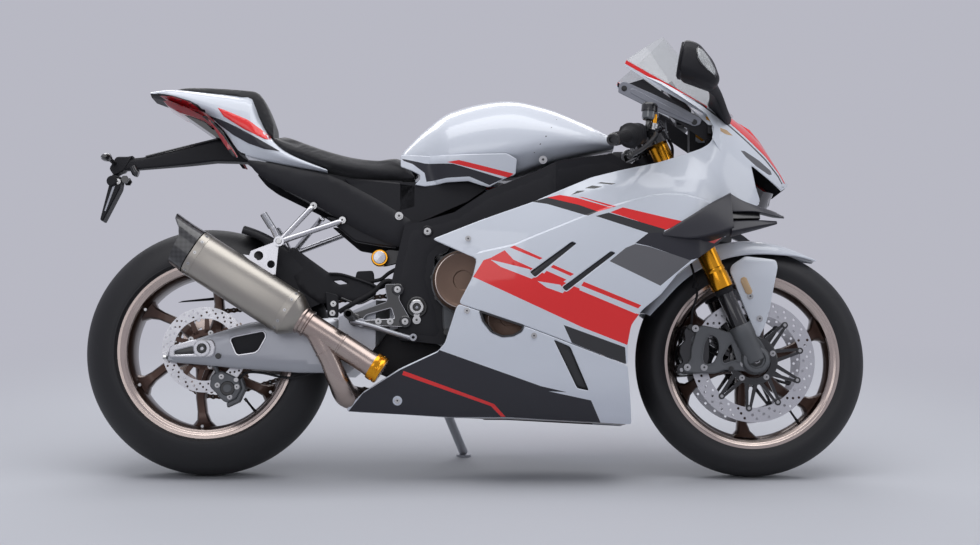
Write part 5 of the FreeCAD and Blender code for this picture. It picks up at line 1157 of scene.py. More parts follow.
NOSE_HALF = [(1080, [(0, 1150), (80, 1120), (120, 1085), (133, 1060), (137, 1030), (140, 980)]),
             (1200, [(0, 1085), (70, 1065), (115, 1030), (135, 1000), (145, 960), (150, 900)]),
             (1300, [(0, 1000), (70, 985), (115, 955), (140, 925), (160, 880), (178, 800)]),
             (1376, [(0, 952), (60, 935), (105, 895), (128, 850), (145, 800), (160, 690)]),
             (1445, [(0, 893), (50, 872), (85, 830), (105, 790), (112, 750), (110, 680)]),
             (1500, [(0, 812), (35, 800), (58, 778), (68, 755), (66, 735), (60, 690)]),
             (1521, [(0, 776), (12, 774), (20, 770), (24, 764), (22, 756), (18, 700)])]
CREASE = [(1060, 741), (1089, 738), (1131, 757), (1203, 746), (1261, 732), (1330, 712)]


def nose_width(x, z):
    """Half width of the nose at a place in the side view."""
    half = sections_at(NOSE_HALF, min(x, 1515))
    return spline([(b, a) for a, b in reversed(half[1:])], z)


STEP_DEEP = 5.5  # how far the panel above the step lies inside the one below it
RIDGE_START, CREASE_START, CREASE_END = RIDGE_LINE[0][0], 1040, 1340
NOSE_START, NOSE_BLEND, OVER_NOSE = 1250, 90, 1.2


def fairing_height(side):
    """The side panel's face: the body's width, with a step, a ridge and a crease, that runs onto the nose."""
    def height(x, z):
        y = skin(min(x, SKIN[-1][0]), z)
        over = z - line_at(STEP_LINE, x)
        y -= STEP_DEEP * max(0.0, min(1.0, over / 5.0))
        ridge = z - line_at(RIDGE_LINE, x)
        if x > RIDGE_START and ridge > 0:
            y -= (0.12 * ridge + 2.2 * min(1.0, ridge / 4)) * min(1.0, (x - RIDGE_START) / 60)
        rise = z - line_at(CREASE, x)
        if CREASE_START < x < CREASE_END and rise > 0:
            fade = min(1.0, (x - CREASE_START) / 60) * min(1.0, (CREASE_END - x) / 40)
            y += fade * (3.5 * min(1.0, rise / 4) - 0.03 * rise)
        if x > NOSE_START:
            share = smooth_step((x - NOSE_START) / NOSE_BLEND)
            y = y * (1 - share) + (nose_width(x, z) + OVER_NOSE) * share
        return side * y
    return height


FAIRING_OUTLINE = [(585, 596), (706, 644), (840, 692), (883, 711), (988, 758), (1059, 777), (1164, 801),
                   (1239, 828), (1278, 843), (1299, 856), (1308, 876), (1303, 901), (1286, 924), (1258, 958),
                   (1236, 986), (1286, 957), (1320, 932), (1355, 906), (1406, 864), (1453, 822), (1487, 780),
                   (1500, 756), (1493, 745), (1407, 804), (1418, 748), (1432, 708), (1404, 684), (1367, 644),
                   (1307, 586), (1208, 515), (1160, 456), (1114, 418), (1086, 380), (1077, 332),
                   (1078, 280.5), (832, 372.5), (653, 432.5), (688, 500), (698, 545)]
BELLY_OUTLINE = [(653, 431), (832, 371), (1078, 279), (1093, 133), (781, 149), (632, 149), (373, 163),
                 (370, 170), (415, 213), (506, 270), (602, 314), (619, 334), (646, 420)]
BELLY_LEFT = BELLY_OUTLINE[:5] + [(715, 149), (706, 262), (567, 298)] + BELLY_OUTLINE[10:]
VENTS = [[(831, 511), (937, 589), (949, 584), (844, 498)], [(912, 473), (1035, 565), (1047, 560), (922, 463)]]
MOON_WINDOW = [(704, 416), (818, 378), (812, 362), (790, 350), (762, 348), (734, 360), (712, 388)]
BELLY_VENT = [(891, 343), (933, 325), (981, 216), (951, 222)]
# two lines along the step, a little above each other, for its sharp edge
STEP_LOW = [(x, z) for x, z in STEP_LINE if 700 < x < 1300] + [(1330, 680)]
STEP_HIGH = [(x, z + 5) for x, z in STEP_LOW]

# painted fields: outlines in the side view, each laid over the ones before it
FAIRING_FIELDS = [([(715, 541), (689, 499), (836, 431), (963, 373), (1076, 330), (1108, 406), (1100, 408),
                    (955, 470), (860, 510), (790, 542), (768, 566), (733, 547)], RED),
                  ([(792, 578), (863, 546), (856, 542), (781, 573)], RED),
                  ([(733, 542), (830, 518), (844, 498), (835, 494), (758, 524)], WHITE),
                  ([(850, 488), (907, 479), (919, 464), (913, 458), (873, 472)], WHITE),
                  ([(890, 529), (942, 506), (933, 501), (883, 523)], RED),
                  ([(873, 514), (923, 492), (907, 481), (850, 488)], RED),
                  ([(958, 474), (1105, 416), (1097, 408), (955, 466)], WHITE),
                  ([(966, 487), (1111, 429), (1103, 421), (960, 477)], RED),
                  ([(916, 379), (1071, 324), (1074, 282), (937, 334)], BLACK_AND_SHADE),
                  ([(1031, 539), (1072, 573), (1096, 583), (1129, 577), (1237, 543), (1159, 478)], SLATE),
                  ([(1096, 585), (1129, 611), (1168, 614), (1200, 632), (1330, 700), (1330, 600), (1300, 560),
                    (1234, 543), (1129, 578)], DARK), ([(1268, 596), (1284, 607), (1322, 607), (1300, 590)],
                                                       RED), ([(836, 692), (876, 703), (955, 684),
                                                               (1004, 666), (978, 655), (876, 686)], BLACK_AND_SHADE),
                  ([(876, 703), (908, 710), (952, 702), (1039, 676), (1004, 666), (955, 684)], RED),
                  ([(955, 705), (966, 704), (1050, 680), (1042, 677)], RED),
                  ([(1034, 664), (1066, 677), (1194, 647), (1224, 641), (1173, 619)], RED),
                  ([(997, 654), (1030, 663), (1172, 621), (1168, 613), (1129, 611)], BLACK_AND_SHADE),
                  ([(936, 710), (952, 721), (972, 721), (955, 715)], BLACK_AND_SHADE),
                  ([(971, 728), (990, 736), (1016, 732), (996, 727)], BLACK_AND_SHADE),
                  ([(1003, 742), (1013, 745), (1051, 741), (1039, 738)], BLACK_AND_SHADE),
                  ([(1381, 841), (1392, 841), (1433, 819), (1465, 795), (1468, 785), (1459, 782), (1424, 801),
                    (1394, 825)], SLATE), ([(1292, 934), (1309, 928), (1322, 915), (1315, 912), (1294, 924)],
                                           AMBER), ([(1314, 903), (1345, 895), (1362, 881), (1349, 881),
                                                     (1319, 890)], BEIGE)]
# the dark field stops about 4 mm inside the belly's rear edge; the thin white rim left there is a painted
# highlight along that rounded edge
BELLY_FIELDS = [([(605, 316), (859, 227), (938, 209), (985, 196), (1014, 136.5), (781, 149.5), (632, 149.5),
                  (374, 163.5), (412, 208), (506, 266), (600, 310)], DARK), (circle(12, 16, 499, 190), WHITE),
                ([(880, 214), (985, 209), (991, 191)], WHITE),
                ([(515, 264), (743, 182), (772, 151), (761, 151), (735, 177), (512, 254)], RED)]


def side_panel(name, slot, node, side, outline, holes, fields, height, lines=()):
    """One of the fairing's painted panels."""
    shape = Shape()
    made = sheet(outline, height, 4.0, holes=holes, paints=[f for f, _ in fields], lines=lines, edge=2.0,
                 drop=1.6, step=16, sign=side)
    painted(shape, made, WHITE, [used for _, used in fields])
    return shape.piece(name, "chassis", slot, node, angle=22)


for side, word in SIDES:
    side_panel("fairing_" + word, "white_panels", "side_fairing_" + word, side,
               rounded(FAIRING_OUTLINE, 9, 2), [rounded(v, 4, 2) for v in VENTS], FAIRING_FIELDS,
               fairing_height(side), (STEP_LOW, STEP_HIGH))
    belly = BELLY_OUTLINE if side < 0 else BELLY_LEFT
    side_panel("belly_" + word, "white_panels", "belly_pan_" + word, side, rounded(belly, 6, 2),
               [rounded(MOON_WINDOW, 5, 2), rounded(BELLY_VENT, 5, 2)] if side < 0
               else [rounded(MOON_WINDOW, 5, 2)], BELLY_FIELDS, lambda x, z, s=side: s * skin(x, z))

# the underside of the belly, and the surrounds of the openings, with dark floors behind the vents that are
# painted shade
floor_shape = Shape()
rings = []
for x, z in ((392, 166), (500, 161), (632, 152.5), (715, 151.5), (781, 151.5), (900, 146),
             (1000, 141), (1085, 135.5)):
    half = skin(x, z) - 4
    left = half if x > 712 else -20
    rings.append([(x, -half, z), (x, -half * 0.5, z - 1), (x, 0, z - 1.5), (x, left * 0.5, z - 1),
                  (x, left, z), (x, left, z + 4), (x, 0, z + 3), (x, -half, z + 4)])
floor_shape.add(loft(rings), DARK)
floor_shape.piece("belly_floor", "chassis", "dark_panels", angle=30)


def lining(outline, height, depth, wall, side):
    """A rim and a sunken wall round an opening in a panel."""
    height, inner = surface(height), shrink(outline, wall)
    return loft_ring([[(x, height(x, z) + side * rise, z) for x, z in line] for line, rise in
                      ((outline, 0.6), (inner, 0.4), (inner, -depth), (outline, -depth))])


def loft_ring(rings):
    """A skin through rings of points that ends where it began."""
    count = len(rings[0])
    faces = []
    for a in range(len(rings)):
        b = (a + 1) % len(rings)
        faces += [(a * count + k, a * count + (k + 1) % count, b * count + (k + 1) % count, b * count + k)
                  for k in range(count)]
    return [p for ring in rings for p in ring], faces


def pocket(outline, height, depth, side):
    """A dark floor behind an opening: painted shade for the inside of the opening."""
    height = surface(height)
    return sheet(outline, lambda x, z: height(x, z) - side * depth, 2.0, edge=0.5,
                 drop=0.2, step=0, sign=side)


trim = Shape()
for side in BOTH:
    lie = fairing_height(side)
    plain = (lambda x, z, s=side: s * skin(x, z))
    for vent in VENTS:
        edge = rounded(vent, 4, 2)
        trim.add(lining(shrink(edge, -2.4), lie, 16, 2.2, side), WHITE)
        # a black floor behind each vent: painted shade inside the vent
        trim.add(pocket(shrink(edge, -1.5), lie, 15, side), BLACK_AND_SHADE)
    trim.add(lining(rounded(MOON_WINDOW, 5, 2), plain, 14, 4.5, side), BLACK_AND_SHADE)
    if side < 0:
        # a black floor behind the belly's vent: painted shade inside it
        trim.add(pocket(shrink(BELLY_VENT, -1.5), plain, 14, side), BLACK_AND_SHADE)
trim.piece("opening_walls_and_shade", "chassis", "dark_panels", angle=40)

# ------------------------------------------------------------ nose, screen and lamp
NOSE_OUTLINE = [(1083, 1074), (1291, 958), (1344, 967), (1376, 949), (1400, 960), (1560, 960), (1560, 766),
                (1521, 764), (1494, 744), (1408, 805), (1420, 740), (1428, 702), (1404, 682), (1367, 642),
                (1352, 720), (1341, 800), (1303, 869), (1310, 898), (1292, 936), (1227, 981), (1175, 1015),
                (1123, 1041), (1083, 1063)]
NOSE_EDGES, NOSE_THICK = (1, 30, 18, 12, 20, 1), 4
nose = carved("nose_skin", "chassis", ("nose_cowl",),
              (body_loft(NOSE_HALF, 40, NOSE_EDGES, 4), WHITE),
              [("INTERSECT", prism(NOSE_OUTLINE, -300, 300), WHITE),
               ("DIFFERENCE", body_loft(NOSE_HALF, 40, NOSE_EDGES, 4, inset=NOSE_THICK), PLASTIC)], angle=35)
decals("nose_paint", "chassis", "white_panels", nose,
       [([(1232, 994), (1288, 963), (1322, 938), (1357, 911), (1408, 869), (1455, 828), (1490, 785),
          (1504, 756), (1500, 754), (1487, 781), (1453, 823), (1406, 865), (1355, 907), (1320, 933),
          (1286, 958), (1232, 988)], BLACK_AND_SHADE)], lift=0.4, step=8)

decals("nose_red", "chassis", "white_panels", nose,
       [([(1334, 940), (1357, 920), (1408, 878), (1455, 836), (1490, 794), (1504, 768), (1511, 768),
          (1489, 806), (1463, 850), (1432, 905), (1394, 937), (1372, 946), (1350, 948)], RED)], lift=0.9,
       step=6)
top = [(1374, 949), (1400, 934), (1425, 918), (1448, 889), (1468, 860), (1494, 816), (1519, 778)]
rings = []
for (x, z), wide in zip(top, (3, 9, 13, 15, 15, 12, 5)):
    rings.append([(x - 2, -wide, z - 3 - wide * 0.35), (x, -wide * 0.5, z + 0.3), (x + 0.6, 0, z + 1.2),
                  (x, wide * 0.5, z + 0.3), (x - 2, wide, z - 3 - wide * 0.35), (x - 6, 0, z - 8)])
Shape().add(loft(rings), RED).piece("nose_blade", "chassis", "white_panels", angle=50)

# the screen from its foot up: its middle's place and height, its edge's place, half width and height
SCREEN_ROWS = [(1382, 953, 1298, 113, 962), (1330, 1014, 1232, 122, 998.5), (1268, 1088, 1160, 128, 1038),
               (1199, 1169, 1086, 132, 1079.5)]


def screen_row(t):
    """The screen's row at t, from 0 at its foot to 3 at its top."""
    return [spline([(k, row[c]) for k, row in enumerate(SCREEN_ROWS)], t) for c in range(5)]


def screen_grid(out):
    """Points over the screen's bowed face, moved outwards."""
    rows, across, grid = 20, 24, []
    for i in range(rows + 1):
        cx, cz, sx, half, sz = screen_row(i / rows * 3)
        line = []
        for j in range(across + 1):
            u = -1 + 2 * j / across
            x, y, z = cx + (sx - cx) * u * u, half * u, cz + (sz - cz) * u * u
            n = Vector((0.75 - 0.2 * abs(u), 0.75 * u, 0.6)).normalized()
            line.append(tuple(Vector((x, y, z)) + n * out))
        grid.append(line)
    return grid


def grid_faces(front, back):
    """A thin curved sheet between two grids of points."""
    rows, across = len(front), len(front[0])
    points = [p for line in front for p in line] + [p for line in back for p in line]
    off = rows * across
    faces = []
    for i in range(rows - 1):
        for j in range(across - 1):
            a, b, c, d = i * across + j, i * across + j + 1, (i + 1) * across + j + 1, (i + 1) * across + j
            faces += [(a, b, c, d), (a + off, d + off, c + off, b + off)]
    border = ([(0, j) for j in range(across)] + [(i, across - 1) for i in range(1, rows)]
              + [(rows - 1, j) for j in range(across - 2, -1, -1)] + [(i, 0) for i in range(rows - 2, 0, -1)])
    for (i, j), (k, l) in zip(border, border[1:] + border[:1]):
        a, b = i * across + j, k * across + l
        faces.append((b, a, a + off, b + off))
    return points, faces


Shape().add(grid_faces(screen_grid(0), screen_grid(-3)), SCREEN).piece(
    "clear_screen", "chassis", "smoked_screen", "windscreen", angle=60)

screen_edge = Shape()
for s in BOTH:
    for low, high, used, out in ((-11, -2.5, RED, 2.4), (-22, -11, WHITE, 2.0)):
        rings = []
        for k in range(19):
            t = k / 18 * 3
            _, _, sx, half, sz = screen_row(t)
            fade = 1 if used is RED else 0.35 + 0.65 * min(1, (3 - t) / 1.5 + 0.2)
            rings.append([(sx + lift * 0.4, s * (half + y), sz + lift)
                          for y, lift in ((-1, high), (out, high), (out, high + (low - high) * fade),
                                          (-1, high + (low - high) * fade))])
        screen_edge.add(loft(rings), used)
screen_edge.piece("screen_edge", "chassis", "white_panels", angle=35)

LAMP_HALF, LAMP_SWEEP, LAMP_FALL = 86, 38, 4
side_line = [(1414, 796), (1484, 744), (1466, 704), (1434, 706)]
rings = []
for u in (k / 6 for k in range(-6, 7)):
    pull = LAMP_SWEEP * abs(u) ** 2.2
    rings.append([(x - pull, LAMP_HALF * u, z - LAMP_FALL * abs(u)) for x, z in side_line])
lamp_shape = Shape().add(loft(rings), GLOSS)
for s in BOTH:
    for x, z, r in ((1466, 727, 15), (1452, 742, 10)):
        centre = (x - 10, s * (30 + (15 if r < 12 else 0)), z)
        lamp_shape.add(disc_solid(centre, (1, s * 0.25, -0.28), r, 14, 24, 2), LENS)
        lamp_shape.add(lathe([(r, 0), (r + 3, 0), (r + 3, 13), (r, 15)], centre, (1, s * 0.25, -0.28), 28),
                       STEEL)
lamp_shape.piece("lamp_unit", "chassis", "grey_lens", "headlight", angle=35)

# ------------------------------------------------------------ winglets
def along_loft(sections, slices, radius):
    """A loft through upright sections, from the rear to the front."""
    return slice_loft(sections, slices, radius, lambda x, y, z: (x, y, z))


WING_PANEL = [(1166, [(190, 613), (236, 613), (238, 604), (190, 602)]),
              (1240, [(190, 660), (234, 658), (246, 598), (190, 590)]),
              (1290, [(190, 692), (232, 690), (256, 608), (214, 592)]),
              (1340, [(190, 720), (226, 716), (270, 622), (238, 608)])]
UPPER_BLADE = [(1338, [(190, 720), (226, 715), (246, 664), (200, 660)]),
               (1367, [(200, 700), (234, 696), (256, 664), (212, 660)]),
               (1402, [(214, 684), (246, 680), (264, 662), (230, 660)]),
               (1440, [(236, 668), (254, 666), (278, 650), (252, 648)]),
               (1464, [(256, 654), (264, 653), (284, 645), (272, 643)])]
LOWER_BLADE = [(1336, [(214, 644), (254, 640), (270, 612), (238, 600)]),
               (1400, [(232, 645), (266, 641), (280, 624), (256, 616)]),
               (1446, [(264, 639), (276, 637), (286, 631), (274, 628)])]
winglet = Shape().add(along_loft(WING_PANEL, 16, 6), DARK)
winglet.add(along_loft(UPPER_BLADE, 16, 5), DARK)
winglet.add(along_loft(LOWER_BLADE, 12, 5), DARK)
# a near-black block in the gap between the two blades: painted shade in the slot between them
winglet.add(along_loft([(1326, [(196, 664), (240, 662), (250, 646), (214, 644)]),
                          (1408, [(214, 664), (250, 662), (258, 646), (238, 644)])], 4, 3), BLACK_AND_SHADE)
winglet.add(tube([(1336, 226, 690), (1398, 240, 677), (1440, 256, 662), (1462, 268, 651)], 1.6, 8), ALLOY)
winglet.piece("winglet_panel_left", "chassis", "dark_panels", "winglet_left", angle=35)
winglet.mirrored().piece("winglet_panel_right", "chassis", "dark_panels", "winglet_right", angle=35)
screws("panel_screws", "chassis", [((x, s * (skin(x, z) + 0.6), z), (0, s, 0))
                                   for x, z, sides in ((676, 596, (-1, 1)), (674, 414, (-1,)),
                                                       (842, 352, (-1, 1)), (499, 190, (-1,)))
                                   for s in sides], 5, 2)


# ------------------------------------------------------------ fork, castings, calipers and front fender
legs = Shape()
gold_line = [(24, 200), (27.6, 202), (28.2, 206), (28.2, 238), (27, 243), (26.2, 262), (26.4, 300),
             (26.4, 664), (24, 668)]
legs.add(lathe([(22, 200)] + gold_line + [(0.01, 668)], RIGHT_LEG, STEER, 56, closed=False), GOLD)
legs.add(lathe([(26.9, 248), (27.5, 250), (27.5, 256), (26.9, 258)], RIGHT_LEG, STEER, 56, closed=False),
         GOLD)
legs.add(lathe([(0.01, 669), (19, 669), (21, 667), (23, 664)], RIGHT_LEG, STEER, 40, closed=False), COVER)
legs.add(lathe([(9, 668), (9, 672), (6, 672), (6, 669)], RIGHT_LEG, STEER, 6), STEEL)
legs.both().piece("fork_tubes_gold", "steering", "gold_fork", "fork_outer_tubes", angle=35)

CASTING = [(1337, 275), (1313, 264), (1233, 267), (1227, 278), (1249, 302), (1249, 326), (1263, 374),
           (1276, 390), (1319, 381), (1350, 370), (1372, 384), (1404, 392), (1415, 365), (1431, 349),
           (1445, 323), (1446, 294), (1435, 274), (1416, 265), (1397, 270)]
WINDOW_A = [(1298, 365), (1317, 357), (1323, 332), (1318, 310), (1308, 292), (1286, 287),
            (1280, 302), (1285, 339)]
WINDOW_B = [(1351, 340), (1364, 337), (1376, 317), (1372, 302), (1332, 290), (1331, 307)]
foot = Shape()
foot.add(flat_plate(rounded(CASTING, 9, 3), -95, -109, holes=[rounded(WINDOW_A, 8, 3),
                                                              rounded(WINDOW_B, 8, 3)], chamfer=2.6), CAST)
for window in (WINDOW_A, WINDOW_B):
    rim = rounded(window, 8, 3)
    foot.add(lining(shrink(rim, -3.5), -110.2, 12, 3.2, -1), CAST)
foot.add(lathe([(21.3, -6), (27, -4), (28.5, 0), (28.5, 62), (30, 66), (30, 92), (28, 96), (21.4, 97)],
               RIGHT_LEG, STEER, 40), CAST)
foot.add(lathe([(10, 86), (36, 86), (38, 89), (38, 112), (34, 118), (33, 121), (27, 124), (24, 124),
                (22, 120), (14, 119), (10, 118)], FORK, -Y, 56), CAST)
foot.add(lathe([(9, 118), (17, 118), (18, 122), (16, 124), (10, 124)], FORK, -Y, 8), BLACKSTEEL)
foot.add(loft([[Vector(p) + Vector((0, y, 0)) for p in (fork(10, -33), fork(58, -28), fork(66, -40),
                                                        fork(14, -46))] for y in (-98, -112)]), CAST)
foot.both().piece("fork_feet", "steering", "steel", "fork_lowers", angle=34, bevel=0.7)
slider = Shape()
slider.add(lathe([(21, 90), (21, 200), (19.5, 202), (14, 202), (14, 90)], RIGHT_LEG, STEER, 48), GLOSS)
slider.add(lathe([(21.4, 186), (24.4, 188), (24.4, 199), (21.4, 200)], RIGHT_LEG, STEER, 48), RUBBER)
slider.both().piece("fork_sliders", "steering", "black_parts", angle=40)
screws("foot_screws", "steering", [(p, (0, s, 0)) for s in BOTH
                                   for p in ((1240, s * 109, 280), (1262, s * 109, 380), (1283, s * 109, 280),
                                             (1385, s * 109, 290))], 6, 4)
screws("foot_pinch_screws", "steering", [((x, s * 112, z), (0, s, 0)) for s in BOTH for x, z in
                                         ((1396, 312), (1424, 268), (1352, 276))], 4.5, 3.5, BLACKSTEEL)


def make_caliper():
    """A four-piston block that straddles the disc, with pads, pins and a banjo."""
    shape = Shape()
    outline = [(1242, 388), (1268, 392), (1262, 356), (1256, 330), (1253, 304), (1240, 270), (1228, 262),
               (1212, 272), (1217, 286), (1230, 294), (1221, 318), (1223, 336), (1236, 350), (1233, 374)]
    back = [(1240, 388), (1290, 388), (1300, 350), (1300, 305), (1285, 266), (1228, 262), (1212, 272),
            (1217, 286), (1230, 294), (1221, 318), (1223, 336), (1236, 350), (1233, 374)]
    shape.add(flat_plate(rounded(back, 5, 2), -77, -94, chamfer=2.2), GLOSS)
    shape.add(flat_plate(rounded(outline, 4, 2), -94, -99, chamfer=1.6), GLOSS)
    shape.add(flat_plate(rounded(back, 5, 2), -46, -60, chamfer=2.2), GLOSS)
    bridge = [(1233, 374), (1245, 372), (1243, 352), (1236, 340), (1233, 318), (1238, 294), (1232, 282),
              (1217, 286), (1230, 294), (1221, 318), (1223, 336), (1236, 350)]
    shape.add(flat_plate(rounded(bridge, 2, 1), -58, -79, chamfer=0.8), GLOSS)
    for x, z in ((1262, 352), (1262, 306)):
        shape.add(disc_solid((x, -93, z), -Y, 17, 5, 32, 2), BLACKSTEEL)
        shape.add(disc_solid((x, -97, z), -Y, 11, 2.4, 28, 1), CAST)
    shape.add(flat_plate([(1268, 366), (1277, 362), (1279, 296), (1270, 292)], -73.6, -77, chamfer=0.5),
              STEEL)
    shape.add(flat_plate([(1268, 366), (1277, 362), (1279, 296), (1270, 292)], -60, -62.5, chamfer=0.5),
              STEEL)
    shape.add(disc_solid((1246, -44, 330), -Y, 3.2, 52, 12), STEEL)
    shape.add(disc_solid((1250, -99, 384), -Y, 7, 6, 20), STEEL)
    shape.add(disc_solid((1226, -99, 274), -Y, 6, 3, 6), STEEL)
    return shape.both()


make_caliper().piece("caliper_blocks", "steering", "black_parts", "front_calipers", angle=35)

FENDER_WIDTH = ((56, 26), (62, 46), (72, 62), (90, 72), (120, 76), (150, 74), (157, 66))
FENDER_DROP = ((56, 4), (64, 12), (76, 30), (92, 40), (120, 43), (145, 38), (157, 22))
rings = []
for k in range(61):
    a = 56.5 + (156.5 - 56.5) * k / 60
    wide, drop = spline(FENDER_WIDTH, a), spline(FENDER_DROP, a)
    top = 316 + 3 * math.sin(math.radians((a - 56) * 1.8))
    turned = math.radians(a)
    lift = 8 * max(0, (66 - a) / 10) ** 2
    half = []
    for u in range(11):
        t = u / 10
        bulge = math.sin(t * math.pi / 2)
        half.append((top + lift - drop * (1 - math.cos(t * math.pi / 2)) ** 1.25, wide * bulge ** 0.92))
    outer = [(r, y) for r, y in reversed(half)] + [(r, -y) for r, y in half[1:]]
    inner = [(r - 2.6, y * 0.965) for r, y in reversed(outer)]
    rings.append([(FX + math.cos(turned) * r, y, FZ + math.sin(turned) * r) for r, y in outer + inner])
fender = Shape().add(loft(rings), WHITE)
PLATE = [(1362, 548), (1398, 572), (1452, 566), (1478, 562), (1482, 545), (1472, 500), (1458, 430),
         (1446, 390), (1430, 360), (1423, 362), (1402, 414), (1376, 480), (1356, 532)]
REFLECTOR = [(1384, 512), (1392, 517), (1399, 514), (1414, 480), (1411, 471), (1402, 470),
             (1396, 475), (1384, 503)]


def plate_height(x, z):
    """Half width over the fender's side plate, which leans out towards the hub."""
    return 83.5 - 9 * smooth_step((math.hypot(x - FX, z - FZ) - 215) / 75)


for s in BOTH:
    fender.add(sheet(rounded(PLATE, 7, 3), lambda x, z: s * plate_height(x, z), 3.2, edge=1.6, drop=1.4,
                     step=12, sign=s), WHITE)
    fender.add(sheet(REFLECTOR, lambda x, z: s * (plate_height(x, z) + 2.4), 2.6, edge=1.8, drop=1.4, step=0,
                     sign=s), BEIGE)
fender.piece("fender_front", "steering", "white_panels", "front_fender", angle=40)
screws("fender_screws", "steering", [((x, s * y, z), (0, s, 0)) for s in BOTH for x, y, z in
                                     ((1408, 84, 466), (1432, 84, 408))], 5.5, 2.6)
hose = Shape()
for s in BOTH:
    hose.add(tube([(1252, s * 102, 386), (1256, s * 104, 430), (1268, s * 100, 470), (1262, s * 92, 520),
                   (1240, s * 78, 600)], 3.2, 10), RUBBER)
    hose.add(disc_solid((1250, s * 99, 384), (0, s, 0), 7.5, 9, 20), BLACKSTEEL)
    hose.add(disc_solid((1262, s * 96, 484), (0.3, 0, 1), 8, 18, 12, 2), RUBBER)
hose.piece("brake_hoses", "steering", "rubber_black", angle=40)
keep_cad(GLOSS, "upper_clamp", "lower_clamp")
keep_cad(STEEL, "front_axle", "rear_axle")


# ------------------------------------------------------------ frame, swingarm and rear end
SPAR = [(1172, 812), (1090, 816), (1050, 838), (912, 812), (848, 782), (726, 733), (640, 676), (551, 650),
        (513, 645), (495, 565), (478, 487), (489, 423), (502, 346), (617, 334), (622, 372), (604, 449),
        (584, 501), (590, 560), (640, 590), (720, 618), (860, 640), (985, 672), (1096, 690), (1172, 742)]
SPAR_FACE = ((450, 135.8), (700, 135.8), (900, 147.5), (1080, 84.8), (1172, 52))


def spar_face(x, z):
    """Half width over the frame's spar, with rims that roll inwards."""
    return line_at(SPAR_FACE, x) - 3.5 * (1 - smooth_step(edge_distance(x, z, SPAR) / 26))


for side, word in SIDES:
    spar = Shape()
    spar.add(sheet(rounded(SPAR, 12, 3), lambda x, z, s=side: s * spar_face(x, z), 3.0, edge=3.5, drop=2.4,
                   step=17, sign=side), FRAME)
    for x, z, r in ((571, 626, 15), (545, 430, 27)):
        spar.add(lathe([(r, 0), (r, 5), (r - 2, 6.5), (r - 5, 6.5), (r - 6, 5), (r - 6, 2), (4, 2), (4, 0)],
                       (x, side * (135.4 - (3.5 if r == 15 else 1)), z), (0, side, 0), 36),
                 FRAME if r == 15 else BLACKSTEEL)
    spar.add(lathe([(9, 0), (19, 0), (19, 7), (17, 8.5), (11, 8.5), (9, 6)], (545, side * 136, 430),
                   (0, side, 0), 32), STEEL)
    spar.add(lathe([(4, 0), (10, 0), (11, 4), (9, 6), (5, 6), (4, 4)], (545, side * 137, 430),
                   (0, side, 0), 8), BLACKSTEEL)
    spar.add(loft([[(537, y, 414), (553, y, 414), (549, y, 392), (541, y, 392)]
                   for y in (side * 136, side * 141)]), STEEL)
    spar.piece("spar_skin_" + word, "chassis", "black_frame", angle=28)
keep_cad(FRAME, "frame_spar_right", "frame_spar_left", "head_tube")
screws("frame_screws", "chassis", [((x, s * y, z), (0, s, 0)) for s in BOTH
                                   for x, y, z in ((571, 136, 626), (545, 140, 397), (868, 144, 812),
                                                   (1120, 72, 716))], 7, 4.5)

ARM = [(-92, 290), (-92, 306), (-84, 324), (-62, 334), (116, 389), (167, 397), (250, 396), (344.7, 404),
       (344.7, 262), (246, 262), (93, 273), (-61, 287)]
AXLE_BLOCK = [(-84, 299), (-84, 327), (-21, 345), (27, 345), (34, 330), (31, 307), (20, 300)]
AXLE_SLOT = [(-70, 306), (-70, 316), (-24, 328), (-20, 322), (-20, 308)]
INSET = [(71, 346), (80, 351), (155, 366), (161, 354), (143, 320), (134, 313), (92, 307), (86, 311)]


def arm_face(x, z):
    """Half width over the swingarm's side: its taper to the rear, a swell in the middle and rounded rims."""
    taper = 5.0 * smooth_step(((344 - x) / 344 - 0.25) * 1.2)
    swell = 3.5 * smooth_step((x - 60) / 160)
    rim = 10 * (1 - smooth_step(edge_distance(x, z, ARM) / 22))
    return 146.4 - taper + swell - rim


for side, word in SIDES:
    arm = Shape()
    arm.add(sheet(rounded(ARM, 12, 3), lambda x, z, s=side: s * arm_face(x, z), 26,
                  holes=[rounded(INSET, 5, 2)], edge=4, drop=3.2, step=15, sign=side), ALLOY)
    lie = (lambda x, z, s=side: s * (arm_face(x, z) + 0.4))
    arm.add(lining(shrink(rounded(INSET, 5, 2), -3), lie, 9, 3, side), SILVER)
    # a black plastic floor in the inset: painted shade in the recess
    arm.add(pocket(rounded(INSET, 5, 2), lie, 5, side), PLASTIC)
    arm.add(sheet(rounded(AXLE_BLOCK, 9, 3), side * 148.5, 10, holes=[rounded(AXLE_SLOT, 4, 2)], edge=2.5,
                  drop=2, step=0, sign=side), SILVER)
    # a black floor in the axle slot: painted shade in the slot
    arm.add(pocket(AXLE_SLOT, side * 146, 1, side), BLACK_AND_SHADE)
    arm.add(lathe([(11, 0), (22, 0), (22, 5), (20, 7), (13, 7), (11, 5)], (0, side * 146, 322),
                  (0, side, 0), 36), SILVER)
    arm.add(lathe([(5, 0), (12, 0), (13, 8), (10, 10), (6, 10), (5, 7)], (0, side * 147, 322),
                  (0, side, 0), 8), BLACKSTEEL)
    arm.add(disc_solid((41, side * 142, 303), (0, side, 0), 7.5, 5.5, 24), BLACKSTEEL)
    arm.add(disc_solid((-92, side * 132, 300), (-1, 0, 0), 6, 9, 6), STEEL)
    arm.piece("swingarm_skin_" + word, "chassis", "silver_arm", "swingarm_" + word, angle=28)
keep_cad(ALLOY, "swingarm_bridge")


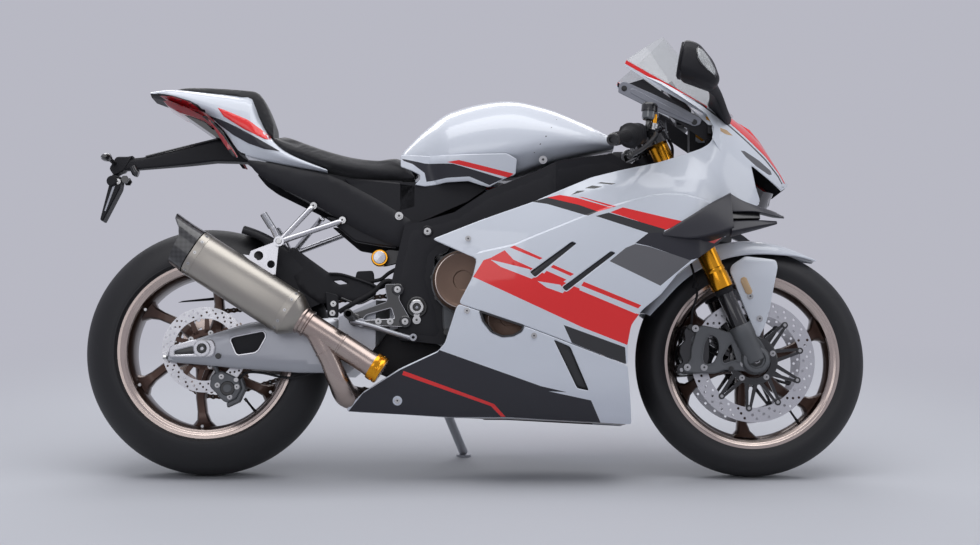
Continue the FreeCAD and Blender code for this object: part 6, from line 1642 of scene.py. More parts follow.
# ------------------------------------------------------------ engine and exhaust
def add_cover(shape, x, z, radius, y0, y1, side):
    """A domed round cover with a raised bright ring."""
    d = y1 - y0
    centre, out = (x, side * y0, z), (0, side, 0)
    shape.add(lathe([(0.01, d - 6), (radius * 0.30, d - 6), (radius * 0.34, d - 4), (radius - 17, d - 3),
                     (radius - 14, d - 1.5), (radius - 9, d), (radius - 6, d - 1), (radius - 2.5, d - 7),
                     (radius - 1, d - 14), (radius, d - 16), (radius, 0), (radius - 8, 0)], centre, out, 72,
                    closed=False), COVER)
    shape.add(lathe([(radius - 9.4, d - 0.6), (radius - 8.6, d + 0.7), (radius - 6.4, d + 0.2),
                     (radius - 5.6, d - 1.4)], centre, out, 72), LIP)
    return shape


# place, radius, outer face and number of screws of the two right covers
COVERS = ((664, 495, 78, 190, 9), (776, 398, 56, 184, 7))
covers = Shape()
for x, z, radius, y1, _ in COVERS:
    add_cover(covers, x, z, radius, 140.3, y1, -1)
    covers.add(lathe([(radius + 0.1, 3), (radius + 4, 3), (radius + 4, 14), (radius + 0.1, 14)], (x, -140, z),
                     (0, -1, 0), 60), CAST)
covers.piece("clutch_covers", "chassis", "bronze_cover", "engine_covers_right", angle=30)
screws("cover_screws", "chassis", [((x + math.cos(a) * (radius + 1), -154, z + math.sin(a) * (radius + 1)),
                                    (0, -1, 0)) for x, z, radius, _, count in COVERS
                                   for a in (2 * math.pi * (k + 0.3) / count for k in range(count))],
       4.5, 4, BLACKSTEEL)
add_cover(Shape(), 740, 400, 84, 139, 184, 1).piece("generator_cover", "chassis", "bronze_cover", angle=30)
keep_cad(CAST, "engine_block")
engine = Shape()
for side in BOTH:
    engine.add(flat_plate(rounded([(612, 372), (652, 318), (700, 254), (940, 254), (968, 300), (968, 505),
                                   (870, 520), (760, 440), (640, 470), (610, 440)], 14, 3), side * 139,
                          side * 147, chamfer=4), CAST)
    engine.add(flat_plate(rounded([(880, 530), (978, 536), (1034, 572), (1022, 628), (900, 622)], 10, 3),
                          side * 139, side * 146, chamfer=3), BLACKSTEEL)
    for k in range(5):
        engine.add(loft([[(700 + 48 * k + dx, y, z) for dx, z in ((0, 262), (7, 262), (7, 300), (0, 300))]
                         for y in (side * 146, side * 151)]), CAST)
engine.add(tube([(600, -128, 560), (618, -138, 520), (606, -140, 470), (622, -134, 420)], 8, 12), RUBBER)
engine.add(tube([(630, -120, 575), (650, -132, 585), (700, -128, 588)], 7, 12), RUBBER)
engine.add(tube([(520, -100, 470), (470, -112, 500), (430, -112, 470), (380, -118, 440), (345, -110, 420)],
                6.5, 12), RUBBER)
engine.add(tube([(500, -90, 500), (440, -104, 480), (396, -106, 452), (352, -96, 452)], 5, 12), RUBBER)
engine.add(disc_solid((622, -142, 366), (0, -1, 0), 9, 6, 20), BLACKSTEEL)
engine.piece("engine_dress", "chassis", "black_parts", angle=34)
screws("engine_screws", "chassis", [((x, s * 146, z), (0, s, 0)) for s in BOTH
                                    for x, z in ((632, 440), (660, 330), (716, 270), (820, 268), (925, 268),
                                                 (955, 330), (955, 470), (905, 545), (1010, 590),
                                                 (925, 606))], 5, 4, BLACKSTEEL)


def fin_tree():
    """Thin plates, one on each point, turned by the point's facing."""
    tree, given, out = maker_tree("core fins", [("Length", "Float", 0.3), ("Depth", "Float", 0.02),
                                                ("Thick", "Float", 0.0012), ("Finish", "Material", None)])
    size = shade(tree, "ShaderNodeCombineXYZ", {0: given["Depth"], 1: given["Thick"], 2: given["Length"]})
    cube = shade(tree, "GeometryNodeMeshCube", {"Size": size.outputs[0]})
    turn = aligned(tree, attribute(tree, "facing"), attribute(tree, "ahead"))
    fins = on_points(tree, given, cube.outputs[0], turn)
    painted_fins = shade(tree, "GeometryNodeSetMaterial", {"Geometry": fins, "Material": given["Finish"]})
    tree.links.new(painted_fins.outputs[0], out[0])
    return tree


along = Vector((56, 0, 280)).normalized()
normal = Vector((280, 0, -56)).normalized()
core = Shape()
mid = Vector((1103, 0, 521.5))
core.add(loft([[mid + along * a + normal * n + Y * y for a, n in ((-118, -10), (-118, 10), (118, 10),
                                                                  (118, -10))] for y in (-138, 138)]),
         BLACKSTEEL)
for s in BOTH:
    core.add(loft([[mid + along * a + normal * n + Y * s * y for a, n in ((-138, -11), (-138, 9), (-132, 13),
                                                                          (132, 13), (138, 9), (138, -11),
                                                                          (132, -13), (-132, -13))]
                   for y in (138, 142, 164, 168)]), CAST)
for a in (-130, 130):
    core.add(loft([[mid + along * (a + da) + normal * n + Y * y
                    for da, n in ((-9, -12), (-9, 12), (9, 12), (9, -12))] for y in (-150, 150)]), CAST)
core.piece("radiator_core", "chassis", "black_parts", "radiator", angle=30, bevel=1.0)
places = [mid + Y * (-134 + 268 * k / 66) for k in range(67)]
run_tree("radiator_fins", "chassis", fin_tree(), places, [along] * 67,
         {"Length": 0.234, "Depth": 0.0235, "Thick": 0.0014, "Finish": CAST},
         {"ahead": [normal] * 67})

SIL_REAR, SIL_FRONT = Vector((-15, -206, 561)), Vector((234, -206, 403))
SIL = (SIL_FRONT - SIL_REAR).normalized()
SIL_UP = Vector((-SIL.z, 0, SIL.x))
NECK = SIL_REAR + SIL_UP * 3


SQUARE, BARREL_SIDES = 2.6, 56  # how square the barrel's section is (2 is round), and its facets


def squared(a, power=SQUARE):
    """A unit circle's point at an angle, swollen towards a square."""
    return [math.copysign(abs(v) ** (2 / power), v) for v in (math.cos(a), math.sin(a))]


def barrel_ring(along, half_high, half_wide, power=SQUARE, rise=0.0):
    """A ring round the silencer, so far along it from its rear end."""
    ring = []
    for k in range(BARREL_SIDES):
        u, v = squared(2 * math.pi * k / BARREL_SIDES, power)
        ring.append(SIL_REAR + SIL * along + SIL_UP * (u * half_high + rise) + Y * v * half_wide)
    return ring


def barrel(profile):
    """A skin round the silencer, from rows of place, half height, half width, squareness and rise."""
    return loft([barrel_ring(*row) for row in profile])


silencer = Shape()
silencer.add(barrel([(0, 57, 53), (1.5, 59, 55), (3, 59.6, 55.6), (286, 59.8, 55.8), (289, 59.6, 55.4),
                     (290, 58.6, 54.6)]), TITAN)
silencer.add(barrel([(2, 60.2, 56.2), (22, 60.2, 56.2), (22.8, 59.4, 55.2)]), TITAN)
silencer.add(barrel([(268, 59.4, 55.2), (269, 60.2, 56.2), (289, 60.2, 56.2), (291.5, 58.4, 54.4)]), TITAN)
silencer.add(barrel([(at, high, high * 0.95, power, rise_by)
                     for at, high, power, rise_by in ((290, 58.2, 2.6, 0), (294, 57.4, 2.6, 0.4),
                                                      (316, 42, 2.25, 3), (319, 39, 2.1, 3.4),
                                                      (322, 37, 2, 3))]), TITAN)
silencer.add(lathe([(30, 316), (37, 318), (38, 320), (38, 324), (35.5, 327), (34, 328), (34, 336), (36, 338),
                    (36, 342), (31, 344)], NECK, SIL, 56), PIPE)
silencer.piece("silencer_barrel", "chassis", "titanium", "silencer", angle=30)
rivets = []
for at in (12, 279):
    for k in range(14):
        a = 2 * math.pi * (k + 0.5) / 14
        u, v = squared(a)
        facing = squared(a, 2 / 1.2)
        rivets.append((SIL_REAR + SIL * at + SIL_UP * u * 60.2 + Y * v * 56,
                       SIL_UP * facing[0] + Y * facing[1]))
screws("silencer_rivets", "chassis", rivets, 2.6, 1.1, STEEL)
cap = Shape()
rings = []
for t, high in ((0, 59.8), (0.08, 59.4), (0.35, 58), (0.7, 57), (1.0, 56)):
    ring = []
    for k in range(BARREL_SIDES):
        u, v = squared(2 * math.pi * k / BARREL_SIDES)
        reach = 38 + 8 * smooth_step((u + 1) / 1.5) + 40 * smooth_step((u - 0.15) / 0.85) ** 1.3
        ring.append(SIL_REAR - SIL * (0.5 + reach * t) + SIL_UP * (u * high + (5 * t * t if u > 0.5 else 0))
                    + Y * v * high * 0.98)
    rings.append(ring)
inner = [[p + (SIL_REAR - p + SIL * (p - SIL_REAR).dot(SIL)).normalized() * 7 for p in ring]
         for ring in reversed(rings)]
cap.add(loft(rings + inner, cap=False), CARBON)
cap.add(lathe([(8, -14), (30, -14), (30, -34), (27, -36), (27, -18), (8, -18)], SIL_REAR, SIL, 40), STEEL)
cap.add(lathe([(0.01, -8), (50, -8), (50, -11), (0.01, -11)], SIL_REAR, SIL, 48), BLACKSTEEL)
cap.piece("silencer_tip", "chassis", "black_parts", "silencer_end_cap", angle=34)

pipes = Shape()
pipes.add(lathe([(24, 334), (31, 335), (31, 436), (32.4, 437), (32.4, 441), (31, 442), (31, 524), (31.6, 526),
                 (31.6, 536), (24, 537)], NECK, SIL, 56), PIPE)
pipes.add(lathe([(20, 562), (27, 562), (28, 560), (28, 530), (20, 530)], NECK, SIL, 48), PIPE)
rise = [(868, 0, 190), (760, -22, 190), (640, -40, 190), (500, -62, 198), (430, -102, 198), (392, -124, 198),
        (368, -154, 206), (352, -192, 238), (330, -204, 290), (308, -206, 334), (292, -206, 366)]
pipes.add(tube(rise, [27, 27, 27, 27, 27, 30, 31, 27, 25, 26, 27], 32, 6), PIPE)
for a, size in ((4, 28), (6, 0), (8, 25.8)):
    p, q = Vector(rise[a]), Vector(rise[a + 1])
    pipes.add(lathe([(size - 2, -2.2), (size + 1.6, -1.2), (size + 1.6, 1.2), (size - 2, 2.2)],
                    (p + q) / 2, q - p, 40), PIPE)
for y in (-112, -38, 38, 112):
    pipes.add(tube([(985.3, y, 490), (1004, y, 478), (1011, y, 440), (1011, y, 380), (1011, y, 310),
                    (1002, y * 0.94, 250), (965, y * 0.8, 212), (915, y * 0.6, 198), (866, y * 0.42, 192)],
                   18, 20, 5), PIPE)
    pipes.add(lathe([(18, 0), (29, 0), (29, 7), (26, 10), (18, 10)], (983, y, 491), (0.85, 0, -0.5), 32),
              CAST)
pipes.add(loft([[(x, y, z) for y, z in rounded([(-h, 168), (h, 168), (h, 208), (-h, 208)], 12, 4)]
                for x, h in ((838, 60), (842, 66), (850, 73), (950, 73), (958, 66), (962, 60))]), PIPE)
pipes.piece("exhaust_run", "chassis", "titanium", "exhaust_pipes", angle=40)
collar = Shape().add(lathe([(28.4, 532), (35, 533), (36, 536), (36, 545), (34.5, 547), (34.5, 551), (36, 553),
                            (36, 558), (34, 561), (28.4, 562)], NECK, SIL, 56), GOLD)
tip = NECK + SIL * 547
for k in range(6):
    a = 2 * math.pi * k / 6 + 0.4
    ray = SIL_UP * math.cos(a) + Y * math.sin(a)
    collar.add(disc_solid(tip + ray * 33, ray, 3.4, 5, 12), GOLD)
collar.piece("exhaust_collar", "chassis", "gold_fork", angle=40)

# ------------------------------------------------------------ chain
ENGINE_SPROCKET = Vector((648, 0, 452))


def chain_points(radius_big, radius_small):
    """The loop that runs round both sprockets."""
    span = ENGINE_SPROCKET - Vector((0, 0, RZ))
    lean, opening = math.atan2(span.z, span.x), math.acos((radius_big - radius_small) / span.length)
    line = []
    for centre, r, first, last in ((Vector((0, 0, RZ)), radius_big, opening, 2 * math.pi - opening),
                                   (ENGINE_SPROCKET, radius_small, -opening, opening)):
        line += [centre + Vector((math.cos(lean + a), 0, math.sin(lean + a))) * r
                 for a in (first + (last - first) * k / 64 for k in range(65))]
    return line + line[:1]


def chain_tree():
    """Two side plates, a roller and a pin for each link."""
    tree, given, out = maker_tree("chain links", [
        ("Pitch", "Float", 0.0159), ("Plate", "Float", 0.0066), ("Width", "Float", 0.0065),
        ("Finish", "Material", None), ("Roller", "Material", None)])
    parts = shade(tree, "GeometryNodeJoinGeometry")

    def share(label, amount):
        return math_node(tree, "MULTIPLY", given[label], amount)

    def put(made, x, y, material):
        offset = {0: share("Pitch", x), 2: share("Width", y)}
        tree.links.new(moved_part(tree, made, offset, given[material]), parts.inputs[0])

    def round_bar(corners, radius, depth):
        return shade(tree, "GeometryNodeMeshCylinder", {
            "Vertices": corners, "Radius": share("Plate", radius), "Depth": share("Width", depth)})

    for y in (-0.92, 0.92):
        for x in (-0.5, 0.5):
            put(round_bar(12, 1.0, 0.26), x, y, "Finish")
        size = shade(tree, "ShaderNodeCombineXYZ", {0: given["Pitch"], 1: share("Plate", 1.5),
                                                    2: share("Width", 0.26)})
        put(shade(tree, "GeometryNodeMeshCube", {"Size": size.outputs[0]}), 0.0, y, "Finish")
    put(round_bar(12, 0.75, 1.6), 0.5, 0.0, "Roller")
    put(round_bar(8, 0.36, 2.3), 0.5, 0.0, "Roller")
    turn = aligned(tree, attribute(tree, "across"), attribute(tree, "facing"))
    tree.links.new(on_points(tree, given, parts.outputs[0], turn), out[0])
    return tree


line = chain_points(114, 47)
lengths = [0.0]
for a, b in zip(line, line[1:]):
    lengths.append(lengths[-1] + (b - a).length)
CHAIN_PITCH = 15.875
count = 2 * round(lengths[-1] / CHAIN_PITCH / 2)
pitch = lengths[-1] / count


def on_chain(distance):
    """The point so far along the chain's loop."""
    distance %= lengths[-1]
    for i, end in enumerate(lengths[1:]):
        if distance <= end:
            return line[i].lerp(line[i + 1], (distance - lengths[i]) / max(1e-6, end - lengths[i]))
    return line[0]


mids, ways = [], []
for k in range(count):
    a, b = on_chain((k - 0.5) * pitch), on_chain((k + 0.5) * pitch)
    mids.append((a + b) / 2 + Y * 107.5)
    ways.append(b - a)
chain = run_tree("chain_links", "chassis", chain_tree(), mids, ways,
                 {"Pitch": pitch / MM, "Finish": COVER, "Roller": STEEL}, {"across": [Y] * count})
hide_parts("drive_chain")
small = Shape()
small.add(flat_plate(gear(16, 38, 42, ENGINE_SPROCKET.x, ENGINE_SPROCKET.z), *CHAIN_LINE, chamfer=0.5), STEEL)
small.add(disc_solid(ENGINE_SPROCKET + Y * 110, Y, 18, 9, 6), STEEL)
small.piece("drive_sprocket", "chassis", "machined", angle=30)


# ------------------------------------------------------------ shock, hugger and rear caliper
shock = Shape()
base, top_end = Vector((526, 0, 456)), Vector((533, 0, 624))
coil = []
for k in range(181):
    t = k / 180
    a = 2 * math.pi * 7 * t
    coil.append(base.lerp(top_end, 0.12 + 0.72 * t) + Vector((math.cos(a) * 23.5, math.sin(a) * 23.5, 0)))
shock.add(tube(coil, 4.2, 10, 0), BLACKSTEEL)
way = (top_end - base).normalized()
shock.add(lathe([(4, 0), (26, 0), (28, 3), (28, 14), (22, 18), (12, 20), (12, 166), (4, 166)], base, way, 32),
          BLACKSTEEL)
shock.add(lathe([(8, 142), (28, 142), (28, 154), (20, 160), (17, 164), (17, 172), (8, 172)], base, way, 32),
          GOLD)
shock.add(lathe([(0.01, 22), (9, 22), (9, 28), (19, 30), (22, 33), (22, 40), (20.5, 41), (20.5, 45), (22, 46),
                 (22, 52), (20, 55), (17, 55), (0.01, 55)], (448, -71, 559), (0, -1, 0), 40, closed=False),
          GOLD)
shock.add(lathe([(0.01, 0), (16.5, 0), (16.5, 2), (15, 3.4), (0.01, 4.4)], (448, -125.2, 559), (0, -1, 0), 48,
                closed=False), SILVER)
shock.add(disc_solid((534, 84, 622), (0, -1, 0), 12, 168, 28), BLACKSTEEL)
shock.add(tube([(448, -96, 559), (470, -76, 560), (500, -40, 562), (520, -10, 566)], 7, 14), RUBBER)
shock.add(flat_plate(rounded([(440, 542), (460, 538), (500, 548), (506, 580), (470, 584), (444, 574)], 6, 2),
                     -92, -100, chamfer=2), BLACKSTEEL)
shock.add(flat_plate(rounded([(384, 508), (392, 503), (426, 493), (433, 500), (430, 528), (388, 526)], 5, 2),
                     -60, -100, chamfer=2), PLASTIC)
shock.add(tube([(425, -96, 500), (450, -100, 505), (470, -104, 520), (488, -108, 530)], 5, 12), RUBBER)
shock.add(prism([(494, 392), (540, 347), (601, 336), (600, 300), (535, 288), (500, 264), (470, 252),
                 (430, 270), (399, 330), (372, 369), (400, 400), (450, 410)], -84, -66), PLASTIC)
shock.piece("rear_shock_unit", "chassis", "gold_fork", "rear_shock", angle=35)

HUG_HALF = ((22, 100), (40, 104), (60, 103), (74, 92))
rings = []
for k in range(37):
    a = 22 + 52 * k / 36
    wide = spline(HUG_HALF, a)
    skirt = 58 * smooth_step((64 - a) / 14) + 8
    right = [(339.8, 0), (339.6, -wide * 0.5), (338, -wide * 0.82), (333, -wide * 0.955), (326, -wide),
             (326 - skirt * 0.5, -wide * 1.0), (326 - skirt, -wide * 0.99)]
    left_skirt = 58 * smooth_step((a - 44) / 6) * smooth_step((64 - a) / 14) + 8
    left = [(339.6, wide * 0.5), (338, wide * 0.82), (333, wide * 0.955), (326, wide),
            (326 - left_skirt * 0.5, wide), (326 - left_skirt, wide * 0.99)]
    outer = list(reversed(right)) + left
    inner = [(r - 3, y * 0.97) for r, y in reversed(outer)]
    t = math.radians(a)
    rings.append([(math.cos(t) * r, y, RZ + math.sin(t) * r) for r, y in outer + inner])
hugger = Shape().add(loft(rings), PLASTIC)
hugger.add(flat_plate(rounded([(316, 404.3), (343, 404.3), (343, 462), (308, 472)], 6, 2), -103, -118,
                      chamfer=2), PLASTIC)
hugger.add(flat_plate(rounded([(-110, 462), (-96, 467), (60, 485), (228, 494), (230, 486), (80, 475)], 3, 2),
                      117, 121, chamfer=1), PLASTIC)
hugger.add(flat_plate([(150, 397.3), (190, 397.3), (186, 484), (158, 482)], 117, 121, chamfer=1), PLASTIC)
hugger.add(sheet(rounded([(196, 566), (239, 479), (296, 440), (348, 452), (394, 438), (435, 455), (443, 480),
                          (431, 491), (355, 517), (317, 521), (264, 559), (222, 590)], 8, 3),
                 lambda x, z: -104 - 6 * smooth_step((x - 330) / 60), 3.4,
                 holes=[rounded([(329, 500), (348, 502), (365, 493), (344, 491)], 3, 2)], edge=3, drop=2.4,
                 step=14, sign=-1), PLASTIC)
hugger.add(tube([(318, -107, 519), (356, -111, 515), (430, -113, 490), (442, -113, 479)], 3.4, 10), PLASTIC)
hugger.add(tube([(350, -113, 455), (394, -113, 441), (434, -113, 458)], 3, 10), GLOSS)
hugger.piece("rear_tyre_hugger", "chassis", "black_parts", "rear_hugger", angle=40)
screws("hugger_screws", "chassis", [((330, -118, 440), (0, -1, 0)), ((328, -118, 416), (0, -1, 0))], 5, 3)

caliper = Shape()
outline = [(20, 256), (44, 268), (60, 262), (92, 246), (98, 222), (84, 196), (60, 184), (44, 196),
           (30, 214), (16, 226)]
caliper.add(flat_plate(rounded(outline, 7, 2), -106, -116, chamfer=3), CAST)
caliper.add(flat_plate(rounded(outline, 7, 2), -76, -90, chamfer=2), CAST)
caliper.add(flat_plate([(60, 184), (84, 196), (98, 222), (92, 246), (98, 250), (108, 222), (92, 188),
                        (62, 174)], -78, -114, chamfer=2), CAST)
caliper.add(disc_solid((62, -114, 222), (0, -1, 0), 19, 4.5, 32, 2), BLACKSTEEL)
caliper.add(disc_solid((62, -117, 222), (0, -1, 0), 11, 3, 28, 1), CAST)
caliper.add(tube([(10, -112, 306), (28, -112, 280), (36, -110, 262)], [10, 9, 8], 12, 4, 0.7), CAST)
caliper.add(lathe([(13, 104.8), (30, 104.8), (31, 107), (31, 115), (29, 117), (13, 117)], (0, 0, RZ),
                  (0, -1, 0), 40), CAST)
caliper.add(tube([(84, -112, 244), (110, -116, 262), (150, -112, 262), (220, -112, 250), (300, -108, 268)],
                 3.2, 10), RUBBER)
caliper.add(disc_solid((84, -114, 244), (0, -1, 0), 6.5, 6, 16), STEEL)
caliper.piece("rear_caliper_block", "chassis", "black_parts", "rear_caliper", angle=35)
screws("rear_caliper_screws", "chassis", [((x, -116, z), (0, -1, 0))
                                          for x, z in ((86, 226), (68, 200), (36, 230), (46, 252))], 4.5, 3)

# ------------------------------------------------------------ subframe, plate arm and tail lamp
PANEL = [(98, 814), (126, 780), (159, 756), (278, 698), (396, 628), (473, 594), (515, 584), (530, 642),
         (528, 658), (440, 712), (344, 764), (306, 779), (239, 790), (185, 801), (130, 812)]
UNDERTRAY = [(134, 796), (150, 811), (200, 801), (310, 781), (370, 769), (440, 764), (505, 762), (470, 660),
             (430, 652), (300, 700), (180, 764)]
rails = Shape()
for side in BOTH:
    rails.add(sheet(rounded(PANEL, 10, 3), lambda x, z, s=side: s
                    * (119.5 - 5 * (1 - smooth_step(edge_distance(x, z, PANEL) / 24))), 3, edge=3, drop=2,
                    step=18, sign=side), FRAME)
    block = [(306, 667), (349, 662), (503, 619), (492, 586), (448, 591), (383, 602)]
    rails.add(sheet(rounded(block, 8, 3), side * 112, 14, edge=4, drop=3, step=0, sign=side), PLASTIC)
    rails.add(sheet(rounded([(352, 768), (370, 744), (486, 676), (540, 690), (540, 752), (440, 762)], 8, 3),
                    side * 112, 9, edge=4, drop=3, step=0, sign=side), PLASTIC)
rails.add(prism(UNDERTRAY, -103.5, 103.5), PLASTIC)
rails.piece("seat_rails", "chassis", "black_parts", "subframe", angle=28)
screws("rail_screws", "chassis", [((x, s * 119, z), (0, s, 0)) for s in BOTH for x, z in
                                  ((497, 668),)], 7, 4)

arm_shape = Shape()
arm_line = [(96, 878, 823, 22), (60, 888, 825, 23), (6, 887, 826, 24), (-60, 869, 818, 21),
            (-120, 854, 812, 18), (-188, 838, 806, 16), (-238, 833, 802, 15), (-256, 830, 800, 13)]
rings = []
for x, high, low, half in arm_line:
    rings.append([(x, y, w) for y, w in rounded([(-half, low), (half, low), (half, high - 8),
                                                 (half * 0.6, high), (-half * 0.6, high), (-half, high - 8)],
                                                5, 3)])
arm_shape.add(loft(rings), PLASTIC)
arm_shape.add(tube([(-180, -14, 839), (-80, -18, 864), (10, -20, 886)], 2.4, 8), GLOSS)
arm_shape.add(prism([(-76, 945), (-44, 943), (-17, 922), (2, 904), (14, 905), (36, 934), (30, 880),
                     (12, 884)], -52, 52), GLOSS)
arm_shape.add(flat_plate(rounded([(-226, 838), (-212, 842), (-236, 800), (-262, 786), (-276, 806),
                                  (-258, 838)], 6, 2), -17, 17, chamfer=3), PLASTIC)
tongue = rounded([(-266, 790), (-240, 782), (-244, 752), (-287, 664), (-295, 668), (-274, 760)], 4, 2)
arm_shape.add(flat_plate(tongue, -24, 24, chamfer=3), PLASTIC)
arm_shape.add(flat_plate(rounded([(-262, 762), (-256, 760), (-280, 690), (-284, 692)], 1.5, 2), -24.6, 24.6,
                         chamfer=0.4), PANELGREY)
arm_shape.add(tube([(-214, -12, 812), (-206, -12, 796), (-198, -12, 792)], [10, 11, 9], 14, 3, 1), GLOSS)
for y in (-26, 26):
    arm_shape.add(disc_solid((-265, y, 771), (0, math.copysign(1, y), 0), 14, 6, 32, 3), PLASTIC)
    arm_shape.add(disc_solid((-232, y * 0.66, 776), (0, math.copysign(1, y), 0), 11, 8, 6, 1), GLOSS)
for s in BOTH:
    arm_shape.add(tube([(-262, s * 16, 820), (-262, s * 60, 821), (-262, s * 86, 821)], [6, 5.4, 6.5], 14),
                  RUBBER)
    rings = []
    for y, high, wide in ((82, 7, 8), (90, 9.5, 13), (104, 10.5, 15), (118, 8, 11), (125, 3, 5)):
        rings.append([(-264 + a, s * y, 821 + b)
                      for a, b in rounded([(-wide, -high * 0.5), (-wide * 0.4, -high), (wide * 0.6, -high),
                                           (wide, 0), (wide * 0.6, high), (-wide * 0.4, high),
                                           (-wide, high * 0.5)], 4, 2)])
    arm_shape.add(loft(rings), GLOSS)
    arm_shape.add(loft([[(p[0] - 1.2, p[1], 821 + (p[2] - 821) * 0.72) for p in ring]
                        for ring in rings[1:4]]), LENS)
arm_shape.piece("plate_arm", "chassis", "black_parts", "plate_holder", angle=34)
screws("plate_screws", "chassis", [((-250, s * 24.5, 770), (0, s, 0)) for s in BOTH], 5, 3)

lamp_back = Shape()
rings = []
for x, high, low, half in ((-136, 992, 988, 52), (-119, 988, 967, 64), (-85, 981, 947, 76),
                           (-50, 968, 936, 84), (-18, 946, 924, 86), (2, 926, 907, 84), (10, 921, 912, 80)):
    rings.append([(x, y, z) for y, z in rounded([(-half + 12, low), (half - 12, low), (half, high - 6),
                                                 (half, high + 6), (-half, high + 6), (-half, high - 6)], 5,
                                                3)])
lamp_back.add(loft(rings), REDLENS)
for s in BOTH:
    lamp_back.add(tube([(8, s * 84, 914), (36, s * 92, 880), (62, s * 97, 842), (74, s * 98, 824)],
                       [4, 4, 4, 3], 10, 4, 0.7), REDLENS)
lamp_back.piece("tail_lamp", "chassis", "red_lens", "tail_light", angle=40)


# ------------------------------------------------------------ bars, grips, levers
SWEEP, DROOP = math.radians(25), math.radians(14)


def bar(side, along, ahead=0.0, up=0.0):
    """A point on a handlebar, ahead of it and above it."""
    way = Vector((-math.sin(SWEEP) * math.cos(DROOP), side * math.cos(SWEEP) * math.cos(DROOP),
                  -math.sin(DROOP)))
    front = Vector((math.cos(SWEEP), side * math.sin(SWEEP), 0))
    lift = way.cross(front) * (-side)
    return fork(653, 0, side * 105) + way * along + front * ahead + lift * up


def bar_way(side):
    """The way along a handlebar."""
    return bar(side, 1) - bar(side, 0)


bars, grips = Shape(), Shape()
way = bar_way(-1)
origin = bar(-1, 0)
bars.add(lathe([(27.4, 640), (35, 640), (36.5, 642), (36.5, 664), (35, 666), (27.4, 666)],
               RIGHT_LEG, STEER, 44), GLOSS)
bars.add(loft([[bar(-1, a, u, v) for u, v in rounded([(-10, -11), (10, -11), (10, 11), (-10, 11)], 5, 3)]
               for a in (30, 52)]), GLOSS)
bars.add(lathe([(6, 28), (11, 28), (11, 160), (6, 160)], origin, way, 24), BLACKSTEEL)
bars.add(loft([[bar(-1, a, u * k, v * k) for u, v in rounded([(-32, -24), (18, -28), (28, -16), (28, 20),
                                                              (10, 30), (-32, 26)], 9, 3)]
               for a, k in ((110, 0.82), (113, 0.97), (128, 1), (131, 0.96), (134, 1), (149, 0.97),
                            (153, 0.82))]), PLASTIC)
for a, u, v, r in ((120, -25, 4, 5), (121, -24, -8, 4), (141, -25, 2, 6)):
    bars.add(disc_solid(bar(-1, a, u + 3, v), bar(-1, 0, -1) - bar(-1, 0), r, 6, 20, 1.5), GLOSS)
bars.add(lathe([(5, 277), (15, 277), (16.5, 279), (16.5, 287), (14.5, 289), (14.5, 291), (15.5, 293),
                (14, 298), (8, 298), (7, 292), (0.01, 292)], origin, way, 32, closed=False), BLACKSTEEL)
bars.both().piece("clip_on_bars", "steering", "black_parts", "handlebars", angle=38)
ribs = [(11, 158.6), (31, 159), (32.5, 161), (32, 164), (27, 168), (25.5, 169), (23, 174), (23.4, 176),
        (20, 182), (17, 188)]
for k in range(16):
    a = 190 + k * 5.1
    ribs += [(16.9, a), (17.2, a + 0.7), (17.2, a + 2.6), (16.1, a + 3.4), (16.1, a + 4.4)]
ribs += [(17.3, 272), (16, 275.5), (11, 276)]
grips.add(lathe(ribs, origin, way, 40), RUBBER)
grips.both().piece("bar_grips", "steering", "rubber_black", "grips", angle=40)


def lever(side):
    """A hand lever, its holder on the bar and its ball end."""
    shape = Shape()
    start, along = bar(side, 0), bar_way(side)
    shape.add(lathe([(11.2, 72), (18, 72), (19.5, 74), (19.5, 96), (18, 98), (11.2, 98)], start, along, 36),
              GLOSS)
    shape.add(loft([[bar(side, a, u, v) for u, v in rounded([(8, -9), (30, -10), (44, -6), (44, 6), (30, 10),
                                                             (8, 9)], 4, 3)] for a in (76, 96)]), GLOSS)
    shape.add(tube([bar(side, 86, 36, 0), bar(side, 98, 46, -6), bar(side, 140, 48, -18),
                    bar(side, 196, 44, -32), bar(side, 240, 38, -40), bar(side, 270, 34, -44)],
                   [8, 7, 6.4, 6.2, 6, 6.6], 14, 6, 0.8), BLACKSTEEL)
    shape.add(disc_solid(bar(side, 88, 36, 11), bar(side, 0, 0, -1) - bar(side, 0), 6, 22, 20), STEEL)
    shape.add(lathe([(0.01, -1), (5, 0), (8, 4), (8, 9), (5, 13), (0.01, 14)], bar(side, 266, 34, -44), along,
                    20, closed=False), BLACKSTEEL)
    return shape


brake = lever(-1)
brake.add(tube([bar(-1, 92, 26, 0), bar(-1, 74, 34, 2), bar(-1, 50, 40, 4)], [12, 12, 10], 24), GLOSS)
cup = bar(-1, 94, 12, 0) + Vector((14, 8, 36))
brake.add(tube([bar(-1, 92, 20, 8), bar(-1, 92, 26, 20), cup + Vector((0, 0, 2))], [8, 7, 7], 14), BLACKSTEEL)
brake.add(lathe([(0.01, 0), (15, 0), (17.6, 3), (18, 6), (18, 26), (17, 27), (0.01, 27)], cup, (0.1, 0, 1),
                36, closed=False), SMOKE)
brake.add(lathe([(0.01, 43), (18, 43), (20.6, 40), (21, 36), (21, 22), (19, 21), (0.01, 21)], cup,
                (0.1, 0, 1), 36, closed=False), GLOSS)
brake.add(disc_solid(cup + Vector((14, -4, -12)), (0.1, 0, 1), 7, 26, 24, 1.5), GOLD)
brake.add(disc_solid(cup + Vector((8, 0, -34)), (0.3, 0, 1), 12, 26, 24, 2), STEEL)
brake.piece("brake_lever_set", "steering", "black_parts", "brake_lever", angle=38)
lever(1).piece("clutch_lever_set", "steering", "black_parts", "clutch_lever", angle=38)
top_bits = Shape()
top_bits.add(lathe([(0.01, 632), (13, 632), (16, 630), (17, 626), (17, 618), (0.01, 618)], fork(0, -30),
                   STEER, 6, closed=False), STEEL)
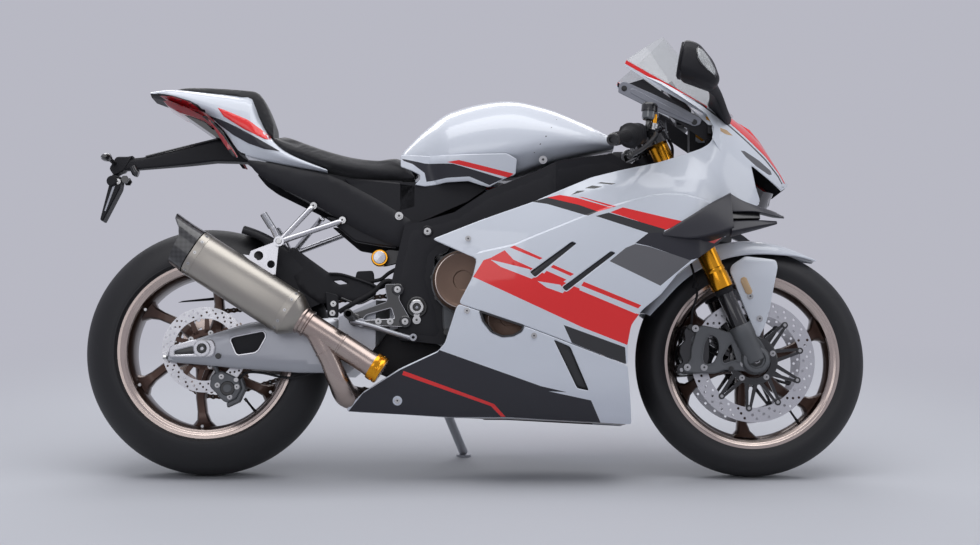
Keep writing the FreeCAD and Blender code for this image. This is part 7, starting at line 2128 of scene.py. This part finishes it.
top_bits.add(lathe([(0.01, 634), (15, 634), (17, 632), (17, 616), (0.01, 616)], fork(0, -62), STEER, 32,
                   closed=False), BLACKSTEEL)
top_bits.add(tube([fork(560, 24, -60), fork(590, 36, -84), fork(612, 34, -96), fork(640, 20, -130)], 4, 10),
             RUBBER)
top_bits.add(tube([fork(540, 30, 50), fork(590, 40, 80), fork(616, 34, 96), fork(640, 20, 132)], 4, 10),
             RUBBER)
top_bits.piece("yoke_bits", "steering", None, angle=38)
screws("yoke_screws", "steering", [(fork(632, u, s * 105), STEER) for s in BOTH for u in (34, -34)], 4.5, 3)

# ------------------------------------------------------------ cockpit, mirrors and markers
keep_cad(PLASTIC, "cowl_stay")
stay = Shape()
STAY = [(1064, 994), (1068, 1018), (1076, 1023), (1088, 1020), (1155, 990), (1223, 958), (1282, 925),
        (1278, 910), (1262, 905), (1154, 949)]
stay.add(sheet(rounded(STAY, 4, 2), -126.6, 2.4, edge=1.2, drop=0.9, step=0, sign=-1), PANELGREY)
stay.add(sheet(rounded([(1098, 1004), (1108, 1002), (1262, 922), (1256, 914), (1150, 962), (1096, 992)], 3,
                       2), -128.2, 1.6, edge=1.2, drop=0.9, step=0, sign=-1), PANELGREY)
stay.add(sheet(rounded([(1215, 966), (1282, 925), (1278, 910), (1262, 905), (1220, 920)], 4, 2), 126.6, 2.4,
               edge=1.2, drop=0.9, step=0, sign=1), PANELGREY)
stay.piece("cowl_plates", "chassis", None, angle=35)
screws("cowl_screws", "chassis", [((1080, -126.8, 1004), (0, -1, 0)), ((1262, -126.8, 916), (0, -1, 0)),
                                  ((1262, 126.8, 916), (0, 1, 0))], 5, 3, BLACKSTEEL)
dash = Shape()
turn = Matrix.Rotation(math.radians(-32), 3, "Y")


def on_dash(x, y, z):
    """A place on the instruments, in the panel's own frame."""
    return Vector((1240, -80, 945)) + turn @ Vector((x, y, z))


dash.add(loft([[on_dash(x, 80 + a, 46 + b) for a, b in rounded([(-h, -w), (h, -w), (h, w), (-h, w)], 12, 4)]
               for x, h, w in ((22, 74, 40), (18, 82, 47), (4, 84, 49), (-3, 82, 47), (-4, 80, 45))]),
         PLASTIC)
dash.add(loft([[on_dash(x, 80 + a, 46 + b) for a, b in rounded([(-72, -38), (72, -38), (72, 38), (-72, 38)],
                                                               6, 3)] for x in (-4.6, -3)]), GLOSS)
for k in range(12):
    a = math.radians(200 - 20 * k)
    centre = (math.cos(a) * 28, math.sin(a) * 28 - 4)
    dash.add(loft([[on_dash(x, 80 - centre[0] * (1 + q) + w * math.sin(a), 46 + centre[1] * (1 + q) + w
                            * math.cos(a)) for q, w in ((0, -1), (0, 1), (0.18, 1), (0.18, -1))]
                   for x in (-5.2, -4.5)]), SILVER)
dash.piece("instrument_panel", "chassis", "black_parts", angle=35)

HEAD = [(244, [(1264, 1064), (1228, 1072), (1216, 1004), (1280, 974), (1296, 990), (1290, 1030)]),
        (258, [(1266, 1078), (1222, 1084), (1210, 994), (1286, 967), (1302, 984), (1290, 1034)]),
        (330, [(1250, 1076), (1212, 1086), (1195, 990), (1286, 964), (1302, 984), (1286, 1030)]),
        (362, [(1240, 1066), (1207, 1074), (1194, 996), (1268, 972), (1284, 989), (1270, 1030)]),
        (373, [(1228, 1050), (1208, 1056), (1198, 1006), (1248, 988), (1260, 1002), (1250, 1028)])]
STALK = [(100, [(1318, 1002), (1298, 966), (1352, 900), (1364, 931)]),
         (140, [(1316, 1004), (1297, 975), (1340, 917), (1351, 940)]),
         (205, [(1306, 1010), (1284, 987), (1312, 955), (1324, 974)]),
         (252, [(1290, 1014), (1260, 990), (1284, 967), (1300, 984)])]


def across_loft(sections, slices, radius, side, steps):
    """A loft through sections in the side view, outwards on one side."""
    return slice_loft(sections, slices, radius, lambda y, x, z: (x, side * y, z), steps)


for side, word in SIDES:
    mirror = Shape()
    mirror.add(across_loft(HEAD, 22, 15, side, 4), PLASTIC)
    mirror.add(across_loft(STALK, 16, 9, side, 3), PLASTIC)
    rim = [(1194.5, 252, 1003), (1191, 290, 996), (1191, 330, 994), (1194.5, 360, 1001), (1199, 367, 1024),
           (1204, 364, 1052), (1207, 350, 1072), (1208, 300, 1082), (1206, 262, 1080), (1203, 251, 1062)]
    ring = [Vector((x - 1 + (366 - y) * 0.17, side * y, z)) for x, y, z in rim]
    mid = sum(ring, Vector()) / len(ring)
    mirror.add(loft([[mid + (p - mid) * k + Vector((dx, 0, 0)) for p in ring]
                     for k, dx in ((1.0, 8), (1.05, 1), (1.06, -3), (1.0, -5), (0.97, -3))]), PLASTIC)
    mirror.add(loft([[mid + (p - mid) * 0.955 + Vector((dx, 0, 0)) for p in ring] for dx in (-3.6, -1)]),
               MIRROR)
    made = mirror.piece("mirror_" + word + "_body", "chassis", "black_parts", "mirror_" + word, angle=48)
    decals("mirror_lamp_rim_" + word, "chassis", "grey_lens", made,
           [([(1237, 1052), (1243, 1060), (1255, 1055), (1272, 1034), (1287, 1006), (1290, 992), (1285, 984),
              (1262, 998), (1247, 1014), (1238, 1030)], GLOSS)], sides=(side,), lift=1.4, step=6)
    decals("mirror_lamp_" + word, "chassis", "grey_lens", made,
           [([(1240, 1051), (1244, 1056), (1254, 1051), (1269, 1031), (1284, 1004), (1286, 992), (1282, 988),
              (1263, 1001), (1250, 1015), (1241, 1031)], LENS)], sides=(side,), lift=2.6, step=6)

# ------------------------------------------------------------ footrests, pegs and stand
REARSET = [(463, 488), (507, 489), (500, 450), (533, 392), (513, 378), (380, 384), (368, 408), (470, 444)]
REARSET_WINDOW = [(408, 396), (488, 400), (480, 426), (418, 408)]
for side, word in SIDES:
    rest = Shape()
    edge = rounded(REARSET, 7, 3)
    lie = side * 151.8
    rest.add(sheet(edge, lie, 12, holes=[rounded(REARSET_WINDOW, 4, 2)], edge=2, drop=1.6, step=0, sign=side),
             BLACK_AND_SHADE)
    rest.add(lining(shrink(edge, 0.6), side * 150.9, 2, 1.4, side), SILVER)
    rest.add(lining(shrink(rounded(REARSET_WINDOW, 4, 2), -2.4), lie, 3, 1.6, side), SILVER)
    for x, z in ((496, 474), (516, 392)):
        rest.add(lathe([(4, 0), (14, 0), (15, 2), (15, 5), (12, 7), (4, 7)], (x, side * 148, z),
                       (0, side, 0), 28), GLOSS)
        rest.add(lathe([(5, 135.5), (9, 135.5), (9, 141), (5, 141)], (x, 0, z), (0, side, 0), 24), STEEL)
    peg = [(8, 142), (11, 146), (11, 158)]
    for k in range(15):
        y = 160 + k * 5.8
        peg += [(11.3, y), (11.3, y + 3), (10, y + 4), (10, y + 5)]
    peg += [(11, 247), (12, 248), (12, 252), (8, 253.5)]
    rest.add(lathe(peg, (387, 0, 396), (-0.035, side, 0.03), 32), BLACKSTEEL)
    rest.add(lathe([(3, 0), (15, 0), (16, 3), (16, 10), (13, 13), (3, 13)], (388, side * 146, 396),
                   (0, side, 0), 28), GLOSS)
    rest.add(tube([(378, side * 158, 392), (430, side * 160, 380), (480, side * 162, 364),
                   (534, side * 162, 348)], [12, 10, 9, 9], 18, 6, 0.7), ALLOY)
    rest.add(disc_solid((405, side * 146, 388), (0, side, 0), 11, 20, 28), ALLOY)
    rest.add(lathe([(4, 0), (9, 0), (9.5, 2), (9.5, 30), (9, 32), (4, 32)], (538, side * 150, 350),
                   (0, side, 0), 24), ALLOY)
    rest.piece("footrest_" + word, "chassis", "black_parts", "rearset_" + word, angle=36)
screws("footrest_screws", "chassis", [((x, s * 154.5, z), (0, s, 0)) for s in BOTH for x, z in
                                      ((496, 474), (516, 392), (478, 392), (448, 392))], 5.5, 4)
keep_cad(SILVER, "peg_bracket_right", "peg_bracket_left")
pegs = Shape()
for side in BOTH:
    pegs.add(disc_solid((192, side * 158, 596), (0, side, 0), 8, 6, 24, 1.5), STEEL)
    pegs.add(tube([(172, side * 151.6, 634), (151, side * 153.2, 667)], [9.2, 9.2], 20), ALLOY)
pegs.piece("peg_dress", "chassis", None, angle=40)
screws("peg_screws", "chassis", [((x, s * y, z), (0, s, 0)) for s in BOTH
                                 for x, y, z in ((276, 124, 693), (351, 124, 656))], 6, 4)
keep_cad(ALLOY, "side_stand_leg")
keep_cad(BLACKSTEEL, "side_stand_bracket")


# ------------------------------------------------------------ floor, light and camera
BACK = (0.480, 0.483, 0.548)  # the backdrop's colour
LENS_MM, SENSOR_MM = 63.84, 36
CAMERA_AT = (-0.004, -4.6552, 0.9478)
YAW, PITCH, ROLL = -0.0088, 0.0919, 0.0045  # radians


def seen_rays(tree):
    """1 for the rays that should meet the plain backdrop."""
    rays = shade(tree, "ShaderNodeLightPath").outputs
    seen = math_node(tree, "MAXIMUM", rays["Is Camera Ray"], rays["Is Glossy Ray"])
    return math_node(tree, "MAXIMUM", seen, rays["Is Transmission Ray"])


def make_floor():
    """A wide round floor that fades into the plain backdrop."""
    radius, sides = 14, 96
    mesh = bpy.data.meshes.new("studio_floor")
    mesh.from_pydata([(x, y, 0) for x, y in circle(radius, sides)], [], [tuple(range(sides))])
    made = bpy.data.objects.new("studio_floor", mesh)
    bpy.context.collection.objects.link(made)
    used = bpy.data.materials.new("studio floor")
    used.use_nodes = True
    tree = used.node_tree
    shader = tree.nodes["Principled BSDF"]
    shader.inputs["Base Color"].default_value = (0.58, 0.592, 0.648, 1)
    shader.inputs["Roughness"].default_value = 0.8
    glow = shade(tree, "ShaderNodeEmission", {"Color": (*BACK, 1)})
    where = shade(tree, "ShaderNodeTexCoord").outputs["Object"]
    far = shade(tree, "ShaderNodeVectorMath", {0: where}, operation="LENGTH").outputs["Value"]
    fade = shade(tree, "ShaderNodeMapRange", {"From Min": 0.9, "From Max": 3.2, "Value": far},
                 interpolation_type="SMOOTHSTEP").outputs[0]
    share = math_node(tree, "MULTIPLY", fade, seen_rays(tree))
    mix = shade(tree, "ShaderNodeMixShader", {0: share, 1: shader.outputs[0], 2: glow.outputs[0]})
    tree.links.new(mix.outputs[0], tree.nodes["Material Output"].inputs["Surface"])
    mesh.materials.append(used)


def make_world():
    """Soft light from all round, and the plain backdrop for the rays that see it."""
    world = bpy.data.worlds.new("studio")
    bpy.context.scene.world = world
    world.use_nodes = True
    tree = world.node_tree
    light = tree.nodes["Background"]
    light.inputs["Color"].default_value = (0.93, 0.96, 1.0, 1)
    light.inputs["Strength"].default_value = 0.37
    plain = shade(tree, "ShaderNodeBackground", {"Color": (*BACK, 1)})
    mix = shade(tree, "ShaderNodeMixShader", {0: seen_rays(tree), 1: light.outputs[0], 2: plain.outputs[0]})
    tree.links.new(mix.outputs[0], tree.nodes["World Output"].inputs["Surface"])


def lamp(name, place_at, size, power, aim):
    """A soft rectangular light."""
    data = bpy.data.lights.new(name, "AREA")
    data.shape = "RECTANGLE"
    data.size, data.size_y = size
    data.energy = power
    made = bpy.data.objects.new(name, data)
    bpy.context.collection.objects.link(made)
    made.location = place_at
    made.rotation_euler = (Vector(aim) - Vector(place_at)).to_track_quat("-Z", "Y").to_euler()


def make_camera():
    """The camera, from its place and its three turns."""
    data = bpy.data.cameras.new("camera")
    data.lens, data.sensor_width = LENS_MM, SENSOR_MM
    made = bpy.data.objects.new("camera", data)
    bpy.context.collection.objects.link(made)
    right = Vector((math.cos(YAW), math.sin(YAW), 0))
    level = Vector((-math.sin(YAW), math.cos(YAW), 0))
    ahead = level * math.cos(PITCH) - Vector((0, 0, math.sin(PITCH)))
    up = level * math.sin(PITCH) + Vector((0, 0, math.cos(PITCH)))
    right, up = right * math.cos(ROLL) + up * math.sin(ROLL), up * math.cos(ROLL) - right * math.sin(ROLL)
    turn = Matrix((right, up, -ahead)).transposed().to_4x4()
    made.matrix_world = Matrix.Translation(CAMERA_AT) @ turn
    bpy.context.scene.camera = made


make_floor()
make_world()
# place, size and power of each lamp, and what it points at
for name, at, size, power, aim in (("top_softbox", (0.0, -0.6, 3.2), (4.2, 2.4), 68, (0, 0, 0.5)),
                                   ("side_softbox", (-1.4, -4.4, 2.4), (2.6, 1.6), 15, (0, 0, 0.6)),
                                   ("front_softbox", (3.4, -1.4, 1.8), (1.4, 2.0), 9, (0, 0, 0.6)),
                                   ("back_rim", (-0.3, 3.0, 2.8), (4.0, 1.0), 40, (0, 0, 0.6))):
    lamp(name, at, size, power, aim)
make_camera()
bpy.context.scene.view_settings.view_transform = "Standard"
